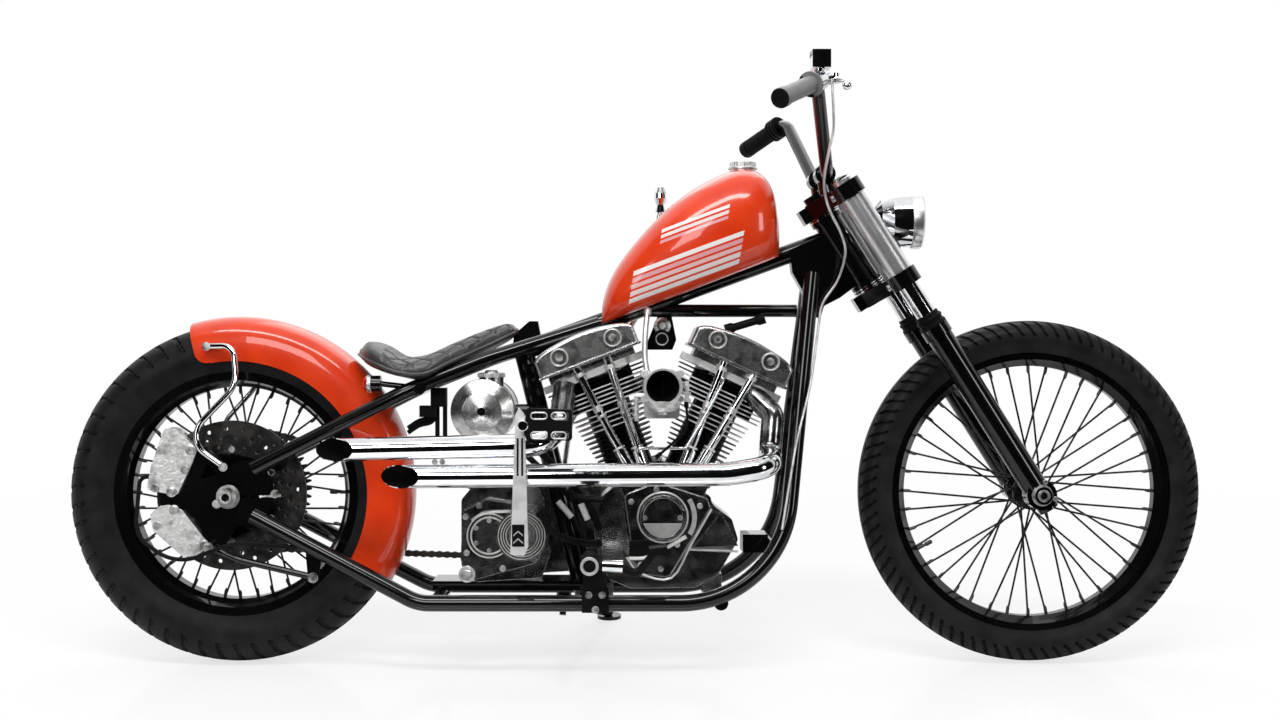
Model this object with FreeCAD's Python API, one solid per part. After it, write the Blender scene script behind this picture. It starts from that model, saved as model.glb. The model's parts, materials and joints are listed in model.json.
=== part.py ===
"""Rigid-frame V-twin chopper motorcycle, standing on its side stand.

Everything is drawn upright in the machine's own frame: X forward from the
rear axle, Y to the rider's left, Z up from the ground, all in millimetres.
At the end each piece is leaned on to the side stand and written to its own
STEP file, with the origin under the middle of the whole machine.
"""
import math
import os

import FreeCAD
import Part

V = FreeCAD.Vector
OUT = "parts"

# Stance
LEAN = 6.0
WHEELBASE = 1572.0
RAKE = 32.2
STEER_OFFSET = 51.0

# Fits
RUN_GAP = 0.3
TOUCH = 0.5

# Rear wheel
REAR_R = 336.0
REAR_BEAD_R = 229.0
REAR_FLANGE_R = 245.0
REAR_RIM_HALF = 51.0
REAR_TYRE_HALF = 62.0
REAR_HUB_HALF = 58.0
REAR_HUB_R = 31.0
REAR_HUB_FLANGE_R = 54.0
REAR_HUB_FLANGE_Y = 36.0

# Front wheel
FRONT_R = 339.0
FRONT_BEAD_R = 267.0
FRONT_FLANGE_R = 281.0
FRONT_RIM_HALF = 34.0
FRONT_TYRE_HALF = 45.0
FRONT_HUB_HALF = 46.0
FRONT_HUB_R = 21.0
FRONT_HUB_FLANGE_R = 36.0
FRONT_HUB_FLANGE_Y = 30.0

# Both wheels
SPOKES = 40
SPOKE_R = 2.0
SPOKE_LEAD = 38.0
SPOKE_STAGGER = 3.2
SPOKE_RIM_Y = 6.0
SPOKE_BITE = 3.0
HUB_FLANGE_T = 5.0
HUB_FLANGE_EDGE = 5.0
RIM_WALL = 5.0
RIM_WELL = 13.0
RIM_LIP = 5.0
AXLE_R = 10.0

# Rear axle and plates
PLATE_Y = 118.0
PLATE_T = 9.0
AXLE_END = 148.0
AXLE_NUT_R = 17.0
AXLE_NUT_T = 12.0
AXLE_BORE_R = 7.0
AXLE_BORE_DEPTH = 22.0
SPACER_R = 17.0

# Brake disc and calipers
DISC_R = 146.0
DISC_INNER_R = 84.0
DISC_Y = -85.0
DISC_T = 6.0
DISC_HOLE_R = 4.0
DISC_HOLE_ROWS = ((98.0, 0.0), (114.0, 5.0), (130.0, 10.0))
DISC_HOLES = 24
CARRIER_R = 94.0
CARRIER_SHOULDER_R = 80.0
HUB_RIGHT_END = DISC_Y - DISC_T
CARRIER_T = 5.0
CARRIER_HOLE_R = 11.0
CARRIER_HOLE_PITCH_R = 66.0
CARRIER_HOLES = 6
CALIPER_HALF = 33.0
CALIPER_SLOT = 7.0
CALIPER_BOLT_R = 7.0
CALIPER_BOLT_HEAD = 5.0

# Chain drive
CHAIN_Y = 87.0
CHAIN_PITCH = 15.875
REAR_TEETH = 48
GEARBOX_TEETH = 24
SPROCKET_T = 6.0
SPROCKET_WEB_R = 84.0
CHAIN_PLATE_T = 2.5
CHAIN_INNER_HALF = 5.0
CHAIN_PLATE_HALF = 7.0
SPROCKET_X = 530.0
SPROCKET_Z = 257.0

# Frame tubes
RAIL_R = 15.9
RAIL_Y = 135.0
RAIL_Z = 132.0
STAY_R = 14.3
BACKBONE_R = 19.0
BRACE_R = 12.7
SEATPOST_R = 20.0
RAIL_FRONT_BEND = 215.0
RAIL_FRONT_X = 1066.0
RAIL_REAR_BEND = 90.0
STAY_BEND = 260.0
HEAD_TUBE_R = 29.0
HEAD_TUBE_BORE = 17.0
HEAD_TUBE_GAP = 1.0
HEAD_TUBE_S = 590.0

# Front fork
FORK_HALF = 105.0
FORK_TUBE_R = 20.0
SLIDER_R = 25.0
SLIDER_TOP_S = 386.0
SLIDER_FOOT_S = -34.0
SLIDER_CAP_R = 28.0
SLIDER_FOOT_HALF = 22.0
SLIDER_CAP_H = 22.0
LOWER_TREE_S = 495.0
UPPER_TREE_S = 699.0
TREE_T = 30.0
TREE_BOSS_R = 31.0
TREE_LUG_OUT = 43.0
TREE_LUG_HALF = 22.0
FORK_CAP_S = 726.0
FORK_CAP_R = 17.0
STEM_R = 13.0
STEM_NUT_R = 20.0
STEM_NUT_H = 14.0

# Handlebar
BAR_R = 12.7
BAR_BEND = 55.0
GRIP_R = 16.5
GRIP_LENGTH = 118.0
GRIP_FLANGE_R = 24.0
GRIP_FLANGE_T = 5.0
RISER_R = 16.0

# Crankcase and cylinders
CRANK_X = 831.0
CRANK_Z = 250.0
REAR_CYL_TILT = -20.8
FRONT_CYL_TILT = 24.7
CASE_HALF = 58.0
BARREL_R = 46.0
BARREL_TOP_FIN_R = 78.0
BARREL_LOW_FIN_R = 57.0
BARREL_FINS = 11
FIN_PITCH = 10.0
FIN_T = 2.6
BARREL_BASE_S = 128.0
BARREL_TOP_S = 281.0
BARREL_FIRST_FIN_S = 166.0
BARREL_FLANGE = 12.0
HEAD_TOP_S = 375.0
HEAD_TOP_HALF = 106.0
HEAD_FOOT_HALF = 88.0
HEAD_HALF_Y = 72.0
HEAD_FINS = 7
HEAD_DECK = 14.0
HEAD_CORE_SHARE = 0.66
ROCKER_HEIGHT = 56.0
ROCKER_HALF = 103.0
ROCKER_Y = (-90.0, 64.0)

# Exhaust
PIPE_R = 22.25
PIPE_WALL = 1.8
PIPE_Y = -200.0
PIPE_BEND = 85.0

# Side stand
STAND_X = 640.0
STAND_PIVOT_Y = 160.0
STAND_PIVOT_Z = 92.0
STAND_FOOT_X = 735.0
STAND_FOOT_Y = 335.0
STAND_LEG_R = 10.0
STAND_PAD_R = 26.0
STAND_PAD_T = 7.0
STAND_PIN_R = 7.0


# Directions and small geometry

def rad(degrees):
    return math.radians(degrees)


FORK_UP = V(-math.sin(rad(RAKE)), 0, math.cos(rad(RAKE)))
FORK_OUT = V(math.cos(rad(RAKE)), 0, math.sin(rad(RAKE)))
ACROSS = V(0, 1, 0)
FRONT_AXLE = V(WHEELBASE, 0, FRONT_R)
REAR_AXLE = V(0, 0, REAR_R)
STEER_BASE = FRONT_AXLE - FORK_OUT * STEER_OFFSET


def fork_point(s, y, out=STEER_OFFSET):
    """Point at height s along the fork, y across and out ahead of the steering axis."""
    return STEER_BASE + FORK_UP * s + FORK_OUT * out + V(0, y, 0)


def cyl_point(tilt, s, along=0, y=0):
    """Point at height s above the crank on a cylinder's axis, moved along the machine and across it."""
    up = V(math.sin(rad(tilt)), 0, math.cos(rad(tilt)))
    fore = V(math.cos(rad(tilt)), 0, -math.sin(rad(tilt)))
    return V(CRANK_X, 0, CRANK_Z) + up * s + fore * along + V(0, y, 0)


NECK = fork_point(HEAD_TUBE_S, 0, 0)


def rod(start, end, radius):
    """Straight round bar between two points."""
    return Part.makeCylinder(radius, (end - start).Length, start, end - start)


def cone(start, end, first, last):
    return Part.makeCone(first, last, (end - start).Length, start, end - start)


def disc(x, z, y_from, y_to, radius):
    """Round plate across the machine."""
    return rod(V(x, y_from, z), V(x, y_to, z), radius)


def ring(x, z, y_from, y_to, outer, inner):
    return disc(x, z, y_from, y_to, outer).cut(disc(x, z, y_from, y_to, inner))


def polygon(points):
    return Part.Face(Part.makePolygon(list(points) + [points[0]]))


def at_axle(outline):
    """Outline drawn from the rear axle, moved to its height."""
    return [(x, REAR_R + z) for x, z in outline]


def plate(outline, y_from, y_to, bend=0):
    """Flat side-view outline carried across the machine, its upright corners rounded by bend."""
    face = polygon([V(x, y_from, z) for x, z in outline])
    solid = face.extrude(V(0, y_to - y_from, 0))
    if bend:
        edges = [e for e in solid.Edges if abs(abs(e.tangentAt(e.FirstParameter).y) - 1) < TOUCH]
        solid = solid.makeFillet(bend, edges)
    return solid


def turned(profile, base, axis, across):
    """Turned piece: profile is (radius, height) pairs about an axis from base."""
    face = polygon([base + across * r + axis * h for r, h in profile])
    return face.revolve(base, axis, math.degrees(2 * math.pi))


def turned_across(profile, x, z):
    """Turned piece about a line across the machine; profile is (radius, y) pairs."""
    return turned(profile, V(x, 0, z), ACROSS, V(0, 0, 1))


def centre_path(points, bends):
    """Straight legs joined by tangent arcs; bends holds one radius for each inner point."""
    edges = []
    start = points[0]
    for before, corner, after, bend in zip(points, points[1:], points[2:], bends):
        back = (before - corner).normalize()
        ahead = (after - corner).normalize()
        half = back.getAngle(ahead) / 2
        reach = bend / math.tan(half)
        leave, join = corner + back * reach, corner + ahead * reach
        middle = corner + (back + ahead).normalize() * (bend / math.sin(half) - bend)
        edges.append(Part.LineSegment(start, leave).toShape())
        edges.append(Part.Arc(leave, middle, join).toShape())
        start = join
    edges.append(Part.LineSegment(start, points[-1]).toShape())
    return Part.Wire(edges)


def bent_tube(points, bends, radius):
    """Round tube swept along legs and arcs."""
    path = centre_path(points, bends)
    ahead = points[1] - points[0]
    section = Part.Wire(Part.makeCircle(radius, points[0], ahead))
    return path.makePipeShell([section], True, False)


def mirrored(shape):
    return shape.mirror(V(0, 0, 0), ACROSS)


def fuse(first, *rest):
    return first.fuse(list(rest)).removeSplitter() if rest else first


def ring_of(shape, centre, axis, count):
    """Copies of a shape in equal steps about an axis."""
    copies = []
    for step in range(count):
        copy = shape.copy()
        copy.rotate(centre, axis, 360.0 * step / count)
        copies.append(copy)
    return copies


def loft(sections):
    return Part.makeLoft(sections, True, False)


def closed_curve(points):
    curve = Part.BSplineCurve()
    curve.interpolate(points, True)
    return Part.Wire(curve.toShape())


# Wheels

def rim_profile(bead, flange, half):
    """Half of a rim's section from the middle of its well out to the flange and back, as (radius, y)."""
    well = bead - RIM_WELL
    outer = [(well, 0), (well, half * RIM_WELL_SHARE), (bead, half * RIM_SEAT_SHARE),
             (bead, half - RIM_LIP - RIM_LIP), (flange, half - RIM_LIP)]
    inner = [(flange, half), (bead - RIM_WALL, half), (bead - RIM_WALL - RIM_WALL, half * RIM_SEAT_SHARE + RIM_WALL),
             (well - RIM_WALL, half * RIM_WELL_SHARE), (well - RIM_WALL, 0)]
    return outer, inner


RIM_WELL_SHARE = 0.36
RIM_SEAT_SHARE = 0.6


def rim(x, z, bead, flange, half):
    outer, inner = rim_profile(bead, flange, half)
    loop = [(r, -y) for r, y in reversed(outer)] + outer[1:] + inner + [(r, -y) for r, y in reversed(inner[:-1])]
    return turned_across(loop, x, z)


# Tyre section: radius as a share of the way from flange to crown, width as a share of the half width
TYRE_SHARES = ((0.12, 0.91), (0.38, 1.0), (0.62, 0.955), (0.8, 0.8), (0.915, 0.58), (0.98, 0.3), (1.0, 0.08))


def tyre(x, z, radius, bead, flange, half_rim, half):
    outer, _ = rim_profile(bead, flange, half_rim)
    side = [(flange + share * (radius - flange), width * half) for share, width in TYRE_SHARES]
    left = outer + side
    loop = [(r, -y) for r, y in reversed(left)] + left[1:]
    return turned_across(loop, x, z)


def hub_and_spokes(centre, hub_half, hub_r, flange_r, flange_y, rim_r):
    """Turned hub with two drilled flanges and laced spokes that end in the rim."""
    x, z = centre.x, centre.z
    waist = flange_y - HUB_FLANGE_T
    profile = [(AXLE_R + RUN_GAP, -hub_half), (hub_r, -hub_half), (hub_r, -flange_y - HUB_FLANGE_T),
               (flange_r, -flange_y - HUB_FLANGE_T / 2), (flange_r, -flange_y + HUB_FLANGE_T / 2),
               (hub_r, -waist), (hub_r * HUB_WAIST_SHARE, 0), (hub_r, waist),
               (flange_r, flange_y - HUB_FLANGE_T / 2), (flange_r, flange_y + HUB_FLANGE_T / 2),
               (hub_r, flange_y + HUB_FLANGE_T), (hub_r, hub_half), (AXLE_R + RUN_GAP, hub_half)]
    hub = turned_across(profile, x, z)
    hole_r = flange_r - HUB_FLANGE_EDGE
    spokes = []
    step = 360.0 / SPOKES
    for n in range(SPOKES):
        side = 1 if n % 2 else -1
        outside = n % 4 < 2
        lead = SPOKE_LEAD if outside else -SPOKE_LEAD
        at_rim, at_hub = rad(n * step), rad(n * step + lead)
        y_hub = side * (flange_y + (SPOKE_STAGGER if outside else -SPOKE_STAGGER))
        start = V(x + hole_r * math.cos(at_hub), y_hub, z + hole_r * math.sin(at_hub))
        end = V(x + rim_r * math.cos(at_rim), side * SPOKE_RIM_Y, z + rim_r * math.sin(at_rim))
        spokes.append(rod(start, end, SPOKE_R))
    return hub.fuse(spokes)


HUB_WAIST_SHARE = 0.86


def rear_rim():
    return rim(0, REAR_R, REAR_BEAD_R, REAR_FLANGE_R, REAR_RIM_HALF)


def rear_tyre():
    return tyre(0, REAR_R, REAR_R, REAR_BEAD_R, REAR_FLANGE_R, REAR_RIM_HALF, REAR_TYRE_HALF)


def rear_hub_spokes():
    return hub_and_spokes(REAR_AXLE, REAR_HUB_HALF, REAR_HUB_R, REAR_HUB_FLANGE_R, REAR_HUB_FLANGE_Y,
                          REAR_BEAD_R - RIM_WELL - RIM_WALL + SPOKE_BITE)


def front_rim():
    return rim(WHEELBASE, FRONT_R, FRONT_BEAD_R, FRONT_FLANGE_R, FRONT_RIM_HALF)


def front_tyre():
    return tyre(WHEELBASE, FRONT_R, FRONT_R, FRONT_BEAD_R, FRONT_FLANGE_R, FRONT_RIM_HALF, FRONT_TYRE_HALF)


def front_hub_spokes():
    return hub_and_spokes(FRONT_AXLE, FRONT_HUB_HALF, FRONT_HUB_R, FRONT_HUB_FLANGE_R, FRONT_HUB_FLANGE_Y,
                          FRONT_BEAD_R - RIM_WELL - RIM_WALL + SPOKE_BITE)


def brake_disc():
    """Drilled rotor on a carrier plate bolted to the hub's right end."""
    face = DISC_Y + DISC_T / 2
    rotor = ring(0, REAR_R, DISC_Y - DISC_T / 2, face, DISC_R, DISC_INNER_R)
    holes = []
    for row, turn in DISC_HOLE_ROWS:
        hole = disc(row, REAR_R, DISC_Y - DISC_T, DISC_Y + DISC_T, DISC_HOLE_R)
        hole.rotate(REAR_AXLE, ACROSS, turn)
        holes += ring_of(hole, REAR_AXLE, ACROSS, DISC_HOLES)
    rotor = rotor.cut(holes)
    carrier = turned_across([(AXLE_R + RUN_GAP, -REAR_HUB_HALF), (REAR_HUB_FLANGE_R, -REAR_HUB_HALF),
                             (CARRIER_SHOULDER_R, face + CARRIER_T), (CARRIER_R, face + CARRIER_T),
                             (CARRIER_R, face), (CARRIER_SHOULDER_R, face),
                             (REAR_HUB_FLANGE_R, -REAR_HUB_HALF - CARRIER_T),
                             (REAR_HUB_R, -REAR_HUB_HALF - CARRIER_T),
                             (REAR_HUB_R, HUB_RIGHT_END), (AXLE_R + RUN_GAP, HUB_RIGHT_END)], 0, REAR_R)
    window = disc(CARRIER_HOLE_PITCH_R, REAR_R, DISC_Y, -REAR_HUB_HALF, CARRIER_HOLE_R)
    carrier = carrier.cut(ring_of(window, REAR_AXLE, ACROSS, CARRIER_HOLES))
    return fuse(carrier, rotor)


def pitch_radius(teeth):
    return CHAIN_PITCH / 2 / math.sin(math.pi / teeth)


ROLLER_R = 5.1
TOOTH_TIP = 5.5
TOOTH_TIP_SHARE = 0.22
TOOTH_ROOT_SHARE = 0.62


def sprocket(x, z, teeth, bore, y_from, y_to):
    """Toothed plate: flat-topped teeth between roller seats."""
    pitch = pitch_radius(teeth)
    root, tip = pitch - ROLLER_R, pitch + TOOTH_TIP
    points = []
    for n in range(teeth):
        mid = 2 * math.pi * n / teeth
        half_root = math.pi / teeth * TOOTH_ROOT_SHARE
        half_tip = math.pi / teeth * TOOTH_TIP_SHARE
        for angle, r in ((-half_root, root), (-half_tip, tip), (half_tip, tip), (half_root, root)):
            points.append(V(x + r * math.cos(mid + angle), y_from, z + r * math.sin(mid + angle)))
    solid = polygon(points).extrude(V(0, y_to - y_from, 0))
    return solid.cut(disc(x, z, y_from, y_to, bore))


def rear_sprocket():
    """Sprocket with lightening holes on the hub's left end."""
    half = SPROCKET_T / 2
    teeth = sprocket(0, REAR_R, REAR_TEETH, AXLE_R + RUN_GAP, CHAIN_Y - half, CHAIN_Y + half)
    boss = ring(0, REAR_R, REAR_HUB_HALF, CHAIN_Y + half, REAR_HUB_FLANGE_R, AXLE_R + RUN_GAP)
    window = disc(SPROCKET_WEB_R, REAR_R, CHAIN_Y - SPROCKET_T, CHAIN_Y + SPROCKET_T, SPROCKET_WINDOW_R)
    return fuse(teeth, boss).cut(ring_of(window, REAR_AXLE, ACROSS, CARRIER_HOLES))


SPROCKET_WINDOW_R = 17.0


# Frame

def backbone_point(x, y=0):
    """Point on the straight line of the backbone's centre, from its rear end to the neck."""
    rear, front = V(BACKBONE_REAR_X, 0, BACKBONE_REAR_Z), V(BACKBONE_FRONT_X, 0, NECK.z + BACKBONE_ABOVE_NECK)
    return rear + (front - rear) * ((x - rear.x) / (front.x - rear.x)) + V(0, y, 0)


BACKBONE_REAR_X = 556.0
BACKBONE_REAR_Z = 614.49
BACKBONE_FRONT_X = NECK.x - 26.0
BACKBONE_ABOVE_NECK = 34.85

RAIL_POINTS = ((NECK.x - 75.0, 24.0, NECK.z - 39.0), (RAIL_FRONT_X, RAIL_Y, RAIL_Z),
               (368.0, RAIL_Y, RAIL_Z), (46.0, PLATE_Y, REAR_R - 36.0))
RAIL_BENDS = (RAIL_FRONT_BEND, RAIL_REAR_BEND)
STAY_POINTS = ((46.0, PLATE_Y, REAR_R + 54.0), (345.0, 112.0, 541.0), (500.0, 80.0, 603.0), (715.0, 14.0, 672.0))
STAY_BENDS = (STAY_BEND, STAY_BEND)


def points_of(table, side):
    return [V(x, side * y, z) for x, y, z in table]


def frame_spine():
    """Head tube, gusset, backbone, tank rail, seat post and the engine's top mount, welded as one."""
    reach = TREE_T / 2 + HEAD_TUBE_GAP
    low, high = fork_point(LOWER_TREE_S + reach, 0, 0), fork_point(UPPER_TREE_S - reach, 0, 0)
    cup = HEAD_CUP_H
    body = rod(low, high, HEAD_TUBE_R)
    cups = [rod(low, low + FORK_UP * cup, HEAD_TUBE_R + HEAD_CUP_LIP),
            rod(high - FORK_UP * cup, high, HEAD_TUBE_R + HEAD_CUP_LIP)]
    whole = fuse(body, *cups, frame_backbone(), neck_gusset(), tank_rail(), seat_post(), top_motor_mount(),
                 seat_strap(), oil_tank_arm())
    inside = rod(low + FORK_UP * cup, high - FORK_UP * cup, HEAD_TUBE_BORE)
    return whole.cut([inside, rod(low, high, STEM_R + RUN_GAP)])


HEAD_CUP_H = 16.0
HEAD_CUP_LIP = 4.0


def frame_backbone():
    return rod(backbone_point(BACKBONE_REAR_X), backbone_point(BACKBONE_FRONT_X), BACKBONE_R)


# Drawn from the middle of the head tube
GUSSET = ((-120.0, 8.0), (-114.0, -38.0), (-96.0, -70.0), (-92.5, -81.0), (-96.0, -127.0), (-58.0, -127.0),
          (-51.0, -104.0), (-20.0, -88.0), (10.0, -66.0), (-44.0, 40.0))
GUSSET_HALF = 20.0
GUSSET_BEND = 6.0
GUSSET_CHEEK = ((-98.0, -34.0), (-84.0, -68.0), (-84.0, -122.0), (-62.0, -122.0), (-56.0, -96.0), (-22.0, -78.0),
                (-34.0, -30.0), (-60.0, -14.0))
GUSSET_CHEEK_HALF = 32.0


def neck_gusset():
    """Cast block behind the head tube, with a thicker cheek where the two rails run in."""
    core, cheek = [[(NECK.x + x, NECK.z + z) for x, z in outline] for outline in (GUSSET, GUSSET_CHEEK)]
    return fuse(plate(core, -GUSSET_HALF, GUSSET_HALF, GUSSET_BEND),
                plate(cheek, -GUSSET_CHEEK_HALF, GUSSET_CHEEK_HALF, GUSSET_BEND))


def tank_rail():
    return rod(V(TANK_RAIL_X[0], 0, TANK_RAIL_Z), V(TANK_RAIL_X[1], 0, TANK_RAIL_Z), BRACE_R)


TANK_RAIL_X = (785.0, NECK.x - 104.0)
TANK_RAIL_Z = 698.0


def seat_post():
    return rod(V(SEATPOST_TOP[0], 0, SEATPOST_TOP[1]), V(SEATPOST_FOOT[0], 0, SEATPOST_FOOT[1]), SEATPOST_R)


SEATPOST_TOP = (566.0, 614.0)
SEATPOST_FOOT = (687.0, 134.0)


def frame_rail(side):
    return bent_tube(points_of(RAIL_POINTS, side), RAIL_BENDS, RAIL_R)


def frame_stay(side):
    return bent_tube(points_of(STAY_POINTS, side), STAY_BENDS, STAY_R)


CROSS_X = (402.0, 687.0, 952.0)
CROSS_R = 14.0
UPPER_CROSS = (1058.0, 237.0)
FENDER_CROSS = (372.0, 545.0)
FENDER_CROSS_R = 11.0


def crossmembers():
    """Tubes between the two sides: three under the engine, one ahead of it, one under the seat.

    The three low ones carry the gearbox's plate and the seat's one carries its two posts.
    """
    tubes = [rod(V(x, -RAIL_Y, RAIL_Z), V(x, RAIL_Y, RAIL_Z), CROSS_R) for x in CROSS_X]
    x, z = UPPER_CROSS
    tubes.append(rod(V(x, -RAIL_Y, z), V(x, RAIL_Y, z), FENDER_CROSS_R))
    x, z = FENDER_CROSS
    tubes.append(fuse(rod(V(x, -RAIL_Y, z), V(x, RAIL_Y, z), FENDER_CROSS_R), *seat_posts()))
    low = fuse(tubes[0], tubes[1], gearbox_mount())
    return [low] + tubes[2:]


AXLE_PLATE = ((-34.0, -20.0), (-34.0, 22.0), (-16.0, 44.0), (14.0, 66.0), (52.0, 74.0), (74.0, 54.0),
              (88.0, 22.0), (88.0, -12.0), (70.0, -38.0), (60.0, -62.0), (34.0, -60.0), (-8.0, -40.0))
AXLE_PLATE_BEND = 5.0
AXLE_SLOT = ((17.0, 3.5), (66.0, 3.5))


def axle_plate(side):
    near, far = PLATE_Y - PLATE_T / 2, PLATE_Y + PLATE_T / 2
    low, high = sorted((side * near, side * far))
    solid = plate(at_axle(AXLE_PLATE), low, high, AXLE_PLATE_BEND)
    (start, half), (end, _) = AXLE_SLOT
    slot = plate(at_axle(((start, -half), (start, half), (end, half), (end, -half))), low, high)
    return solid.cut([disc(0, REAR_R, side * near, side * far, AXLE_R), slot])


def rear_axle():
    """Axle with its head, nut and spacers; the right end has a short blind bore for a paddock stand."""
    shaft = disc(0, REAR_R, -AXLE_END, AXLE_END, AXLE_R)
    out = PLATE_Y + PLATE_T / 2
    inner = PLATE_Y - PLATE_T / 2
    nuts = [disc(0, REAR_R, out, out + AXLE_NUT_T, AXLE_NUT_R),
            disc(0, REAR_R, -out - AXLE_NUT_T, -out, AXLE_NUT_R),
            disc(0, REAR_R, CHAIN_Y + SPROCKET_T / 2 + RUN_GAP, inner, SPACER_R),
            disc(0, REAR_R, -inner, HUB_RIGHT_END - RUN_GAP, SPACER_R)]
    bore = disc(0, REAR_R, -AXLE_END, AXLE_BORE_DEPTH - AXLE_END, AXLE_BORE_R)
    return fuse(shaft, *nuts).cut(bore)


def front_axle():
    """Front axle through both slider feet, with a short blind bore at its right end."""
    x, z = FRONT_AXLE.x, FRONT_AXLE.z
    end = FORK_HALF + SLIDER_R + AXLE_NUT_T
    inside = FORK_HALF - SLIDER_R
    shaft = disc(x, z, -end, end, AXLE_R)
    nuts = [disc(x, z, side * (FORK_HALF + SLIDER_FOOT_HALF), side * (end - TOUCH), AXLE_NUT_R) for side in (-1, 1)]
    spacers = [disc(x, z, side * (FRONT_HUB_HALF + RUN_GAP), side * inside, SPACER_R) for side in (-1, 1)]
    bore = disc(x, z, -end, AXLE_BORE_DEPTH - end, AXLE_BORE_R)
    return fuse(shaft, *nuts, *spacers).cut(bore)


# Fork and bars

def fork_tube(side):
    tube = rod(fork_point(SLIDER_TOP_S, side * FORK_HALF), fork_point(FORK_CAP_S - STEM_NUT_H, side * FORK_HALF),
               FORK_TUBE_R)
    cap = rod(fork_point(FORK_CAP_S - STEM_NUT_H, side * FORK_HALF), fork_point(FORK_CAP_S, side * FORK_HALF),
              FORK_CAP_R)
    return fuse(tube, cap)


def fork_slider(side):
    """Slider with a stepped dust cap above and a clamp lug about the axle."""
    y = side * FORK_HALF
    body = rod(fork_point(0, y), fork_point(SLIDER_TOP_S, y), SLIDER_R)
    cap = rod(fork_point(SLIDER_TOP_S - SLIDER_CAP_H, y), fork_point(SLIDER_TOP_S, y), SLIDER_CAP_R)
    foot = disc(WHEELBASE, FRONT_R, y - SLIDER_FOOT_HALF, y + SLIDER_FOOT_HALF, SLIDER_FOOT_R)
    nose = rod(fork_point(SLIDER_FOOT_S, y), fork_point(0, y), SLIDER_R * SLIDER_NOSE_SHARE)
    return fuse(body, cap, foot, nose).cut(disc(WHEELBASE, FRONT_R, y - SLIDER_R, y + SLIDER_R, AXLE_R))


SLIDER_NOSE_SHARE = 0.8
SLIDER_FOOT_R = 29.0


def tree(s, thickness):
    """Fork bridge: two clamp bosses and a stem boss joined by a plate that narrows to the middle."""
    low = s - thickness / 2
    base = fork_point(low, 0, 0)

    def corner(out, y):
        return base + FORK_OUT * out + V(0, y, 0)

    boss, arm = TREE_BOSS_R, FORK_HALF
    outline = [corner(-boss * TREE_WAIST_SHARE, -boss), corner(-boss * TREE_WAIST_SHARE, boss),
               corner(STEER_OFFSET - boss * TREE_WAIST_SHARE, arm), corner(STEER_OFFSET + boss * TREE_WAIST_SHARE, arm),
               corner(STEER_OFFSET * TREE_FRONT_SHARE, boss), corner(STEER_OFFSET * TREE_FRONT_SHARE, -boss),
               corner(STEER_OFFSET + boss * TREE_WAIST_SHARE, -arm),
               corner(STEER_OFFSET - boss * TREE_WAIST_SHARE, -arm)]
    web = polygon(outline).extrude(FORK_UP * thickness)
    bosses = [rod(fork_point(low, y), fork_point(low + thickness, y), boss) for y in (-arm, arm)]
    bosses.append(rod(base, base + FORK_UP * thickness, boss))
    lug = polygon([corner(-TREE_LUG_OUT, -TREE_LUG_HALF), corner(-TREE_LUG_OUT, TREE_LUG_HALF),
                   corner(0, TREE_LUG_HALF), corner(0, -TREE_LUG_HALF)]).extrude(FORK_UP * thickness)
    return fuse(web, lug, *bosses)


TREE_WAIST_SHARE = 0.85
TREE_FRONT_SHARE = 0.95


def fork_bridge_lower():
    """Lower bridge with the steering stem, its top nut and the lamp's post."""
    low = LOWER_TREE_S - TREE_T / 2
    high = UPPER_TREE_S + TREE_T / 2
    shaft = rod(fork_point(low, 0, 0), fork_point(high + STEM_NUT_H, 0, 0), STEM_R)
    nut = rod(fork_point(high, 0, 0), fork_point(high + STEM_NUT_H, 0, 0), STEM_NUT_R)
    return fuse(tree(LOWER_TREE_S, TREE_T), shaft, nut, lamp_post())


def fork_bridge_upper():
    """Upper bridge with the two handlebar risers."""
    return fuse(tree(UPPER_TREE_S, TREE_T), riser(-1), riser(1))


# Places on the bars, drawn from the front axle
BAR_CLAMP = (FRONT_AXLE.x - 413.0, FRONT_AXLE.z + 625.0)
BAR_POINTS = ((BAR_CLAMP[0] - 116.0, 410.0, BAR_CLAMP[1] + 103.0), (BAR_CLAMP[0] - 41.0, 300.0, BAR_CLAMP[1] + 148.0),
              (BAR_CLAMP[0], 105.0, BAR_CLAMP[1]))


def bar_points():
    left = points_of(BAR_POINTS, 1)
    return left + list(reversed(points_of(BAR_POINTS, -1)))


def handlebar():
    return bent_tube(bar_points(), (BAR_BEND,) * 4, BAR_R)


def riser(side):
    """Riser from the upper tree to the bar, with a clamp about the bar."""
    y = side * RISER_Y
    top = V(BAR_CLAMP[0], y, BAR_CLAMP[1])
    foot = fork_point(UPPER_TREE_S + TREE_T / 2, y, RISER_OUT)
    post = cone(foot, top, RISER_R + RISER_FLARE, RISER_R)
    clamp = disc(BAR_CLAMP[0], BAR_CLAMP[1], y - RISER_CLAMP_HALF, y + RISER_CLAMP_HALF, RISER_CLAMP_R)
    return fuse(post, clamp)


RISER_Y = 62.0
RISER_OUT = 24.0
RISER_FLARE = 4.0
RISER_CLAMP_R = 20.0
RISER_CLAMP_HALF = 21.0


def grip_line(side):
    """End of a grip and the direction along it to the bar's bend."""
    end, corner, _ = points_of(BAR_POINTS, side)
    return end, (corner - end).normalize()


def grip(side):
    """Rubber sleeve with a rounded end cap and an inner flange."""
    end, along = grip_line(side)
    cap = end - along * GRIP_FLANGE_T
    sleeve = rod(cap, end + along * GRIP_LENGTH, GRIP_R)
    rings = 3 if side > 0 else 1
    lips = []
    for n in range(rings):
        foot = end + along * (GRIP_LENGTH - GRIP_FLANGE_T - n * GRIP_RING_PITCH)
        lips.append(rod(foot, foot + along * GRIP_FLANGE_T, GRIP_FLANGE_R))
    knob = rod(cap, cap + along * GRIP_CAP, GRIP_R + GRIP_CAP_LIP)
    return fuse(sleeve, knob, *lips)


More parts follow.
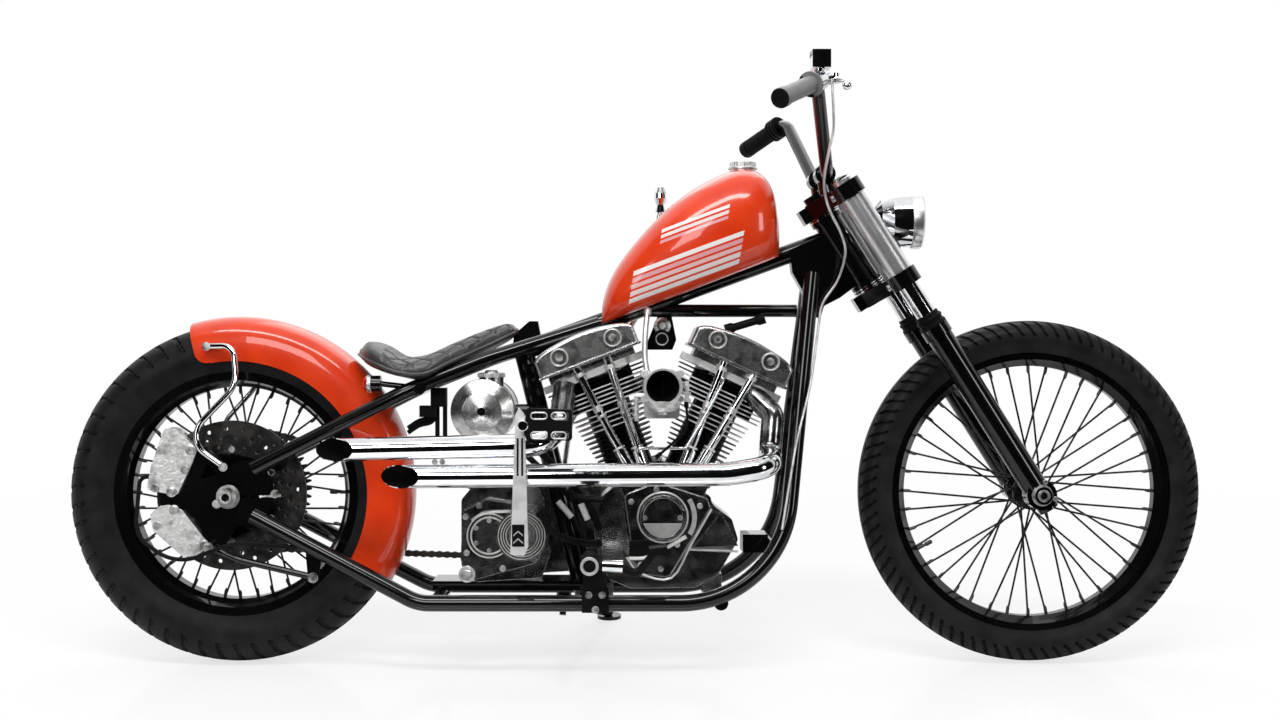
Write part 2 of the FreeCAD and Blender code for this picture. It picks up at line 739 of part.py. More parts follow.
GRIP_RING_PITCH = 9.0
GRIP_CAP = 14.0
GRIP_CAP_LIP = 2.0

PERCH_FROM = 122.0
PERCH_LENGTH = 30.0
PERCH_R = 19.0
LEVER_R = 5.5
LEVER_BALL_R = 8.5
LEVER_BOSS_R = 12.0
LEVER_BOSS_HALF = 9.0
LEVER_BEND = 90.0
# Lever on the right bar: pivot, bow and tip
LEVER_POINTS = ((BAR_CLAMP[0] - 9.0, -283.0, BAR_CLAMP[1] + 156.0), (BAR_CLAMP[0] + 13.0, -330.0, BAR_CLAMP[1] + 143.0),
                (BAR_CLAMP[0] + 1.0, -403.0, BAR_CLAMP[1] + 126.0))
RESERVOIR = (BAR_CLAMP[0] - 34.0, -291.0, BAR_CLAMP[1] + 172.0, BAR_CLAMP[1] + 194.0)
RESERVOIR_HALF = (17.0, 26.0)
RESERVOIR_FINS = 5
RESERVOIR_FIN = (3.0, 11.0)


def hand_lever():
    """Perch clamped to the right bar inboard of the grip, its finned reservoir and a lever that ends in a ball."""
    end, along = grip_line(-1)
    inner = end + along * PERCH_FROM
    middle = inner + along * (PERCH_LENGTH / 2)
    perch = rod(inner, inner + along * PERCH_LENGTH, PERCH_R)
    pivot, bow, tip = [V(*point) for point in LEVER_POINTS]
    arm = rod(middle, pivot, LEVER_R + LEVER_R)
    boss = rod(pivot - V(0, 0, LEVER_BOSS_HALF), pivot + V(0, 0, LEVER_BOSS_HALF), LEVER_BOSS_R)
    blade = bent_tube([pivot, bow, tip], (LEVER_BEND,), LEVER_R)
    x, y, low, high = RESERVOIR
    half_x, half_y = RESERVOIR_HALF
    box = Part.makeBox(2 * half_x, 2 * half_y, high - low, V(x - half_x, y - half_y, low))
    thick, tall = RESERVOIR_FIN
    step = (2 * half_y - thick) / (RESERVOIR_FINS - 1)
    fins = [Part.makeBox(2 * half_x, thick, tall, V(x - half_x, y - half_y + n * step, high))
            for n in range(RESERVOIR_FINS)]
    neck = rod(V(x, y, low), middle, LEVER_R + LEVER_R)
    return fuse(perch, arm, boss, blade, Part.makeSphere(LEVER_BALL_R, tip), box, neck, *fins)


# Hand shifter beside the left of the tank: foot, two bends and top
SHIFTER = ((640.0, 78.0, 352.0), (655.0, 132.0, 470.0), (800.0, 158.0, 700.0), (842.0, 146.0, 905.0))
SHIFTER_R = 6.5
SHIFTER_KNOB = (13.0, 58.0)
SHIFTER_BASE = ((604.0, 300.0), (604.0, 352.0), (622.0, 374.0), (656.0, 374.0), (664.0, 352.0), (640.0, 300.0))
SHIFTER_BASE_Y = (52.0, 78.0)


def hand_shifter():
    """Bracket on the gearbox and a bent rod that rises beside the tank to a waisted knob."""
    points = [V(*point) for point in SHIFTER]
    stem = bent_tube(points, (60.0, 120.0), SHIFTER_R)
    radius, height = SHIFTER_KNOB
    shares = ((0.0, 0.0), (0.9, 0.02), (0.62, 0.28), (1.0, 0.52), (0.96, 0.7), (0.5, 0.92), (0.0, 1.0))
    knob = turned([(radius * r, height * h) for r, h in shares], points[-1], V(0, 0, 1), V(1, 0, 0))
    return fuse(plate(SHIFTER_BASE, SHIFTER_BASE_Y[0], SHIFTER_BASE_Y[1]), stem, knob)


HEADLIGHT_X = (FRONT_AXLE.x - 310.0, FRONT_AXLE.x - 216.0)
HEADLIGHT_Z = FRONT_AXLE.z + 541.0
HEADLIGHT_R = 56.0
# Shell profile: radius as a share of the lamp's radius, place as a share of its length
HEADLIGHT_SHARES = ((0.0, 0.0), (0.42, 0.03), (0.74, 0.16), (0.93, 0.4), (0.98, 0.7), (1.0, 0.84),
                    (1.0, 0.94), (0.92, 1.0), (0.55, 1.03), (0.0, 1.06))


def headlight():
    """Bullet lamp shell with its domed lens."""
    length = HEADLIGHT_X[1] - HEADLIGHT_X[0]
    profile = [(r * HEADLIGHT_R, h * length) for r, h in HEADLIGHT_SHARES]
    return turned(profile, V(HEADLIGHT_X[0], 0, HEADLIGHT_Z), V(1, 0, 0), V(0, 0, 1))


def lamp_post():
    """Post from the lower bridge up into the lamp shell."""
    foot = fork_point(LOWER_TREE_S, 0, STEER_OFFSET * TREE_FRONT_SHARE - LAMP_POST_R)
    middle = V((HEADLIGHT_X[0] + HEADLIGHT_X[1]) / 2, 0, HEADLIGHT_Z - HEADLIGHT_R + LAMP_POST_R)
    return rod(foot, middle, LAMP_POST_R)


LAMP_POST_R = 11.0


# Engine

CASE_OUTLINE = ((716.0, 212.0), (736.0, 168.0), (780.0, 150.0), (905.0, 152.0), (950.0, 176.0), (990.0, 246.0),
                (978.0, 286.0), (944.0, 312.0), (902.0, 366.0), (848.0, 330.0), (812.0, 332.0), (772.0, 372.0),
                (720.0, 330.0), (706.0, 262.0))
CASE_BEND = 10.0


def crankcase():
    """Crankcase: a rounded outline with a lug over each crossmember and a boss on the left."""
    body = plate(CASE_OUTLINE, -CASE_HALF, CASE_HALF, CASE_BEND)
    lugs = [plate(((x - LUG_HALF, RAIL_Z), (x - LUG_HALF, LUG_TOP), (x + LUG_HALF, LUG_TOP), (x + LUG_HALF, RAIL_Z)),
                  -LUG_Y, LUG_Y) for x in CASE_LUG_X]
    boss = disc(CRANK_X, CRANK_Z, CASE_HALF, PRIMARY_Y[0], CASE_BOSS_R)
    return fuse(body, boss, *lugs)


LUG_HALF = 18.0
LUG_TOP = 178.0
LUG_Y = 48.0
CASE_LUG_X = (726.0, 940.0)
CASE_BOSS_R = 70.0

CAM_OUTLINE = ((766.0, 338.0), (828.0, 363.0), (926.0, 332.0), (931.0, 314.0), (890.0, 245.0), (851.0, 180.0),
               (800.0, 186.0), (784.0, 212.0))
CAM_Y = (-118.0, -CASE_HALF)
CAM_BEND = 12.0
TIMER = (840.0, 296.0, 43.0, 14.0)


def cam_cover():
    """Cover over the timing gears: outer flange, raised middle, round timer and the tappet blocks."""
    x, z, r, out = TIMER
    cover = plate(CAM_OUTLINE, CAM_Y[0], CAM_Y[1], CAM_BEND)
    flange = plate([(x + (px - x) * CAM_FLANGE_GROW, z + (pz - z) * CAM_FLANGE_GROW) for px, pz in CAM_OUTLINE],
                   CAM_Y[1] - CAM_FLANGE_T, CAM_Y[1], CAM_BEND)
    timer = disc(x, z, CAM_Y[0] - out, CAM_Y[0], r).cut(
        disc(x, z, CAM_Y[0] - out, CAM_Y[0] - out + TIMER_DISH, r - TIMER_RIM))
    blocks = [tappet_block(*place) for place in TAPPETS]
    return fuse(cover, flange, timer, *blocks)


CAM_FLANGE_GROW = 1.09
CAM_FLANGE_T = 22.0
TIMER_DISH = 4.0
TIMER_RIM = 4.5


def tappet_block(x, z, tilt):
    """Block that stands out of the cam cover and takes two pushrod tubes."""
    up = (math.sin(rad(tilt)), math.cos(rad(tilt)))
    corners = ((-1, -TAPPET_DOWN), (-1, TAPPET_UP), (1, TAPPET_UP), (1, -TAPPET_DOWN))
    outline = [(x + side * TAPPET_HALF * up[1] + rise * up[0], z - side * TAPPET_HALF * up[0] + rise * up[1])
               for side, rise in corners]
    return plate(outline, TAPPET_Y[0], TAPPET_Y[1])


def cylinder(tilt):
    """Barrel with round fins, from the crankcase to the head."""
    up = cyl_point(tilt, 1) - cyl_point(tilt, 0)
    fore = cyl_point(tilt, 0, 1) - cyl_point(tilt, 0)
    flange = BARREL_BASE_S + BARREL_FLANGE
    profile = [(0, BARREL_BASE_S), (BARREL_LOW_FIN_R, BARREL_BASE_S), (BARREL_LOW_FIN_R, flange), (BARREL_R, flange)]
    for n in range(BARREL_FINS):
        low = BARREL_FIRST_FIN_S + n * FIN_PITCH
        r = BARREL_LOW_FIN_R + (BARREL_TOP_FIN_R - BARREL_LOW_FIN_R) * n / (BARREL_FINS - 1)
        profile += [(BARREL_R, low), (r, low), (r, low + FIN_T), (BARREL_R, low + FIN_T)]
    profile += [(BARREL_R, BARREL_TOP_S), (0, BARREL_TOP_S)]
    return turned(profile, cyl_point(tilt, 0), up, fore)


def head_outline(tilt, s, grow, half, half_y):
    """Rounded head outline in the plane across a cylinder at height s."""
    corners = [(-half, -half_y * grow), (-half * grow, -half_y), (half * grow, -half_y), (half, -half_y * grow),
               (half, half_y * grow), (half * grow, half_y), (-half * grow, half_y), (-half, half_y * grow)]
    return [cyl_point(tilt, s, a, y) for a, y in corners]


HEAD_CORNER_SHARE = 0.62


def cylinder_head(tilt):
    """Head: a core with flat fins that grow towards a thick deck, its ports left to the pipes."""
    up = cyl_point(tilt, 1) - cyl_point(tilt, 0)
    deck = HEAD_TOP_S - ROCKER_NECK - HEAD_DECK
    height = deck + HEAD_DECK - BARREL_TOP_S
    core = polygon(head_outline(tilt, BARREL_TOP_S, HEAD_CORNER_SHARE, HEAD_TOP_HALF * HEAD_CORE_SHARE,
                                HEAD_HALF_Y * HEAD_CORE_SHARE)).extrude(up * height)
    pitch = (deck - BARREL_TOP_S) / HEAD_FINS
    fins = []
    for n in range(HEAD_FINS):
        half = HEAD_FOOT_HALF + (HEAD_TOP_HALF - HEAD_FOOT_HALF) * n / HEAD_FINS
        outline = head_outline(tilt, BARREL_TOP_S + n * pitch, HEAD_CORNER_SHARE, half, HEAD_HALF_Y)
        fins.append(polygon(outline).extrude(up * FIN_T))
    top = polygon(head_outline(tilt, deck, HEAD_CORNER_SHARE, HEAD_TOP_HALF, HEAD_HALF_Y)).extrude(up * HEAD_DECK)
    return fuse(core, top, *fins)


# Rocker box's crown: place along as a share of the half length, height as a share of the full height
ROCKER_SHARES = ((-1.0, 0.6), (-0.94, 0.7), (-0.6, 0.9), (0.0, 1.0), (0.6, 0.9), (0.94, 0.7), (1.0, 0.6))
ROCKER_SEAM = 5.0
ROCKER_SEAM_LIP = 3.0


def rocker_box(tilt):
    """Crowned rocker cover on a seam plate, over a narrower neck that leaves a dark gap above the head."""
    near, far = ROCKER_Y
    up = cyl_point(tilt, 1) - cyl_point(tilt, 0)
    points = [cyl_point(tilt, HEAD_TOP_S + h * ROCKER_HEIGHT, a * ROCKER_HALF, near) for a, h in ROCKER_SHARES]
    feet = [cyl_point(tilt, HEAD_TOP_S, a * ROCKER_HALF, near) for a in (1, -1)]
    crown = Part.BSplineCurve()
    crown.interpolate(points)
    sides = [Part.LineSegment(points[-1], feet[0]), Part.LineSegment(feet[0], feet[1]),
             Part.LineSegment(feet[1], points[0])]
    face = Part.Face(Part.Wire([crown.toShape()] + [side.toShape() for side in sides]))
    cover = face.extrude(V(0, far - near, 0))
    edges = [e for e in cover.Edges if e.BoundBox.YMax < near + TOUCH
             and (e.CenterOfMass - cyl_point(tilt, HEAD_TOP_S, 0, near)).dot(up) > ROCKER_EDGE]
    cover = cover.makeFillet(ROCKER_EDGE, edges)
    lip = ROCKER_SEAM_LIP
    seam = slab_across(tilt, HEAD_TOP_S - ROCKER_SEAM, HEAD_TOP_S, ROCKER_HALF + lip, near - lip, far + lip)
    neck = slab_across(tilt, HEAD_TOP_S - ROCKER_NECK, HEAD_TOP_S - ROCKER_SEAM, ROCKER_HALF * ROCKER_NECK_SHARE,
                       near + ROCKER_NECK, far - ROCKER_NECK)
    return fuse(cover, seam, neck)


def slab_across(tilt, s_low, s_high, half, y_from, y_to):
    """Block between two heights of a cylinder's axis."""
    up = cyl_point(tilt, 1) - cyl_point(tilt, 0)
    base = [cyl_point(tilt, s_low, a, y) for a, y in ((-half, y_from), (half, y_from), (half, y_to), (-half, y_to))]
    return polygon(base).extrude(up * (s_high - s_low))


ROCKER_EDGE = 7.0
ROCKER_NECK = 20.0
ROCKER_NECK_SHARE = 0.86


# Pushrod tubes: foot then top, x and z, with how far out each end is
PUSHRODS = (((772.0, 397.0), (674.0, 579.0)), ((802.0, 397.0), (734.0, 597.0)),
            ((884.0, 397.0), (960.0, 593.0)), ((914.0, 397.0), (1020.0, 573.0)))
PUSHROD_Y = (-92.0, -80.0)
PUSHROD_R = 8.0
PUSHROD_CUP_R = 11.5
PUSHROD_CUP = 30.0


def pushrod_tubes():
    """Four separate pushrod tubes, each wider at its foot."""
    tubes = []
    for (x0, z0), (x1, z1) in PUSHRODS:
        foot, top = V(x0, PUSHROD_Y[0], z0), V(x1, PUSHROD_Y[1], z1)
        along = (top - foot).normalize()
        start = foot - along * PUSHROD_BELOW
        tubes.append(fuse(rod(start, top + along * PUSHROD_ABOVE, PUSHROD_R),
                          rod(start, start + along * (PUSHROD_CUP + PUSHROD_BELOW), PUSHROD_CUP_R)))
    return tubes


PUSHROD_BELOW = 26.0
PUSHROD_ABOVE = 18.0

TAPPETS = ((789.0, 362.0, REAR_CYL_TILT), (897.0, 362.0, FRONT_CYL_TILT))
TAPPET_HALF = 32.0
TAPPET_UP = 24.0
TAPPET_DOWN = 50.0
TAPPET_Y = (-108.0, -76.0)
CARB = (838.0, 550.0)
CARB_MOUTH_Y = -200.0
CARB_MOUTH_R = 37.0
CARB_THROAT_R = 31.0
CARB_BODY_R = 27.0
CARB_INNER_Y = -60.0
CARB_MOUTH_LENGTH = 42.0
CARB_FLOOR = 55.0
MANIFOLD_R = 19.0
CARB_BOWL = ((804.0, 488.0), (804.0, 534.0), (872.0, 534.0), (872.0, 488.0))
CARB_BOWL_Y = (-142.0, -92.0)


def carburettor():
    """Bell mouth, body and float bowl, with the manifold between the heads."""
    x, z = CARB
    mouth = cone(V(x, CARB_MOUTH_Y, z), V(x, CARB_MOUTH_Y + CARB_MOUTH_LENGTH, z), CARB_MOUTH_R, CARB_BODY_R)
    body = disc(x, z, CARB_MOUTH_Y + CARB_MOUTH_LENGTH, CARB_INNER_Y, CARB_BODY_R)
    bowl = plate(CARB_BOWL, CARB_BOWL_Y[0], CARB_BOWL_Y[1], CARB_BOWL_BEND)
    stub = rod(V(x, CARB_INNER_Y, z), V(x, 0, z), MANIFOLD_R)
    arms = [rod(V(x, 0, z), cyl_point(tilt, MANIFOLD_S), MANIFOLD_R) for tilt in (REAR_CYL_TILT, FRONT_CYL_TILT)]
    bore = cone(V(x, CARB_MOUTH_Y, z), V(x, CARB_MOUTH_Y + CARB_FLOOR, z), CARB_THROAT_R,
                CARB_THROAT_R * CARB_BORE_SHARE)
    return fuse(mouth, body, bowl, stub, *arms).cut(bore)


CARB_BOWL_BEND = 8.0
CARB_BORE_SHARE = 0.6
MANIFOLD_S = 330.0

PRIMARY_Y = (101.0, 160.0)
PRIMARY_FRONT_R = 78.0
PRIMARY_REAR_R = 96.0
PRIMARY_REAR_X = 540.0
PRIMARY_Z = 254.0


def racetrack(x0, r0, x1, r1, z, y_from, y_to):
    """Two round ends and the straight flanks that join them, carried across."""
    span = x1 - x0
    turn = math.asin((r0 - r1) / span)
    outline = []
    for x, r in ((x0, r0), (x1, r1)):
        outline.append((x + r * math.sin(turn), z + r * math.cos(turn)))
    for x, r in ((x1, r1), (x0, r0)):
        outline.append((x + r * math.sin(turn), z - r * math.cos(turn)))
    return fuse(plate(outline, y_from, y_to), disc(x0, z, y_from, y_to, r0), disc(x1, z, y_from, y_to, r1))


def primary_cover():
    """Primary chaincase on the left, with raised round clutch and alternator faces."""
    body = racetrack(PRIMARY_REAR_X, PRIMARY_REAR_R, CRANK_X, PRIMARY_FRONT_R, PRIMARY_Z, PRIMARY_Y[0], PRIMARY_Y[1])
    rim_edges = [e for e in body.Edges if e.BoundBox.YMin > PRIMARY_Y[1] - TOUCH]
    return body.makeFillet(PRIMARY_EDGE, rim_edges)


PRIMARY_EDGE = 14.0

GEARBOX_OUTLINE = ((446.0, 196.0), (446.0, 326.0), (468.0, 352.0), (596.0, 356.0), (608.0, 330.0), (620.0, 216.0),
                   (604.0, 172.0), (474.0, 164.0))
GEARBOX_Y = (-66.0, 62.0)
GEARBOX_BEND = 12.0
GEARBOX_PLATE = ((388.0, 146.0), (388.0, 164.0), (704.0, 164.0), (704.0, 146.0))
GEARBOX_PLATE_Y = (-52.0, 52.0)
KICK = (567.0, 260.0, 49.0)
KICK_COVER = ((448.0, 212.0), (452.0, 306.0), (500.0, 330.0), (598.0, 312.0), (618.0, 262.0), (596.0, 206.0),
              (470.0, 172.0))
KICK_COVER_Y = (-108.0, -66.0)
KICK_FACE_OUT = 12.0
CLUTCH_PLATE = (504.0, 260.0, 37.0, 6.0)
DRAIN_BOSS = (461.0, 185.0, 16.0, 22.0)


def gearbox():
    """Gearbox case with its output shaft on the left and the kicker cover on the right."""
    case = plate(GEARBOX_OUTLINE, GEARBOX_Y[0], GEARBOX_Y[1], GEARBOX_BEND)
    shaft = disc(SPROCKET_X, SPROCKET_Z, GEARBOX_Y[1] - TOUCH, PRIMARY_Y[0], SPACER_R)
    return fuse(case, shaft, kick_cover())


def gearbox_mount():
    """Plate across the crossmembers that the gearbox is bolted to."""
    return plate(GEARBOX_PLATE, GEARBOX_PLATE_Y[0], GEARBOX_PLATE_Y[1])


def kick_cover():
    x, z, r = KICK
    cover = plate(KICK_COVER, KICK_COVER_Y[0], KICK_COVER_Y[1], GEARBOX_BEND)
    face = disc(x, z, KICK_COVER_Y[0] - KICK_FACE_OUT, KICK_COVER_Y[0], r)
    px, pz, pr, pt = CLUTCH_PLATE
    dx, dz, dr, dt = DRAIN_BOSS
    steps = []
    for n in range(KICK_RINGS):
        outer = r - KICK_RING_PITCH * (2 * n + 1)
        steps.append(ring(x, z, KICK_COVER_Y[0] - KICK_FACE_OUT, KICK_COVER_Y[0] - KICK_FACE_OUT + KICK_RING_DEPTH,
                          outer, outer - KICK_RING_PITCH))
    return fuse(cover, face, disc(px, pz, KICK_COVER_Y[0] - pt, KICK_COVER_Y[0], pr),
                disc(dx, dz, KICK_COVER_Y[0] - pt, KICK_COVER_Y[1] + dt, dr)).cut(steps)


KICK_RINGS = 4
KICK_RING_PITCH = 3.6
KICK_RING_DEPTH = 2.5


KICK_SHAFT = (567.0, 252.0)
KICK_SHAFT_R = 13.0
KICK_ARM_Y = -236.0
KICK_ARM_T = 15.0
KICK_ARM = ((552.0, 238.0), (562.0, 500.0), (568.0, 512.0), (578.0, 500.0), (586.0, 252.0), (578.0, 236.0))
KICK_PEDAL = ((584.0, 452.0), (578.0, 470.0), (584.0, 512.0), (668.0, 509.0), (668.0, 452.0))
KICK_PEDAL_Y = (-272.0, -246.0)


def kick_starter():
    """Shaft and arm, with the folded pedal block as a piece of its own on the arm's pin."""
    x, z = KICK_SHAFT
    shaft = disc(x, z, KICK_ARM_Y, KICK_COVER_Y[0] - KICK_FACE_OUT, KICK_SHAFT_R)
    arm = plate(KICK_ARM, KICK_ARM_Y - KICK_ARM_T / 2, KICK_ARM_Y + KICK_ARM_T / 2)
    pin = disc(KICK_PIN[0], KICK_PIN[1], KICK_PEDAL_Y[0], KICK_ARM_Y, KICK_PIN_R)
    return [fuse(shaft, arm, pin), kick_pedal().cut(pin)]


KICK_PIN = (577.0, 479.5)
KICK_PIN_R = 9.0


def kick_pedal():
    """Pedal block with four long openings."""
    solid = plate(KICK_PEDAL, KICK_PEDAL_Y[0], KICK_PEDAL_Y[1], KICK_PEDAL_BEND)
    half_x, half_z = KICK_SLOT
    corners = ((-half_x, -half_z), (-half_x, half_z), (half_x, half_z), (half_x, -half_z))
    slots = [plate([(x + dx, z + dz) for dx, dz in corners], KICK_PEDAL_Y[0], KICK_PEDAL_Y[1], KICK_SLOT_BEND)
             for x in KICK_SLOT_X for z in KICK_SLOT_Z]
    return solid.cut(slots)


KICK_SLOT = (15.0, 8.5)
KICK_SLOT_X = (608.0, 647.0)
KICK_SLOT_Z = (461.5, 497.5)
KICK_SLOT_BEND = 6.0
KICK_PEDAL_BEND = 5.0


def chain_loop(y_from, y_to):
    """One row of chain plates as a loop round both sprockets."""
    rear, front = pitch_radius(REAR_TEETH), pitch_radius(GEARBOX_TEETH)
    span = math.hypot(SPROCKET_X, SPROCKET_Z - REAR_R)
    dip = math.degrees(math.atan2(REAR_R - SPROCKET_Z, SPROCKET_X))
    outer = racetrack(0, rear + CHAIN_PLATE_HALF, span, front + CHAIN_PLATE_HALF, REAR_R, y_from, y_to)
    inner = racetrack(0, rear - CHAIN_PLATE_HALF, span, front - CHAIN_PLATE_HALF, REAR_R, y_from, y_to)
    loop = outer.cut(inner)
    loop.rotate(REAR_AXLE, ACROSS, dip)
    return loop


def chain_run():
    """Two rows of plates either side of the sprocket teeth, joined by pins along the free runs."""
    near, far = CHAIN_INNER_HALF, CHAIN_INNER_HALF + CHAIN_PLATE_T
    rows = [chain_loop(CHAIN_Y + near, CHAIN_Y + far), chain_loop(CHAIN_Y - far, CHAIN_Y - near)]
    rear, front = pitch_radius(REAR_TEETH), pitch_radius(GEARBOX_TEETH)
    span = math.hypot(SPROCKET_X, SPROCKET_Z - REAR_R)
    turn = math.asin((rear - front) / span)
    dip = math.degrees(math.atan2(REAR_R - SPROCKET_Z, SPROCKET_X))
    pins = []
    for side in (-1, 1):
        start = V(rear * math.sin(turn), 0, REAR_R + side * rear * math.cos(turn))
        end = V(span + front * math.sin(turn), 0, REAR_R + side * front * math.cos(turn))
        along = (end - start).normalize()
        run = (end - start).Length
        for place in CHAIN_PIN_SHARES:
            at = start + along * (run * place)
            pins.append(disc(at.x, at.z, CHAIN_Y - far, CHAIN_Y + far, ROLLER_R))
    for pin in pins:
        pin.rotate(REAR_AXLE, ACROSS, dip)
    return fuse(rows[0], rows[1], *pins)


CHAIN_PIN_SHARES = (0.2, 0.4, 0.6, 0.8)


def chain():
    """Final drive: the chain and the gearbox sprocket that it leaves."""
    return [chain_run(), gearbox_sprocket()]


def gearbox_sprocket():
    half = SPROCKET_T / 2
    plain = disc(SPROCKET_X, SPROCKET_Z, CHAIN_Y - CHAIN_INNER_HALF, CHAIN_Y + CHAIN_INNER_HALF,
                 pitch_radius(GEARBOX_TEETH) - ROLLER_R)
    teeth = sprocket(SPROCKET_X, SPROCKET_Z, GEARBOX_TEETH, SPACER_R, CHAIN_Y - half, CHAIN_Y + half)
    return fuse(plain, teeth).cut(disc(SPROCKET_X, SPROCKET_Z, GEARBOX_Y[1], PRIMARY_Y[0], SPACER_R))


# Tank, seat, fender and oil tank

# Tank stations: x from the neck, base and top above the backbone's line, half width
TANK_STATIONS = ((-492.4, -3.2, 30.8, 34.0), (-478.4, -3.4, 75.6, 62.0), (-446.4, -3.1, 116.9, 86.0),
                 (-396.4, -2.4, 157.6, 104.0), (-334.4, -2.1, 190.9, 115.0), (-269.4, -0.8, 206.2, 118.0),
                 (-209.4, 0.2, 201.2, 113.0), (-172.4, 0.7, 174.7, 101.0), (-152.4, 1.3, 134.3, 82.0),
                 (-143.4, 2.0, 85.0, 56.0))
# Tank section: half width and height as shares
TANK_SHARES = ((0.0, 0.0), (0.6, 0.0), (0.9, 0.14), (1.0, 0.4), (0.93, 0.68), (0.66, 0.9), (0.3, 0.985), (0.0, 1.0))


def shell_section(x, low, high, half, shares):
    left = [V(x, half * across, low + (high - low) * up) for across, up in shares]
    right = [V(x, -p.y, p.z) for p in reversed(left[1:-1])]
    return closed_curve(left + right)


def fuel_tank():
    """Teardrop tank that sits astride the backbone, which is later cut out of its base."""
    sections = []
    for from_neck, low, high, half in TANK_STATIONS:
        place = backbone_point(NECK.x + from_neck)
        sections.append(shell_section(place.x, place.z + low, place.z + high, half, TANK_SHARES))
    return loft(sections)


FUEL_CAP = (NECK.x - 211.4, 25.0, 15.0)
FUEL_CAP_NECK = 30.0


def fuel_cap():
    x, r, height = FUEL_CAP
    from_neck, _, high, _ = TANK_STATIONS[6]
    top = backbone_point(NECK.x + from_neck).z + high
    return rod(V(x, 0, top - FUEL_CAP_NECK), V(x, 0, top + height - TOUCH), r)


# Seat stations: x, underside, top, half width
SEAT_STATIONS = ((246.0, 606.0, 624.0, 52.0), (262.0, 590.0, 636.0, 98.0), (290.0, 577.0, 629.0, 124.0),
                 (330.0, 566.0, 607.0, 134.0), (378.0, 560.0, 611.0, 126.0), (430.0, 585.0, 634.0, 100.0),
                 (490.0, 613.0, 659.0, 66.0), (534.0, 637.0, 672.0, 46.0), (550.0, 650.0, 664.0, 30.0))
SEAT_SHARES = ((0.0, 0.0), (0.5, 0.02), (0.86, 0.14), (1.0, 0.5), (0.88, 0.86), (0.5, 0.98), (0.0, 1.0))


def seat():
    return loft([shell_section(x, low, high, half, SEAT_SHARES) for x, low, high, half in SEAT_STATIONS])


def seat_strap():
    """Hinge strap under the seat's nose."""
    return plate(SEAT_STRAP, -SEAT_STRAP_HALF, SEAT_STRAP_HALF)


def seat_posts():
    """Two short posts on the cross tube that the saddle's tail rests on."""
    x, z = FENDER_CROSS
    return [rod(V(x, side * SEAT_POST_Y, z), V(x, side * SEAT_POST_Y, z + SEAT_POST_H), SEAT_POST_R)
            for side in (-1, 1)]


SEAT_STRAP = ((545.0, 634.0), (546.0, 650.0), (577.0, 677.0), (594.0, 677.0), (603.0, 630.0), (586.0, 620.0))
SEAT_STRAP_HALF = 16.0
SEAT_POST_Y = 88.0
SEAT_POST_H = 30.0
SEAT_POST_R = 9.0

FENDER_SECTION = ((REAR_R - 74.0, 73.0), (REAR_R - 36.0, 73.0), (REAR_R - 8.0, 63.0), (REAR_R + 8.0, 38.0), (REAR_R + 14.0, 0.0))
FENDER_T = 3.0
FENDER_REAR = 15.5
FENDER_FRONT = 120.0


def section_curve(points, radial, shift):
    curve = Part.BSplineCurve()
    curve.interpolate([V(0, y - math.copysign(shift, y) if y else 0, REAR_R + r - shift * radial) for r, y in points])
    return curve.toShape()


def rear_fender():
    """Rolled fender: one U section turned about the rear axle."""
    left = list(FENDER_SECTION)
    full = left + [(r, -y) for r, y in reversed(left[:-1])]
    outer = section_curve(full, 1, 0)
    inside = [(r - (FENDER_T if index else 0), max(abs(y) - FENDER_T, 0)) for index, (r, y) in enumerate(left)]
    full_in = inside + [(r, -y) for r, y in reversed(inside[:-1])]
    inner = section_curve(full_in, 1, 0)
    a, b = outer.Vertexes[0].Point, inner.Vertexes[0].Point
    c, d = outer.Vertexes[-1].Point, inner.Vertexes[-1].Point
    face = Part.Face(Part.Wire(Part.sortEdges([outer, Part.LineSegment(c, d).toShape(), inner,
                                               Part.LineSegment(b, a).toShape()])[0]))
    face.rotate(REAR_AXLE, ACROSS, -FENDER_REAR)
    return face.revolve(REAR_AXLE, ACROSS, FENDER_REAR + FENDER_FRONT).cut(fender_corner())


def fender_corner():
    """What is taken off the fender's rear lower corners to round them."""
    r, half = FENDER_SECTION[0]
    bend = FENDER_CORNER
    block = plate([(-bend, REAR_R + r - bend), (-bend, REAR_R + r + bend), (bend, REAR_R + r + bend),
                   (bend, REAR_R + r - bend)], -half - bend, half + bend)
    keep = disc(bend, REAR_R + r + bend, -half - bend, half + bend, bend)
    past = plate([(bend, REAR_R + r - bend), (bend, REAR_R + r + bend + bend), (bend + bend, REAR_R + r + bend + bend),
                  (bend + bend, REAR_R + r - bend)], -half - bend, half + bend)
    off = block.cut([keep, past])
    off.rotate(REAR_AXLE, ACROSS, -FENDER_REAR)
    return off


FENDER_CORNER = 24.0


STRUT_POINTS = ((-50.0, 291.0), (4.0, 292.0), (15.0, 216.0), (-82.0, 112.0), (-7.0, 58.0))
STRUT_BENDS = (28.0, 60.0, 44.0)
STRUT_R = 6.0
STRUT_Y = (80.0, 128.0)


def fender_strut(side):
    """Bent rod from the axle plate up to the fender's side."""
    count = len(STRUT_POINTS) - 1
    points = []
    for index, (x, z) in enumerate(at_axle(STRUT_POINTS)):
        share = min(1, index / (count - 1))
        points.append(V(x, side * (STRUT_Y[0] + (STRUT_Y[1] - STRUT_Y[0]) * share), z))
    seats = (FENDER_SECTION[0][1], PLATE_Y + PLATE_T / 2)
    eyes = [disc(point.x, point.z, side * seat, side * (y + STRUT_R), STRUT_EYE_R)
            for point, seat, y in zip((points[0], points[-1]), seats, STRUT_Y)]
    return fuse(bent_tube(points, STRUT_BENDS, STRUT_R), *eyes)


STRUT_EYE_R = 8.0

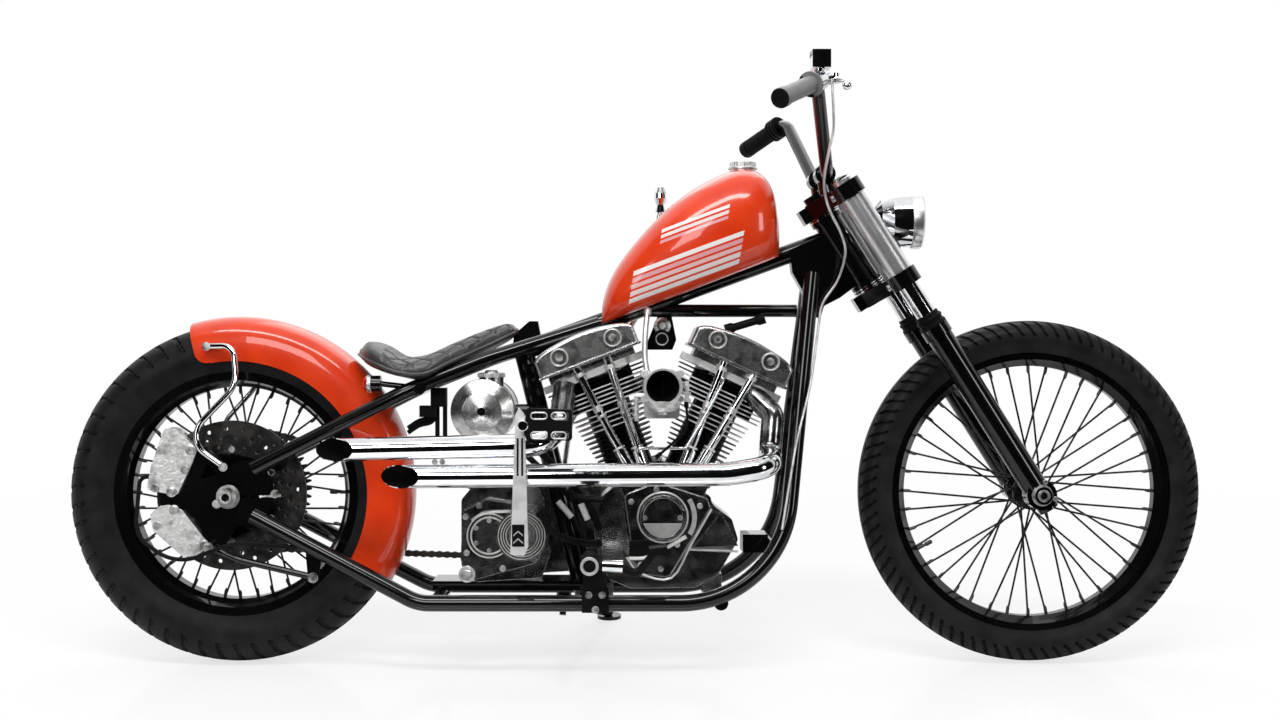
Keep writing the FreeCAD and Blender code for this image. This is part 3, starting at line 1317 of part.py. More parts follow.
OIL_TANK = (489.0, 500.0, 62.0)
OIL_TANK_HALF = 92.0
OIL_TANK_DOME = 20.0
OIL_CAP = (505.0, 24.0, 568.0)


def oil_tank():
    """Tank lying across the frame, with domed ends and a filler."""
    x, z, r = OIL_TANK
    end = OIL_TANK_HALF + OIL_TANK_DOME
    half = [(0, end), (r * DOME_SHARES[0], end - OIL_TANK_DOME * DOME_SHARES[1]), (r, OIL_TANK_HALF)]
    profile = [(0, -end), (r * DOME_SHARES[0], -end + OIL_TANK_DOME * DOME_SHARES[1]), (r, -OIL_TANK_HALF)]
    body = turned_across(profile + list(reversed(half)), x, z)
    cx, cr, top = OIL_CAP
    neck = rod(V(cx, OIL_CAP_Y, z), V(cx, OIL_CAP_Y, top), cr)
    return fuse(body, neck)


DOME_SHARES = (0.62, 0.3)
OIL_CAP_Y = -66.0


def oil_tank_arm():
    """Arm from the seat post that the oil tank is bolted to."""
    x, z, r = OIL_TANK
    return rod(V(x + r - OIL_ARM_R, 0, z), V(SEATPOST_TOP[0] + OIL_ARM_RUN, 0, z), OIL_ARM_R)


OIL_ARM_RUN = 28.0
OIL_ARM_R = 12.0


# Exhaust

def exhaust(points, bends):
    """Drag pipe: bent tube, open and cut slantwise at the tail."""
    outside = bent_tube(points, bends, PIPE_R)
    tail = points[0]
    ahead = (points[1] - tail).normalize()
    hollow = rod(tail, tail + ahead * PIPE_OPEN, PIPE_R - PIPE_WALL)
    top = tail.z + 2 * PIPE_R
    wedge = polygon([V(tail.x, PIPE_Y - 2 * PIPE_R, top), V(tail.x + SLASH_RUN, PIPE_Y - PIPE_R - TOUCH, top),
                     V(tail.x, PIPE_Y + PIPE_R + TOUCH, top)]).extrude(V(0, 0, -4 * PIPE_R))
    return outside.cut(hollow).cut(wedge)


PIPE_OPEN = 210.0
SLASH_RUN = 76.0
EXHAUST_REAR = ((179.0, PIPE_Y, 430.0), (600.0, PIPE_Y, 440.0), (672.0, -178.0, 520.0), (640.0, -60.0, 568.0))
EXHAUST_REAR_BENDS = (70.0, 70.0)
EXHAUST_FRONT = ((303.0, PIPE_Y, 380.0), (985.0, PIPE_Y, 385.0), (1062.0, -178.0, 420.0), (1075.0, -120.0, 475.0),
                 (1000.0, -40.0, 540.0))
EXHAUST_FRONT_BENDS = (80.0, 40.0, 42.0)


def exhaust_rear():
    return exhaust([V(*p) for p in EXHAUST_REAR], EXHAUST_REAR_BENDS)


def exhaust_front():
    return exhaust([V(*p) for p in EXHAUST_FRONT], EXHAUST_FRONT_BENDS)


PIPE_BRACKET = ((400.0, 402.5), (400.0, 415.0), (430.0, 415.0), (430.0, 402.5))
PIPE_BRACKET_Y = (-206.0, -194.0)
PIPE_STAY = ((415.0, 412.0), (440.0, 300.0))


def exhaust_pipes():
    """Both pipes and the bracket that joins them and hangs them from the gearbox."""
    pipes = [exhaust_rear(), exhaust_front()]
    return pipes + [pipe_bracket().cut(pipes)]


def pipe_bracket():
    """Plate between the two pipes and the rod that carries it from the gearbox."""
    link = plate(PIPE_BRACKET, PIPE_BRACKET_Y[0], PIPE_BRACKET_Y[1])
    x, z = PIPE_STAY[0]
    gx, gz = PIPE_STAY[1]
    stay = rod(V(x, PIPE_BRACKET_Y[1] - TOUCH, z), V(gx + PIPE_STAY_RUN, GEARBOX_Y[0] + PIPE_STAY_RUN, gz), PIPE_STAY_R)
    return fuse(link, stay)


PIPE_STAY_RUN = 14.0
PIPE_STAY_R = 7.0


# Brakes

UPPER_CALIPER = ((-124.0, 133.0), (-102.0, 131.0), (-60.0, 92.0), (-74.0, 56.0), (-100.0, 2.0), (-159.0, 13.0),
                 (-150.0, 60.0))
LOWER_CALIPER = ((-152.0, -34.0), (-132.0, -18.0), (-116.0, -16.0), (-90.0, -26.0), (-37.0, -94.0), (-62.0, -114.0),
                 (-88.0, -117.0), (-146.0, -66.0))
CALIPER_BEND = 9.0
CALIPER_Y = (DISC_Y - CALIPER_HALF, DISC_Y + CALIPER_HALF)


def caliper(outline):
    """Caliper body astride the disc, with a slot that clears the rotor."""
    body = plate(at_axle(outline), CALIPER_Y[0], CALIPER_Y[1], CALIPER_BEND)
    slot = disc(0, REAR_R, DISC_Y - DISC_T / 2 - CALIPER_SLOT, DISC_Y + DISC_T / 2 + CALIPER_SLOT,
                DISC_R + CALIPER_SLOT)
    wheel = disc(0, REAR_R, -REAR_TYRE_HALF - CALIPER_SLOT, REAR_TYRE_HALF, REAR_R + CALIPER_SLOT)
    return body.cut(slot).cut(wheel)


def brake_calipers():
    """The two calipers, one above and one below the axle."""
    return [caliper(UPPER_CALIPER), caliper(LOWER_CALIPER)]


BRACKET_OUTLINE = ((-133.0, 8.0), (-96.0, 6.0), (-84.0, 22.0), (-66.0, 92.0), (-42.0, 96.0), (-4.0, 58.0),
                   (34.0, 42.0), (40.0, -30.0), (18.0, -54.0), (-8.0, -99.0), (-44.0, -96.0), (-58.0, -54.0),
                   (-84.0, -26.0), (-133.0, -26.0))
BRACKET_WINDOW = ((-56.0, 34.0), (-44.0, 64.0), (-22.0, 42.0))
BRACKET_Y = (PLATE_Y - PLATE_T / 2, 7.0)
BRACKET_BEND = 4.0


def caliper_bracket():
    """Plate on the axle that carries both calipers, inboard of the axle plate."""
    far = -BRACKET_Y[0]
    solid = plate(at_axle(BRACKET_OUTLINE), far, far + BRACKET_Y[1], BRACKET_BEND)
    solid = solid.cut(plate(at_axle(BRACKET_WINDOW), far, far + BRACKET_Y[1]))
    slot = disc(0, REAR_R, DISC_Y - DISC_T / 2 - CALIPER_SLOT, DISC_Y + DISC_T, DISC_R + CALIPER_SLOT)
    return solid.cut(slot)


ANCHOR = ((-36.0, -97.0), (24.0, -122.0), (166.0, -155.0))
ANCHOR_BENDS = (120.0,)
ANCHOR_Y = -126.0
ANCHOR_R = 6.5
ANCHOR_EYE_R = 10.0
ANCHOR_EYE_HALF = 8.0
ANCHOR_LUG = ((-15.0, 52.0), (15.0, 52.0), (10.0, -10.0), (-10.0, -10.0))
ANCHOR_LUG_T = 9.0


def caliper_carrier():
    """Caliper bracket and the rod that holds it from turning."""
    return fuse(caliper_bracket(), anchor_rod())


def anchor_rod():
    """Bent rod from the bracket's heel to a lug welded under the right rail, with an eye at each end."""
    points = [V(x, ANCHOR_Y, z) for x, z in at_axle(ANCHOR)]
    tail, head = points[0], points[-1]
    lug = plate([(head.x + x, head.z + z) for x, z in ANCHOR_LUG], ANCHOR_Y - ANCHOR_LUG_T / 2,
                ANCHOR_Y + ANCHOR_LUG_T / 2)
    eyes = [disc(tail.x, tail.z, ANCHOR_Y - ANCHOR_EYE_HALF, -BRACKET_Y[0] + TOUCH, ANCHOR_EYE_R),
            disc(head.x, head.z, ANCHOR_Y - ANCHOR_EYE_HALF, ANCHOR_Y + ANCHOR_EYE_HALF, ANCHOR_EYE_R)]
    return fuse(bent_tube(points, ANCHOR_BENDS, ANCHOR_R), lug, *eyes)


# Hose from the clip on the lower rail to the upper caliper's union, and its bends
HOSE = ((150.0, -120.0, 236.0), (20.0, -146.0, 252.0), (-95.0, -146.0, 206.0), (-178.0, -130.0, 262.0),
        (-176.0, -100.0, 372.0), (-148.0, -98.0, 374.0))
HOSE_BENDS = (120.0, 90.0, 60.0, 14.0)
HOSE_R = 4.0


def brake_hose():
    """Hydraulic hose with a crimped ferrule at each end."""
    points = [V(*point) for point in HOSE]
    ferrules = [rod(end, end + (towards - end).normalize() * HOSE_FERRULE, HOSE_R + HOSE_FERRULE_LIP)
                for end, towards in ((points[0], points[1]), (points[-1], points[-2]))]
    return fuse(bent_tube(points, HOSE_BENDS, HOSE_R), *ferrules)


HOSE_FERRULE = 12.0
HOSE_FERRULE_LIP = 2.0


# Small fittings

TAIL_LAMP = (293.0, 554.0, 16.0, 26.0)


def tail_lamp():
    """Round lens and cup under the seat's tail, on a stem from the cross tube."""
    x, z, r, depth = TAIL_LAMP
    tip = V(x - depth, TAIL_LAMP_Y, z)
    cup = rod(tip, V(x, TAIL_LAMP_Y, z), r)
    stem = rod(V(x - TOUCH, TAIL_LAMP_Y, z), V(FENDER_CROSS[0], TAIL_LAMP_Y, FENDER_CROSS[1]), LEVER_R)
    return fuse(cup, stem)


TAIL_LAMP_Y = -104.0

PEG = (701.0, 225.0, 17.0)
PEG_Y = (215.0, 318.0)
PEG_BRACKET = ((684.0, 117.0), (684.0, 156.0), (692.0, 240.0), (712.0, 240.0), (736.0, 156.0), (736.0, 117.0))
PEG_BRACKET_Y = (RAIL_Y - 4.0, RAIL_Y + 24.0)
LEFT_PEG_BRACKET_Y = (RAIL_Y + 6.0, PRIMARY_Y[1] + 14.0)


def foot_peg(side):
    """Clamp on the lower rail, an arm out to the side and a rubber peg."""
    x, z, r = PEG
    near, far = LEFT_PEG_BRACKET_Y if side > 0 else PEG_BRACKET_Y
    bracket = plate(PEG_BRACKET, *sorted((side * near, side * far)))
    arm = disc(x, z, side * near, side * PEG_Y[0], PEG_ARM_R)
    return fuse(bracket, arm, disc(x, z, side * PEG_Y[0], side * PEG_Y[1], r))


PEG_ARM_R = 9.0

BRAKE_PEDAL = ((706.0, 212.0), (764.0, 206.0), (790.0, 196.0), (826.0, 240.0))
BRAKE_PEDAL_Y = -196.0
PEDAL_R = 8.0
PEDAL_PAD = ((818.0, 232.0), (812.0, 246.0), (846.0, 250.0), (848.0, 238.0))


def brake_pedal():
    """Bent lever on the peg arm, with a flat pad."""
    lever = bent_tube([V(x, BRAKE_PEDAL_Y, z) for x, z in BRAKE_PEDAL], (20.0, 16.0), PEDAL_R)
    pad = plate(PEDAL_PAD, BRAKE_PEDAL_Y - PEDAL_PAD_HALF, BRAKE_PEDAL_Y + PEDAL_PAD_HALF)
    return fuse(lever, pad)


PEDAL_PAD_HALF = 26.0


def foot_controls():
    """Pegs on both sides, each with the lever that pivots on its arm."""
    right, left = foot_peg(-1), foot_peg(1)
    return [fuse(right, brake_pedal()), fuse(left, mirrored(brake_pedal()))]


REGULATOR = ((1000.0, 219.0), (1000.0, 255.0), (1050.0, 255.0), (1050.0, 219.0))
REGULATOR_HALF = 42.0


def regulator():
    """Finned block ahead of the engine."""
    block = plate(REGULATOR, -REGULATOR_HALF, REGULATOR_HALF)
    (x, low), (_, high) = REGULATOR[0], REGULATOR[1]
    step = 2 * REGULATOR_HALF / REGULATOR_FINS
    slots = [plate([(x, low), (x, high), (x + REGULATOR_SLOT[1], high), (x + REGULATOR_SLOT[1], low)],
                   -REGULATOR_HALF + (n + 1) * step - REGULATOR_SLOT[0], -REGULATOR_HALF + (n + 1) * step)
             for n in range(REGULATOR_FINS - 1)]
    return block.cut(slots)


REGULATOR_FINS = 10
REGULATOR_SLOT = (4.5, 14.0)


MOTOR_MOUNT = ((806.0, 620.0), (838.0, 700.0), (858.0, 700.0), (870.0, 640.0), (862.0, 620.0))
MOTOR_MOUNT_HALF = 8.0


def top_motor_mount():
    """Bracket from the backbone down to the manifold between the heads."""
    return plate(MOTOR_MOUNT, -MOTOR_MOUNT_HALF, MOTOR_MOUNT_HALF)


# Side stand

def ground_height(y):
    """Height of the ground beside the leaning machine, in its own upright frame."""
    return (lowest() + y * math.sin(rad(LEAN))) / math.cos(rad(LEAN))


def lowest():
    """How far the leaned tyres reach down, measured from the line they would touch upright."""
    reach = []
    for radius, flange, half in ((REAR_R, REAR_FLANGE_R, REAR_TYRE_HALF), (FRONT_R, FRONT_FLANGE_R, FRONT_TYRE_HALF)):
        for share, width in TYRE_SHARES:
            r, y = flange + share * (radius - flange), width * half
            reach.append(-y * math.sin(rad(LEAN)) + (radius - r) * math.cos(rad(LEAN)))
    return min(reach)


def stand_points():
    pivot = V(STAND_X, STAND_PIVOT_Y, STAND_PIVOT_Z)
    foot = V(STAND_FOOT_X, STAND_FOOT_Y, ground_height(STAND_FOOT_Y))
    return pivot, foot


STAND_FOLDED = V(-0.985, 0.12, 0.02)


def stand_axis():
    """Hinge direction that swings the leg from its foot's place back along the frame."""
    pivot, foot = stand_points()
    return (foot - pivot).cross(STAND_FOLDED).normalize()


def side_stand():
    """Leg, eye on the hinge pin and flat foot."""
    pivot, foot = stand_points()
    axis = stand_axis()
    up = V(0, -math.sin(rad(LEAN)), math.cos(rad(LEAN)))
    eye = rod(pivot - axis * STAND_EYE_HALF, pivot + axis * STAND_EYE_HALF, STAND_EYE_R)
    leg = rod(pivot, foot + up * (STAND_PAD_T + STAND_LEG_RISE), STAND_LEG_R)
    pad = rod(foot, foot + up * STAND_PAD_T, STAND_PAD_R)
    return fuse(eye, leg, pad).cut(rod(pivot - axis * STAND_EYE_R, pivot + axis * STAND_EYE_R, STAND_PIN_R + RUN_GAP))


STAND_LEG_RISE = 6.0
STAND_EYE_HALF = 11.0
STAND_EYE_R = 16.0


def stand_bracket():
    """Fork on the left rail that holds the stand's pin."""
    pivot, _ = stand_points()
    axis = stand_axis()
    gap = STAND_EYE_HALF + STAND_SIDE_GAP
    pin = rod(pivot - axis * (gap + STAND_CHEEK_T), pivot + axis * (gap + STAND_CHEEK_T), STAND_PIN_R)
    cheek = rod(pivot + axis * gap, pivot + axis * (gap + STAND_CHEEK_T), STAND_EYE_R)
    arm = rod(pivot + axis * (gap + STAND_CHEEK_T), V(STAND_X, RAIL_Y, RAIL_Z), STAND_ARM_R)
    return fuse(pin, cheek, arm)


STAND_SIDE_GAP = 1.0
STAND_CHEEK_T = 14.0
STAND_ARM_R = 12.0


# Assembly: pieces in one body give way to those named before them
CHASSIS = (
    ("rear_axle", rear_axle), ("axle_plates", lambda: [axle_plate(-1), axle_plate(1)]),
    ("frame_rail_right", lambda: frame_rail(-1)), ("frame_rail_left", lambda: fuse(frame_rail(1), stand_bracket())),
    ("frame_spine", frame_spine), ("frame_stays", lambda: [frame_stay(-1), frame_stay(1)]),
    ("crossmembers", crossmembers), ("gearbox", gearbox), ("crankcase", crankcase),
    ("cylinders", lambda: [cylinder(REAR_CYL_TILT), cylinder(FRONT_CYL_TILT)]),
    ("cylinder_heads", lambda: [cylinder_head(REAR_CYL_TILT), cylinder_head(FRONT_CYL_TILT)]),
    ("rocker_boxes", lambda: [rocker_box(REAR_CYL_TILT), rocker_box(FRONT_CYL_TILT)]),
    ("cam_cover", cam_cover), ("pushrod_tubes", pushrod_tubes), ("carburettor", carburettor),
    ("primary_cover", primary_cover), ("kick_starter", kick_starter), ("drive_chain", chain),
    ("oil_tank", oil_tank), ("fuel_cap", fuel_cap), ("fuel_tank", fuel_tank), ("rear_fender", rear_fender),
    ("seat", seat), ("fender_struts", lambda: [fender_strut(-1), fender_strut(1)]),
    ("caliper_carrier", caliper_carrier), ("brake_calipers", brake_calipers), ("exhaust_pipes", exhaust_pipes),
    ("tail_lamp", tail_lamp), ("foot_controls", foot_controls), ("regulator", regulator),
    ("hand_shifter", hand_shifter), ("brake_hose", brake_hose),
)
STEERING = (
    ("front_axle", front_axle), ("fork_tubes", lambda: [fork_tube(-1), fork_tube(1)]),
    ("fork_sliders", lambda: [fork_slider(-1), fork_slider(1)]), ("handlebar", handlebar),
    ("fork_bridge_lower", fork_bridge_lower), ("fork_bridge_upper", fork_bridge_upper),
    ("grips", lambda: [grip(-1), grip(1)]), ("hand_lever", hand_lever),
    ("headlight", headlight),
)
REAR_WHEEL = (("rear_rim", rear_rim), ("rear_tyre", rear_tyre), ("rear_hub_spokes", rear_hub_spokes),
              ("brake_disc", brake_disc), ("rear_sprocket", rear_sprocket))
FRONT_WHEEL = (("front_rim", front_rim), ("front_tyre", front_tyre), ("front_hub_spokes", front_hub_spokes))
SIDE_STAND = (("side_stand", side_stand),)
BODIES = {"chassis": CHASSIS, "steering": STEERING, "rear_wheel": REAR_WHEEL, "front_wheel": FRONT_WHEEL,
          "side_stand": SIDE_STAND}
SLIVER = 1.0
CRUMB = 2000.0


def as_compound(made):
    return Part.makeCompound(made) if isinstance(made, list) else made


def build_body(pieces):
    """Make each piece and cope it on the earlier ones that it runs into."""
    done = []
    for name, make in pieces:
        shape = as_compound(make())
        box = shape.BoundBox
        near = [other for _, other in done if box.intersect(other.BoundBox)]
        near = [other for other in near if shape.common(other).Volume > SLIVER]
        if near:
            shape = shape.cut(near)
        solids = [solid for solid in shape.Solids if solid.Volume > CRUMB]
        done.append((name, Part.makeCompound(solids) if len(solids) > 1 else solids[0]))
    return done


def main():
    made = [piece for pieces in BODIES.values() for piece in build_body(pieces)]
    whole = Part.makeCompound([shape for _, shape in made])
    whole.rotate(V(0, 0, 0), V(1, 0, 0), -LEAN)
    whole.tessellate(1.0)
    box = whole.optimalBoundingBox()
    shift = V(-(box.XMin + box.XMax) / 2, -(box.YMin + box.YMax) / 2, -box.ZMin)
    os.makedirs(OUT, exist_ok=True)
    for name, shape in made:
        placed = shape.copy()
        placed.rotate(V(0, 0, 0), V(1, 0, 0), -LEAN)
        placed.translate(shift)
        placed.exportStep(os.path.join(OUT, name + ".step"))


main()
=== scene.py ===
"""Chopper motorcycle, dressed for a pale studio.

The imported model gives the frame, and this script gives it its finishes and
the pieces that are too fine or too soft for the solids. All sizes are in
millimetres in the machine's own upright frame: X forward from the rear axle,
Y to the rider's left, Z up from the ground. One matrix, worked out from the
rear wheel's joint, leans that frame on to the side stand.
"""
import json
import logging
import math
from dataclasses import dataclass, field
from enum import Enum
from typing import Callable, Optional, Sequence, Union

import bmesh
import bpy
from mathutils import Matrix, Vector

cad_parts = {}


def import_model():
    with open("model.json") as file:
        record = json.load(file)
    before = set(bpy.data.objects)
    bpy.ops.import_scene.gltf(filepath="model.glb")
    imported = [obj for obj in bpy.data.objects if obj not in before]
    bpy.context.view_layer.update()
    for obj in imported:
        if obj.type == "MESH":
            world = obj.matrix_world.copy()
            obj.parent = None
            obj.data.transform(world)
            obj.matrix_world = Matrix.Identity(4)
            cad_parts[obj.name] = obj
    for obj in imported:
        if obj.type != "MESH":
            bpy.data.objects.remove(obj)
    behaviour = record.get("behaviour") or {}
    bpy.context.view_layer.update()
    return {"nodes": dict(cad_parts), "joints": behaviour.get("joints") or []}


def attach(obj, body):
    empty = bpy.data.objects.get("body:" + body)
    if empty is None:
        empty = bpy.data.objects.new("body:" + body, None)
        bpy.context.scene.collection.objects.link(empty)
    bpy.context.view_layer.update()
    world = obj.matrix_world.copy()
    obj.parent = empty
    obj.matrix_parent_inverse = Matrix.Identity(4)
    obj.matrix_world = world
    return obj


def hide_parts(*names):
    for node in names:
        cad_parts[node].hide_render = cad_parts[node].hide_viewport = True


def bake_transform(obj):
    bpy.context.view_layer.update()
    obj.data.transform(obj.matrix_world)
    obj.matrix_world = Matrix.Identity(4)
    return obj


LOG = logging.getLogger("chopper")
MM = 0.001
TURN = 2 * math.pi
FULL_SEGMENTS = 96
FINE_SEGMENTS = 32
BOLT_SIDES = 6
PAINTED_SHADE = "hide_shade"
TRIM_CREASE = 30
ROUND_CREASE = 60

Place = tuple[float, float, float]
Flat = tuple[float, float]
Places = tuple[Place, ...]
Flats = tuple[Flat, ...]
Triples = tuple[tuple[float, float, float], ...]
Socket = bpy.types.NodeSocket
Material = bpy.types.Material
Input = Union[Socket, float, Sequence[float]]

REAR_AXLE = Vector((0, 0, 336))
FRONT_AXLE = Vector((1572, 0, 339))
RAKE = math.radians(32.2)
FORK_UP = Vector((-math.sin(RAKE), 0, math.cos(RAKE)))
FORK_OUT = Vector((math.cos(RAKE), 0, math.sin(RAKE)))
STEER_OFFSET = 51
FORK_HALF = 105
SLIDER_FACE = 127
BAR_CLAMP_Y = 62
CRANK = Vector((831, 0, 250))
TILTS: Flat = (-20.8, 24.7)

ACROSS = Vector((0, 1, 0))
RIGHT: Place = (0, -1, 0)
LEFT: Place = (0, 1, 0)
AHEAD: Place = (1, 0, 0)
BEHIND: Place = (-1, 0, 0)
UP: Place = (0, 0, 1)
DOWN: Place = (0, 0, -1)
SIDES: Flat = (-1, 1)


def vectors(places: Sequence[Place]) -> list[Vector]:
    """Turn places to vectors."""
    return [Vector(place) for place in places]


def rectangle(low: Flat, high: Flat, y: float) -> list[Vector]:
    """Outline a rectangle that faces across the machine.

    Args:
        low: X and z of its lower rear corner.
        high: X and z of the corner across from it.
        y: Place across.

    Returns:
        Its four corners, in order.
    """
    return vectors([(low[0], y, low[1]), (low[0], y, high[1]), (high[0], y, high[1]), (high[0], y, low[1])])


def linear(hex_colour: str, alpha: float = 1) -> tuple[float, float, float, float]:
    """Turn an sRGB hex colour to the linear values that shaders take.

    Args:
        hex_colour: Colour such as "#E8401C".
        alpha: Opacity.

    Returns:
        Linear red, green and blue with alpha.
    """
    channels = [int(hex_colour[i:i + 2], 16) / 255 for i in (1, 3, 5)]
    # The sRGB curve: a straight toe and a power above it
    toe, slope, lift, power = 0.04045, 12.92, 0.055, 2.4
    values = [c / slope if c <= toe else ((c + lift) / (1 + lift)) ** power for c in channels]
    return values[0], values[1], values[2], alpha


def fork_point(s: float, y: float, out: float = STEER_OFFSET) -> Vector:
    """Find a point on the fork.

    Args:
        s: Height along the fork from the axle, in mm.
        y: Place across, in mm.
        out: Distance ahead of the steering axis, in mm.

    Returns:
        The point in the upright frame.
    """
    base = FRONT_AXLE - FORK_OUT * STEER_OFFSET
    return base + FORK_UP * s + FORK_OUT * out + Vector((0, y, 0))


@dataclass(frozen=True)
class Stance:
    """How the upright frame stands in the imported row."""

    to_row: Matrix
    lean: float

    @classmethod
    def from_joints(cls, joints: Sequence[dict]) -> "Stance":
        """Work out the stance from the rear wheel's joint.

        Args:
            joints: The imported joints.

        Returns:
            The stance with its matrix from upright millimetres to row metres.
        """
        hub = next(j for j in joints if j["name"] == "rear_wheel_spin")
        _, across, drop = hub["axis"]
        lean = math.atan2(-drop, across)
        turn = Matrix.Rotation(-lean, 4, "X")
        scale = Matrix.Scale(MM, 4)
        centre = turn @ (REAR_AXLE * MM)
        shift = Matrix.Translation(Vector(hub["pos_m"]) - centre)
        return cls(to_row=shift @ turn @ scale, lean=lean)

    def point(self, place: Vector) -> Vector:
        """Give a point of the upright frame in row metres."""
        return self.to_row @ place


class Links:
    """Node tree of one material, with one small way to add a node."""

    def __init__(self, name: str) -> None:
        """Start an empty surface tree.

        Args:
            name: Name of the material.
        """
        self.material = bpy.data.materials.new(name)
        self.material.use_nodes = True
        self.tree = self.material.node_tree
        self.tree.nodes.clear()
        self.output = self.tree.nodes.new("ShaderNodeOutputMaterial")

    @classmethod
    def of_world(cls, world: bpy.types.World) -> "Links":
        """Take over a world's tree, emptied, with its output."""
        links = cls.__new__(cls)
        links.material = None
        world.use_nodes = True
        links.tree = world.node_tree
        links.tree.nodes.clear()
        links.output = links.tree.nodes.new("ShaderNodeOutputWorld")
        return links

    def add(self, kind: str, inputs: Optional[dict] = None, **settings) -> bpy.types.Node:
        """Add a node.

        Args:
            kind: Type name of the node.
            inputs: Socket names or numbers with a value, or an output socket to link.
            **settings: Properties of the node.

        Returns:
            The new node.
        """
        node = self.tree.nodes.new(kind)
        for key, value in settings.items():
            setattr(node, key, value)
        for key, value in (inputs or {}).items():
            if isinstance(value, Socket):
                self.tree.links.new(value, node.inputs[key])
            else:
                node.inputs[key].default_value = value
        return node

    def surface(self, shader: bpy.types.Node) -> Optional[Material]:
        """Link a shader to the output and return the material, if there is one."""
        self.tree.links.new(shader.outputs[0], self.output.inputs["Surface"])
        return self.material

    def place(self) -> Socket:
        """Give the object coordinates, in metres."""
        return self.add("ShaderNodeTexCoord").outputs["Object"]

    def noise(self, size_mm: float, detail: float = 3) -> Socket:
        """Give a noise value with features about size_mm wide."""
        node = self.add("ShaderNodeTexNoise", {"Vector": self.place(), "Scale": 1 / (size_mm * MM),
                                               "Detail": detail})
        return node.outputs["Fac"]

    def ramp(self, value: Socket, low: float, high: float, out_low: float = 0,
             out_high: float = 1) -> Socket:
        """Map a value's range low to high on to out_low to out_high, clamped."""
        node = self.add("ShaderNodeMapRange", {"Value": value, "From Min": low, "From Max": high,
                                               "To Min": out_low, "To Max": out_high})
        return node.outputs["Result"]

    def blend(self, amount: Socket, first: Input, second: Input) -> Socket:
        """Mix two colours by an amount.

        Args:
            amount: Share of the second, from 0 to 1.
            first: Colour, or the socket that gives it.
            second: Colour, or the socket that gives it.

        Returns:
            The mixed colour.
        """
        node = self.add("ShaderNodeMix", data_type="RGBA")
        self.tree.links.new(amount, node.inputs["Factor"])
        for name, value in (("A", first), ("B", second)):
            socket = [s for s in node.inputs if s.name == name and s.type == "RGBA"][0]
            if isinstance(value, Socket):
                self.tree.links.new(value, socket)
            else:
                socket.default_value = value
        return [s for s in node.outputs if s.type == "RGBA"][0]

    def math(self, operation: str, first: Input, second: Input) -> Socket:
        """Work out a sum, product, larger value or the like of two values."""
        return self.add("ShaderNodeMath", {0: first, 1: second}, operation=operation).outputs[0]

    def measure(self, direction: Vector, offset: float) -> Socket:
        """Measure object coordinates along a direction, less an offset."""
        ends = {0: self.place(), 1: tuple(direction)}
        along = self.add("ShaderNodeVectorMath", ends, operation="DOT_PRODUCT")
        return self.math("SUBTRACT", along.outputs["Value"], offset)

    def bands(self, value: Socket, stops: Sequence[tuple[float, str, float]]) -> bpy.types.Node:
        """Colour a value in flat bands.

        Args:
            value: Value from 0 to 1.
            stops: Start, colour and opacity of each band.

        Returns:
            The node, which gives the colour and its opacity.
        """
        node = self.add("ShaderNodeValToRGB", {"Fac": value})
        ramp = node.color_ramp
        ramp.interpolation = "CONSTANT"
        for index, (place, colour, alpha) in enumerate(stops):
            stop = ramp.elements[index] if index < 2 else ramp.elements.new(place)
            stop.position = place
            stop.color = linear(colour, alpha)
        return node

    def rounded(self, radius_mm: float) -> Socket:
        """Give a normal that rounds hard edges by a radius, as a casting or a filed edge has."""
        return self.add("ShaderNodeBevel", {"Radius": radius_mm * MM}, samples=4).outputs["Normal"]

    def bump(self, height: Socket, depth_mm: float, strength: float = 1,
             under: Optional[Socket] = None) -> Socket:
        """Turn a height from 0 to 1 to a bump depth_mm deep."""
        inputs = {"Height": height, "Distance": depth_mm * MM, "Strength": strength}
        if under is not None:
            inputs["Normal"] = under
        return self.add("ShaderNodeBump", inputs).outputs["Normal"]


@dataclass(frozen=True)
class GlossEnamel:
    """Sprayed two-pack enamel under clear lacquer.

    The colour coat is smooth and saturated and the lacquer over it gives
    sharp reflections with a faint orange peel.
    """

    name: str
    colour: str
    deep: str
    roughness: float = 0.28
    peel_mm: float = 9
    lacquer: float = 0.75
    gleam: float = 0.2
    cloud_mm: float = 70
    peel_depth_mm: float = 0.035
    lacquer_roughness: float = 0.04
    lacquer_ior: float = 1.45

    def coat(self, links: Links) -> Socket:
        """Give the colour coat, which is a little deeper where the spray lay thicker."""
        cloud = links.ramp(links.noise(self.cloud_mm), 0.35, 0.7)
        return links.blend(cloud, linear(self.colour), linear(self.deep))

    def lacquered(self, links: Links, colour: Socket) -> Material:
        """Lay the lacquer with its peel over a colour.

        Args:
            links: Tree of the material.
            colour: Colour of the coat below.

        Returns:
            The material.
        """
        normal = links.bump(links.noise(self.peel_mm, 1), self.peel_depth_mm)
        shader = links.add("ShaderNodeBsdfPrincipled", {
            "Base Color": colour, "Roughness": self.roughness, "Specular IOR Level": self.gleam,
            "Coat Weight": self.lacquer, "Coat Roughness": self.lacquer_roughness,
            "Coat IOR": self.lacquer_ior, "Normal": normal, "Coat Normal": normal})
        return links.surface(shader)

    def build(self) -> Material:
        """Make the material."""
        links = Links(self.name)
        return self.lacquered(links, self.coat(links))


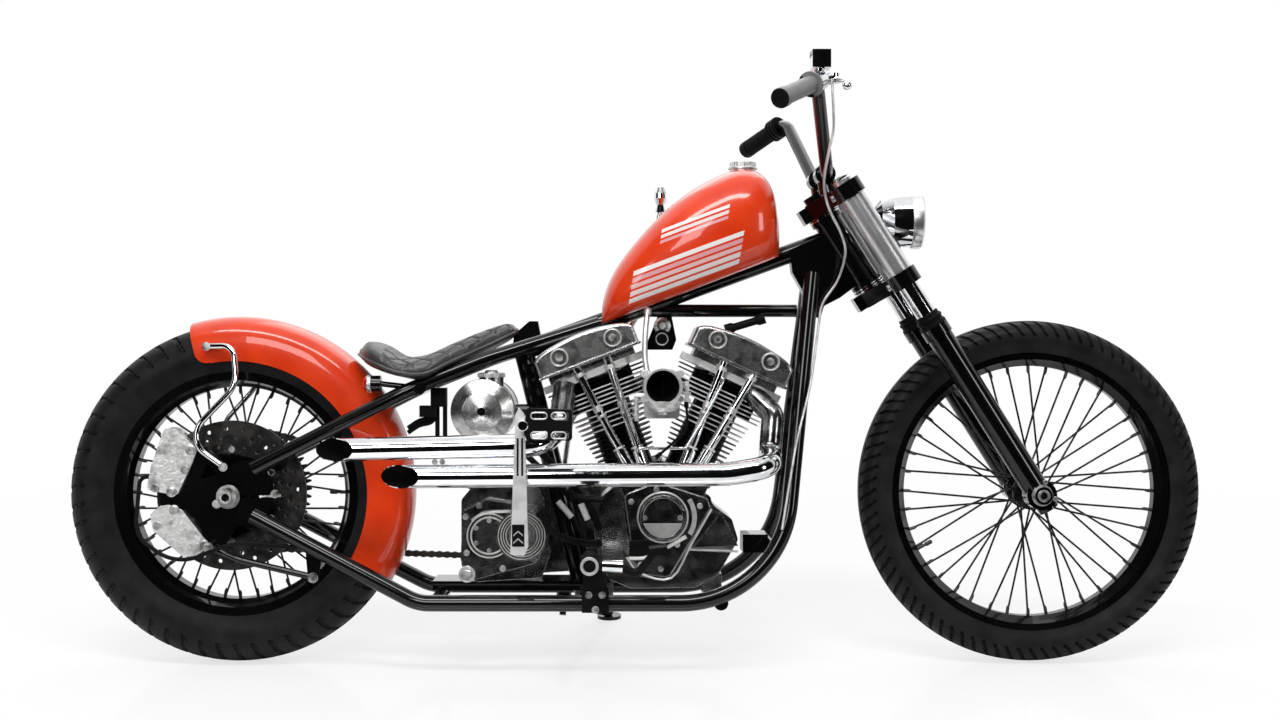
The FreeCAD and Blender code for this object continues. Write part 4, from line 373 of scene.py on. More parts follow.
@dataclass(frozen=True)
class StripedEnamel:
    """The body's enamel with two groups of parallel stripes sprayed along the tank's sides.

    A stripe is its height above the tank's base line, its width and its colour.
    """

    name: str
    base: GlossEnamel
    slope: float = 20.1
    base_line: float = 383.8
    reach: float = 200
    slant: float = 0.55
    low_ends: Flat = (962, 1190)
    high_ends: Flat = (1010, 1150)
    parting: float = 92
    feather: float = 0.4
    stripes: tuple[tuple[float, float, str], ...] = (
        (16, 8, "#F6F1EE"), (28, 8, "#F3E3E0"), (40, 8, "#EFC3C2"), (52, 8, "#E7A6AB"), (64, 8, "#F6F1EE"),
        (104, 6, "#E7A6AB"), (114, 6, "#F3E3E0"), (124, 6, "#F6F1EE"))

    def build(self, stance: "Stance") -> Material:
        """Make the material for a tank that stands as the machine does."""
        links = Links(self.name)
        turn = stance.to_row.to_3x3() * (1 / MM)
        lean = math.radians(self.slope)
        shift = stance.to_row.translation
        measured = []
        for direction, offset in ((Vector((-math.sin(lean), 0, math.cos(lean))), self.base_line),
                                  (Vector((math.cos(lean), 0, math.sin(lean))), 0)):
            row = turn @ direction
            measured.append(links.measure(row / MM, row.dot(shift) / MM + offset))
        height, along = measured
        stops = [(0, self.base.colour, 0)]
        for low, width, colour in self.stripes:
            stops += [(low / self.reach, colour, 1), ((low + width) / self.reach, self.base.colour, 0)]
        bands = links.bands(links.math("DIVIDE", height, self.reach), stops)
        place = links.math("SUBTRACT", along, links.math("MULTIPLY", height, self.slant))
        edge = self.feather
        masks = []
        for (start, end), upper in ((self.low_ends, False), (self.high_ends, True)):
            side = (0, 1) if upper else (1, 0)
            group = links.ramp(height, self.parting, self.parting + edge, *side)
            ends = links.math("MULTIPLY", links.ramp(place, start, start + edge),
                              links.ramp(place, end, end + edge, 1, 0))
            masks.append(links.math("MULTIPLY", group, ends))
        mask = links.math("MULTIPLY", links.math("ADD", *masks), bands.outputs["Alpha"])
        return self.base.lacquered(links, links.blend(mask, self.base.coat(links), bands.outputs["Color"]))


@dataclass(frozen=True)
class PlatedChrome:
    """Chromium plate over polished steel: near mirror, a little blue, with faint wipe marks."""

    name: str
    colour: str = "#D6D9DC"
    roughness: float = 0.05
    haze: str = "#D9DBDE"
    haze_mm: float = 26
    haze_roughness: float = 0.09
    wave_mm: float = 14
    wave_depth_mm: float = 0.02

    def build(self) -> Material:
        """Make the material."""
        links = Links(self.name)
        haze = links.noise(self.haze_mm, 4)
        rough = links.ramp(haze, 0.3, 0.8, self.roughness, self.roughness + self.haze_roughness)
        tone = links.blend(links.ramp(haze, 0.3, 0.75), linear(self.colour), linear(self.haze))
        shader = links.add("ShaderNodeBsdfPrincipled", {
            "Base Color": tone, "Metallic": 1, "Roughness": rough,
            "Normal": links.bump(links.noise(self.wave_mm, 1), self.wave_depth_mm)})
        return links.surface(shader)


@dataclass(frozen=True)
class CastAlloy:
    """Cast aluminium, buffed by hand: a soft mirror with rounded bright edges, stains and a faint grain."""

    name: str
    colour: str = "#C6C6C4"
    pit: str = "#5C5C5A"
    roughness: float = 0.24
    grain_mm: float = 1.6
    depth_mm: float = 0.12
    edge_mm: float = 1.6
    stain_mm: float = 22
    stain_roughness: float = 0.16

    def build(self) -> Material:
        """Make the material."""
        links = Links(self.name)
        grain = links.noise(self.grain_mm, 4)
        stain = links.noise(self.stain_mm, 5)
        dirt = links.ramp(stain, 0.5, 0.78)
        colour = links.blend(dirt, linear(self.colour), linear(self.pit))
        rough = links.ramp(stain, 0.35, 0.75, self.roughness, self.roughness + self.stain_roughness)
        shader = links.add("ShaderNodeBsdfPrincipled", {
            "Base Color": colour, "Metallic": 1, "Roughness": rough,
            "Normal": links.bump(grain, self.depth_mm, under=links.rounded(self.edge_mm))})
        return links.surface(shader)


@dataclass(frozen=True)
class MachinedSteel:
    """Bare or oiled steel with a fine turned grain."""

    name: str
    colour: str = "#8A8986"
    roughness: float = 0.32
    grain_mm: float = 0.9
    grain_depth_mm: float = 0.03
    grain_roughness: float = 0.15
    oil: str = "#4E4B47"
    oil_mm: float = 18

    def build(self) -> Material:
        """Make the material."""
        links = Links(self.name)
        grain = links.noise(self.grain_mm, 2)
        oil = links.ramp(links.noise(self.oil_mm, 4), 0.4, 0.7)
        colour = links.blend(oil, linear(self.colour), linear(self.oil))
        rough = links.ramp(grain, 0.3, 0.7, self.roughness, self.roughness + self.grain_roughness)
        shader = links.add("ShaderNodeBsdfPrincipled", {
            "Base Color": colour, "Metallic": 1, "Roughness": rough,
            "Normal": links.bump(grain, self.grain_depth_mm)})
        return links.surface(shader)


@dataclass(frozen=True)
class MouldedRubber:
    """Carbon-black rubber from a mould: matt, slightly grey where it has bloomed."""

    name: str
    colour: str = "#1B1B1C"
    bloom: str = "#2E2E2F"
    roughness: float = 0.62
    grain_mm: float = 1.2
    gleam: float = 0.1
    bloom_mm: float = 35
    grain_depth_mm: float = 0.08

    def build(self) -> Material:
        """Make the material."""
        links = Links(self.name)
        bloom = links.ramp(links.noise(self.bloom_mm, 5), 0.35, 0.75)
        colour = links.blend(bloom, linear(self.colour), linear(self.bloom))
        shader = links.add("ShaderNodeBsdfPrincipled", {
            "Base Color": colour, "Roughness": self.roughness, "Specular IOR Level": self.gleam,
            "Normal": links.bump(links.noise(self.grain_mm, 2), self.grain_depth_mm)})
        return links.surface(shader)


@dataclass(frozen=True)
class GrainedLeather:
    """Black upholstery hide: fine pebbled grain with a soft wax sheen, and painted shade where the mesh's
    attribute marks it.
    """

    name: str
    colour: str = "#1A1817"
    worn: str = "#34302D"
    # Colour of the painted shade along the quilting's seams and towards the pan
    seam: str = "#020202"
    grain_mm: float = 1.7
    grain_depth_mm: float = 0.12
    wear_mm: float = 30
    wax_mm: float = 12
    wax_roughness: Flat = (0.3, 0.42)
    gleam: float = 0.9

    def build(self) -> Material:
        """Make the material."""
        links = Links(self.name)
        scale = 1 / (self.grain_mm * MM)
        cells = links.add("ShaderNodeTexVoronoi", {"Vector": links.place(), "Scale": scale},
                          feature="DISTANCE_TO_EDGE")
        pebble = links.ramp(cells.outputs["Distance"], 0, 0.25)
        wear = links.ramp(links.noise(self.wear_mm, 4), 0.45, 0.75)
        colour = links.blend(wear, linear(self.colour), linear(self.worn))
        # Painted shade: the saddle's attribute darkens the hide along its seams and towards the pan
        seam = links.add("ShaderNodeAttribute", attribute_name=PAINTED_SHADE).outputs["Fac"]
        colour = links.blend(seam, colour, linear(self.seam))
        rough = links.ramp(links.noise(self.wax_mm, 3), 0.3, 0.7, *self.wax_roughness)
        shader = links.add("ShaderNodeBsdfPrincipled", {
            "Base Color": colour, "Roughness": rough, "Specular IOR Level": self.gleam,
            "Sheen Weight": 0.08, "Sheen Roughness": 0.5, "Normal": links.bump(pebble, self.grain_depth_mm)})
        return links.surface(shader)


@dataclass(frozen=True)
class LampLens:
    """Moulded lens: clear or coloured, thin and glossy, with fine flutes."""

    name: str
    colour: str
    transmission: float = 0
    flute_mm: float = 6
    flute_depth_mm: float = 0.25
    roughness: float = 0.06
    ior: float = 1.49

    def build(self) -> Material:
        """Make the material."""
        links = Links(self.name)
        scale = 1 / (self.flute_mm * MM) / TURN
        flutes = links.add("ShaderNodeTexWave", {"Vector": links.place(), "Scale": scale, "Distortion": 0},
                           bands_direction="Y")
        shader = links.add("ShaderNodeBsdfPrincipled", {
            "Base Color": linear(self.colour), "Roughness": self.roughness, "IOR": self.ior,
            "Transmission Weight": self.transmission, "Coat Weight": 0.6, "Coat Roughness": 0.03,
            "Normal": links.bump(flutes.outputs["Fac"], self.flute_depth_mm)})
        return links.surface(shader)


class Finish(Enum):
    """The finishes of this machine, each with what makes it."""

    BODY_ENAMEL = GlossEnamel("body_enamel", "#E8431B", "#DA3711")
    FRAME_ENAMEL = GlossEnamel("frame_enamel", "#030304", "#070708", 0.3, 9, 0.9, 0.1)
    RIM_ENAMEL = GlossEnamel("rim_enamel", "#030304", "#070708", 0.3, 9, 0.5, 0.05)
    CHROME = PlatedChrome("chrome_plate", "#EEF0F2", 0.04)
    CAST_ALLOY = CastAlloy("cast_alloy", "#B4B4B2", "#6A6A68", 0.15, 2.2, 0.035, 2)
    BRIGHT_ALLOY = CastAlloy("bright_alloy", "#DADAD8", "#A5A5A3", 0.1, 9, 0.05, 1.8)
    CALIPER_ALLOY = CastAlloy("caliper_alloy", "#F6F6F4", "#8A8A88", 0.4, 7, 1.3, 1.2)
    FIN_ALLOY = CastAlloy("fin_alloy", "#EDEDEB", "#9C9C9A", 0.5, 2, 0.05, 0.5)
    ROCKER_ALLOY = CastAlloy("rocker_alloy", "#C6C6C4", "#6E6E6C", 0.2, 11, 0.06, 2.2)
    SATIN_ALLOY = CastAlloy("satin_alloy", "#EAEAE8", "#B4B4B2", 0.38, 3, 0.04, 1.2)
    LIT_CHROME = PlatedChrome("lit_chrome", "#F4F4F5", 0.3)
    # Darkened chrome for the pipes' headers: a painted dark reflection
    HEADER_PAINTED_REFLECTION = PlatedChrome("header_painted_reflection", "#3C3C3F", 0.16)
    ARM_STEEL = CastAlloy("kick_arm_steel", "#FFFFFF", "#F0F0EE", 0.42, 6, 0.03, 2)
    FIN_BLACK = GlossEnamel("barrel_enamel", "#030303", "#070708", 0.5, 9, 0.15, 0.05)
    SOOT = MouldedRubber("pipe_soot", "#030303", "#0A0908", 0.9, 2)
    ROTOR = MachinedSteel("rotor_iron", "#2B2B2C", 0.38)
    SPOKE = MachinedSteel("spoke_wire", "#1F1F21", 0.34)
    CHAIN = MachinedSteel("chain_steel", "#4A4846", 0.35)
    BOLT = MachinedSteel("bolt_steel", "#E6E6E4", 0.36)
    TYRE = MouldedRubber("tyre_compound", "#08080A", "#1C1C1D", 0.5, 1.2, 0.2)
    GRIP = MouldedRubber("grip_compound", "#0A0A0B", "#141415", 0.5, 0.8)
    LEATHER = GrainedLeather("saddle_leather")
    GREY_GRIP = MouldedRubber("throttle_sleeve", "#8C8C8B", "#7A7A79", 0.35, 0.8)
    THREAD = MouldedRubber("saddle_thread", "#3A3836", "#4A4846", 0.7, 0.8)
    RED_LENS = LampLens("tail_lens", "#B3100C")
    CLEAR_LENS = LampLens("head_lens", "#EEF1F4", 0.85)

    def material(self) -> Material:
        """Give the finish's material, made once."""
        found = bpy.data.materials.get(self.value.name)
        return found or self.value.build()


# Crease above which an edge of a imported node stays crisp, in degrees
NODE_CREASE = 32

FINISHED_NODES: dict[Finish, tuple[str, ...]] = {
    Finish.CHROME: ("rear_axle", "pushrod_tubes", "fender_struts", "exhaust_pipes", "front_axle",
                    "fork_tubes", "hand_lever", "hand_shifter", "headlight"),
    Finish.FRAME_ENAMEL: ("axle_plates", "frame_rail_right", "frame_rail_left", "frame_spine",
                          "frame_stays", "crossmembers", "caliper_carrier", "tail_lamp", "regulator",
                          "fork_sliders", "handlebar", "fork_bridge_lower", "fork_bridge_upper",
                          "side_stand"),
    Finish.CAST_ALLOY: ("gearbox", "crankcase"),
    Finish.FIN_BLACK: ("cylinders",),
    Finish.FIN_ALLOY: ("cylinder_heads",),
    Finish.ROCKER_ALLOY: ("rocker_boxes", "oil_tank"),
    Finish.BRIGHT_ALLOY: ("cam_cover", "primary_cover"),
    Finish.SATIN_ALLOY: ("carburettor", "fuel_cap"),
    Finish.ARM_STEEL: ("kick_starter",),
    Finish.CHAIN: ("drive_chain", "rear_sprocket"),
    Finish.BODY_ENAMEL: ("fuel_tank", "rear_fender"),
    Finish.LEATHER: ("seat",),
    Finish.CALIPER_ALLOY: ("brake_calipers",),
    Finish.GRIP: ("foot_controls", "grips", "brake_hose"),
    Finish.RIM_ENAMEL: ("rear_rim", "front_rim"),
    Finish.TYRE: ("rear_tyre", "front_tyre"),
    Finish.SPOKE: ("rear_hub_spokes", "front_hub_spokes"),
    Finish.ROTOR: ("brake_disc",),
}


def dress_nodes(nodes: dict[str, bpy.types.Object]) -> None:
    """Give every carried-over node its finish and smooth shading with crisp edges.

    Args:
        nodes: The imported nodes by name.
    """
    finishes = {name: finish for finish, names in FINISHED_NODES.items() for name in names}
    for name, node in nodes.items():
        node.data.materials.clear()
        node.data.materials.append(finishes[name].material())
        if not node.data.has_custom_normals:
            node.data.shade_smooth()
            node.data.set_sharp_from_angle(angle=math.radians(NODE_CREASE))


FaceTest = Callable[[Vector, Vector], bool]

# Heights along a cylinder from the crank, and radii about its axis, where the barrels and heads change finish
BARREL_FOOT, BARREL_CORE_R = 236, 52
HEAD_FINS_END, HEAD_GAPS_FROM = 339, 322
HEAD_CORE_HALF, HEAD_CORE_R = 50, 72
# Tail and straight run of each open pipe, the reach of the soot in it, and where its header begins, which
# gets a painted dark reflection
PIPE_RUNS: tuple[tuple[Place, Place], ...] = (((179, -200, 430), (600, -200, 440)),
                                              ((303, -200, 380), (985, -200, 385)))
PIPE_BORE_R = 21
SOOT_RUN: Flat = (-5, 212)
HEADER_FOOT, HEADER_Y = 436, -172
THROAT: Flat = (838, 550)
THROAT_LIP, THROAT_R, THROAT_PLATE_R = -143, 31.2, 19
PEDAL_PIN: Flat = (577, 479.5)
PEDAL_FACE, PEDAL_PIN_R = -245, 9.6
GREY_GRIP_Y, TAIL_LENS_X = -318, 268
HEAD_LENS_X, HEAD_RIM_X = 1353, 1338


def about_cylinder(centre: Vector) -> tuple[float, Vector, Vector]:
    """Place a point about the nearer cylinder's axis.

    Args:
        centre: Point in the upright frame.

    Returns:
        Height above the crank, what is left across the axis, and the axis.
    """
    found = []
    for tilt in TILTS:
        axis = Vector((math.sin(math.radians(tilt)), 0, math.cos(math.radians(tilt))))
        height = (centre - CRANK).dot(axis)
        off = centre - CRANK - axis * height
        found.append((off.length, height, off, axis))
    _, height, off, axis = min(found, key=lambda entry: entry[0])
    return height, off, axis


def is_barrel_edge(centre: Vector, normal: Vector) -> bool:
    """Tell the bright rims of the barrels' fins."""
    height, off, axis = about_cylinder(centre)
    return height > BARREL_FOOT and off.length > BARREL_CORE_R and abs(normal.dot(axis)) < 0.5


def is_head_gap(centre: Vector, normal: Vector) -> bool:
    """Tell the dark flats and root between the heads' fins."""
    height, off, axis = about_cylinder(centre)
    in_core = abs(off.y) < HEAD_CORE_HALF and math.hypot(off.x, off.z) < HEAD_CORE_R
    return height < HEAD_FINS_END and (height > HEAD_GAPS_FROM or abs(normal.dot(axis)) > 0.7 or in_core)


def is_pipe_bore(centre: Vector, normal: Vector) -> bool:
    """Tell the sooty insides of the two open pipes."""
    for start, end in map(vectors, PIPE_RUNS):
        along = (end - start).normalized()
        height = (centre - start).dot(along)
        off = centre - start - along * height
        inside = SOOT_RUN[0] < height < SOOT_RUN[1] and off.length < PIPE_BORE_R
        if inside and (normal.dot(off) < 0 or abs(normal.dot(along)) > 0.9):
            return True
    return False


def is_header(centre: Vector, normal: Vector) -> bool:
    """Tell the headers, where the pipes drop from the ports, which get a painted dark reflection."""
    return centre.z > HEADER_FOOT and centre.y > HEADER_Y


def is_throat(centre: Vector, normal: Vector) -> bool:
    """Tell the inside of the carburettor's mouth."""
    off = Vector((centre.x - THROAT[0], 0, centre.z - THROAT[1]))
    inward = normal.dot(off) < 0 or off.length < THROAT_PLATE_R
    return centre.y < THROAT_LIP and off.length < THROAT_R and inward


def is_kick_block(centre: Vector, normal: Vector) -> bool:
    """Tell the folded pedal block from the kick arm and its pin."""
    away = math.hypot(centre.x - PEDAL_PIN[0], centre.z - PEDAL_PIN[1])
    return centre.y < PEDAL_FACE and away > PEDAL_PIN_R


FACE_FINISHES: tuple[tuple[str, Finish, FaceTest], ...] = (
    ("cylinders", Finish.FIN_ALLOY, is_barrel_edge),
    ("cylinder_heads", Finish.FIN_BLACK, is_head_gap),
    ("carburettor", Finish.SOOT, is_throat),
    ("kick_starter", Finish.GRIP, is_kick_block),
    ("grips", Finish.GREY_GRIP, lambda centre, normal: centre.y < GREY_GRIP_Y and abs(normal.y) < 0.9),
    ("tail_lamp", Finish.RED_LENS, lambda centre, normal: centre.x < TAIL_LENS_X and normal.x < -0.9),
    ("headlight", Finish.CLEAR_LENS, lambda centre, normal: centre.x > HEAD_LENS_X),
    ("headlight", Finish.SATIN_ALLOY, lambda centre, normal: HEAD_RIM_X < centre.x < HEAD_LENS_X),
)


def paint_faces(node: bpy.types.Object, finish: Finish, stance: Stance, test: FaceTest) -> None:
    """Give the faces of a node that pass a test a finish of their own.

    Args:
        node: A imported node.
        finish: Finish for those faces.
        stance: Where the upright frame stands.
        test: Takes a face's middle and normal in the upright frame.
    """
    node.data.materials.append(finish.material())
    back = stance.to_row.inverted() @ node.matrix_world
    turn = back.to_3x3()
    chosen = [face for face in node.data.polygons
              if test(back @ face.center, (turn @ face.normal).normalized())]
    for face in chosen:
        face.material_index = len(node.data.materials) - 1
    LOG.info("%s: %d faces in %s", node.name, len(chosen), finish.value.name)


def arc_path(points: Sequence[Vector], bends: Sequence[float], step: float = 9) -> list[Vector]:
    """Follow straight legs joined by tangent arcs.

    Args:
        points: Corners of the path.
        bends: Radius at each inner corner.
        step: Turn between two points of an arc, in degrees.

    Returns:
        Points along the path.
    """
    path = [points[0]]
    for before, corner, after, bend in zip(points, points[1:], points[2:], bends):
        back = (before - corner).normalized()
        ahead = (after - corner).normalized()
        half = back.angle(ahead) / 2
        reach = bend / math.tan(half)
        centre = corner + (back + ahead).normalized() * (bend / math.sin(half))
        first = corner + back * reach - centre
        last = corner + ahead * reach - centre
        turn = first.angle(last)
        count = max(2, math.ceil(math.degrees(turn) / step))
        for index in range(count + 1):
            share = index / count
            blend = (first * math.sin((1 - share) * turn) + last * math.sin(share * turn)) / math.sin(turn)
            path.append(centre + blend)
    path.append(points[-1])
    return path


def smooth_path(points: Sequence[Vector], steps: int = 8) -> list[Vector]:
    """Draw a smooth curve through points, as a hose or cable lies.

    Args:
        points: Points on the curve.
        steps: Steps between two of them.

    Returns:
        Points along the curve.
    """
    ends = [points[0] * 2 - points[1]] + list(points) + [points[-1] * 2 - points[-2]]
    path = []
    for a, b, c, d in zip(ends, ends[1:], ends[2:], ends[3:]):
        for index in range(steps):
            t = index / steps
            path.append(0.5 * (b * 2 + (c - a) * t + (a * 2 - b * 5 + c * 4 - d) * t * t
                               + (b * 3 - a - c * 3 + d) * t ** 3))
    path.append(points[-1])
    return path


class Form:
    """A mesh in the making, drawn in upright millimetres."""

    def __init__(self) -> None:
        """Start with nothing."""
        self.mesh = bmesh.new()

    def grid(self, rows: Sequence[Sequence[Vector]], wrap_rows: bool = False,
             wrap_columns: bool = False) -> None:
        """Skin a grid of points.

        Args:
            rows: Rows of points, all as long as each other.
            wrap_rows: Whether the last row joins the first.
            wrap_columns: Whether each row is a closed ring.
        """
        verts = [[self.mesh.verts.new(point) for point in row] for row in rows]
        row_pairs = list(zip(verts, verts[1:])) + ([(verts[-1], verts[0])] if wrap_rows else [])
        for low, high in row_pairs:
            count = len(low)
            for index in range(count if wrap_columns else count - 1):
                following = (index + 1) % count
                self.mesh.faces.new((low[index], low[following], high[following], high[index]))

    def cap(self, ring: Sequence[Vector]) -> None:
        """Close a flat ring of points with one face."""
        self.mesh.faces.new([self.mesh.verts.new(point) for point in ring])

    def lathe(self, profile: Sequence[Flat], centre: Vector, axis: Vector, across: Vector,
              segments: int = FULL_SEGMENTS, closed: bool = True) -> None:
        """Turn a profile about an axis.

        Args:
            profile: Pairs of radius and height along the axis.
            centre: Point on the axis at height 0.
            axis: Direction of the axis.
            across: Any direction square to it.
            segments: Steps in the full turn.
            closed: Whether the profile's last point joins its first.
        """
        other = axis.cross(across).normalized()
        rows = []
        for step in range(segments):
            angle = TURN * step / segments
            out = across * math.cos(angle) + other * math.sin(angle)
            rows.append([centre + out * r + axis * h for r, h in profile])
        self.grid(rows, wrap_rows=True, wrap_columns=closed)

    def sweep(self, path: Sequence[Vector], radius: float | Sequence[float], sides: int = 16) -> None:
        """Run a round section along a path and close both ends.

        Args:
            path: Points along the middle.
            radius: One radius, or one for each point.
            sides: Sides of the section.
        """
        radii = list(radius) if isinstance(radius, (list, tuple)) else [radius] * len(path)
        ahead = (path[1] - path[0]).normalized()
        side = ahead.orthogonal().normalized()
        rows = []
        for index, point in enumerate(path):
            before, after = path[max(index - 1, 0)], path[min(index + 1, len(path) - 1)]
            ahead = (after - before).normalized()
            side = (side - ahead * side.dot(ahead)).normalized()
            other = ahead.cross(side)
            ring = []
            for step in range(sides):
                angle = TURN * step / sides
                ring.append(point + (side * math.cos(angle) + other * math.sin(angle)) * radii[index])
            rows.append(ring)
        self.grid(rows, wrap_columns=True)
        self.cap(list(reversed(rows[0])))
        self.cap(rows[-1])

    def rod(self, start: Vector, end: Vector, radius: float, sides: int = 24) -> None:
        """Put in a straight round bar."""
        self.sweep([start, end], radius, sides)

    def slab(self, outline: Sequence[Vector], along: Vector) -> None:
        """Carry a flat outline along a direction.

        Args:
            outline: Corners of the outline, in order.
            along: How far and which way it goes.
        """
        low = list(outline)
        high = [point + along for point in outline]
        self.grid([low, high], wrap_columns=True)
        self.cap(list(reversed(low)))
        self.cap(high)

    def bolt(self, seat: Vector, axis: Vector, across_flats: float, height: float,
             washer: bool = True) -> None:
        """Put in a hexagon-headed bolt with a chamfer, on a washer.

        Args:
            seat: Middle of the surface it sits on.
            axis: Direction the head points.
            across_flats: Width of the head.
            height: Height of the head.
            washer: Whether a washer lies under the head.
        """
        out = axis.normalized()
        across = out.orthogonal().normalized()
        radius = across_flats / math.sqrt(3)
        if washer:
            lip, washer_r = height * 0.25, radius * 1.35
            self.lathe([(0, 0), (washer_r, 0), (washer_r, lip), (0, lip)], seat, out, across,
                       FINE_SEGMENTS // 2, closed=False)
        shoulder, crown_r = height * 0.8, radius * 0.84
        self.lathe([(0, 0), (radius, 0), (radius, shoulder), (crown_r, height), (0, height)], seat,
                   out, across, BOLT_SIDES, closed=False)

    def cap_screw(self, seat: Vector, axis: Vector, radius: float, height: float) -> None:
        """Put in a round socket-headed screw with its hexagon recess.

        Args:
            seat: Middle of the surface it sits on.
            axis: Direction the head points.
            radius: Radius of the head.
            height: Height of the head.
        """
        out = axis.normalized()
        across = out.orthogonal().normalized()
        chamfer, floor, socket_r, mouth_r = radius * 0.12, height * 0.45, radius * 0.5, radius * 0.55
        profile = [(0, floor), (socket_r, floor), (mouth_r, height), (radius - chamfer, height),
                   (radius, height - chamfer), (radius, 0)]
        self.lathe(profile, seat, out, across, FINE_SEGMENTS // 2, closed=False)

    def piece(self, name: str, finish: Finish, stance: Stance, body: Optional[str], crease: float = 34,
              slot: Optional[str] = None) -> bpy.types.Object:
        """Make the object, lean it with the machine and let it ride on a body.

        Args:
            name: Name of the piece.
            finish: Its finish.
            stance: Where the upright frame stands.
            body: Body that it moves with, or None for a piece on no body.
            crease: Angle in degrees above which an edge stays crisp.
            slot: Not used.

        Returns:
            The new object.
        """
        bmesh.ops.remove_doubles(self.mesh, verts=self.mesh.verts, dist=0.002)
        bmesh.ops.recalc_face_normals(self.mesh, faces=self.mesh.faces)
        data = bpy.data.meshes.new(name)
        self.mesh.to_mesh(data)
        self.mesh.free()
        data.transform(stance.to_row)
        data.materials.append(finish.material())
        data.shade_smooth()
        data.set_sharp_from_angle(angle=math.radians(crease))
        made = bpy.data.objects.new(name, data)
        bpy.context.scene.collection.objects.link(made)
        if body:
            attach(made, body)
        LOG.info("%s: %d faces", name, len(data.polygons))
        return made


class Tread(Enum):
    """Tread patterns, as periods round the tyre, slant of the slots, and where they start and end across."""

    ROAD_BLOCK = (54, 0.55, 0.2, 1.12)
    SIPED_SHOULDER = (84, 1.1, 0.3, 1.2)


@dataclass
class Tyre:
    """A cross-ply tyre with a rounded crown and cut tread."""

    name: str
    node: str
    body: str
    centre: Vector
    radius: float
    flange_r: float
    half_width: float
    half_rim: float
    tread: Tread
    columns_per_period: int = 14
    slot_columns: int = 3
    groove_depth: float = 4.4
    # Outline from flange to crown: radius share and width share, as in the solids
    outline: Flats = ((-0.1, 0.80), (0, 0.84), (0.12, 0.91), (0.24, 0.965), (0.38, 1))
    crown: Flats = (
        (0.46, 0.995), (0.55, 0.977), (0.62, 0.955), (0.66, 0.935), (0.72, 0.885), (0.8, 0.8),
        (0.86, 0.705), (0.915, 0.58), (0.952, 0.45), (0.98, 0.3), (0.993, 0.18), (1, 0.06))
    shoulder_point: int = 3
    centre_groove_half: float = 0.035
    groove_wave: float = 0.05
    base_drop: float = 6
    base_inset: float = 8

    def rows(self) -> list[tuple[float, float, bool]]:
        """List the section from bead to bead as radius, y and whether tread is cut there."""
        reach = self.radius - self.flange_r
        side = [(self.flange_r + share * reach, width * self.half_width, False)
                for share, width in self.outline]
        top = []
        for (s0, w0), (s1, w1) in zip(self.crown, self.crown[1:]):
            for part in (0, 0.5):
                share, width = s0 + (s1 - s0) * part, w0 + (w1 - w0) * part
                top.append((self.flange_r + share * reach, width * self.half_width, True))
        top.append((self.radius, self.crown[-1][1] * self.half_width, True))
        left = side + top
        return left + [(r, -y, cut) for r, y, cut in reversed(left)]

    def groove(self, r: float, y: float, column: int) -> float:
        """Say how deep the tread is cut.

        Args:
            r: Distance from the axle, in mm.
            y: Place across, in mm.
            column: Step round the tyre.

        Returns:
            Depth in mm.
        """
        _, slant, start, end = self.tread.value
        crown_r = self.flange_r + self.crown[self.shoulder_point][0] * (self.radius - self.flange_r)
        share = abs(y) / self.half_width + max(0, crown_r - r) / self.half_width
        offset = self.columns_per_period // 2 if y > 0 else 0
        wave = abs(((column / self.columns_per_period * 2) % 2) - 1)
        if abs(share - start - self.groove_wave * wave) < self.centre_groove_half:
            return self.groove_depth
        if share < start or share > end:
            return 0
        place = (column + offset + slant * share * self.columns_per_period) % self.columns_per_period
        return self.groove_depth if place < self.slot_columns else 0

    def build(self, stance: Stance) -> None:
        """Make the tyre and put it in the solid's place."""
        form = Form()
        periods = self.tread.value[0]
        columns = periods * self.columns_per_period
        section = self.rows()
        normals = []
        for before, after in zip([section[0]] + section[:-1], section[1:] + [section[-1]]):
            along = Vector((after[0] - before[0], after[1] - before[1])).normalized()
            normals.append((-along.y, along.x))
        base_r = self.flange_r - self.base_drop
        base_y = self.half_rim - self.base_inset
        rings = []
        for column in range(columns):
            angle = TURN * column / columns
            out = Vector((math.cos(angle), 0, math.sin(angle)))
            ring = []
            for (r, y, cut), (nr, ny) in zip(section, normals):
                depth = self.groove(r, y, column) if cut else 0
                ring.append(self.centre + out * (r - depth * nr) + ACROSS * (y - depth * ny))
            ring += [self.centre + out * base_r + ACROSS * side * base_y for side in SIDES]
            rings.append(ring)
        form.grid(rings, wrap_rows=True, wrap_columns=True)
        tyre = form.piece(self.name, Finish.TYRE, stance, self.body, 28, "tyre_rubber")
        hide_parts(self.node)


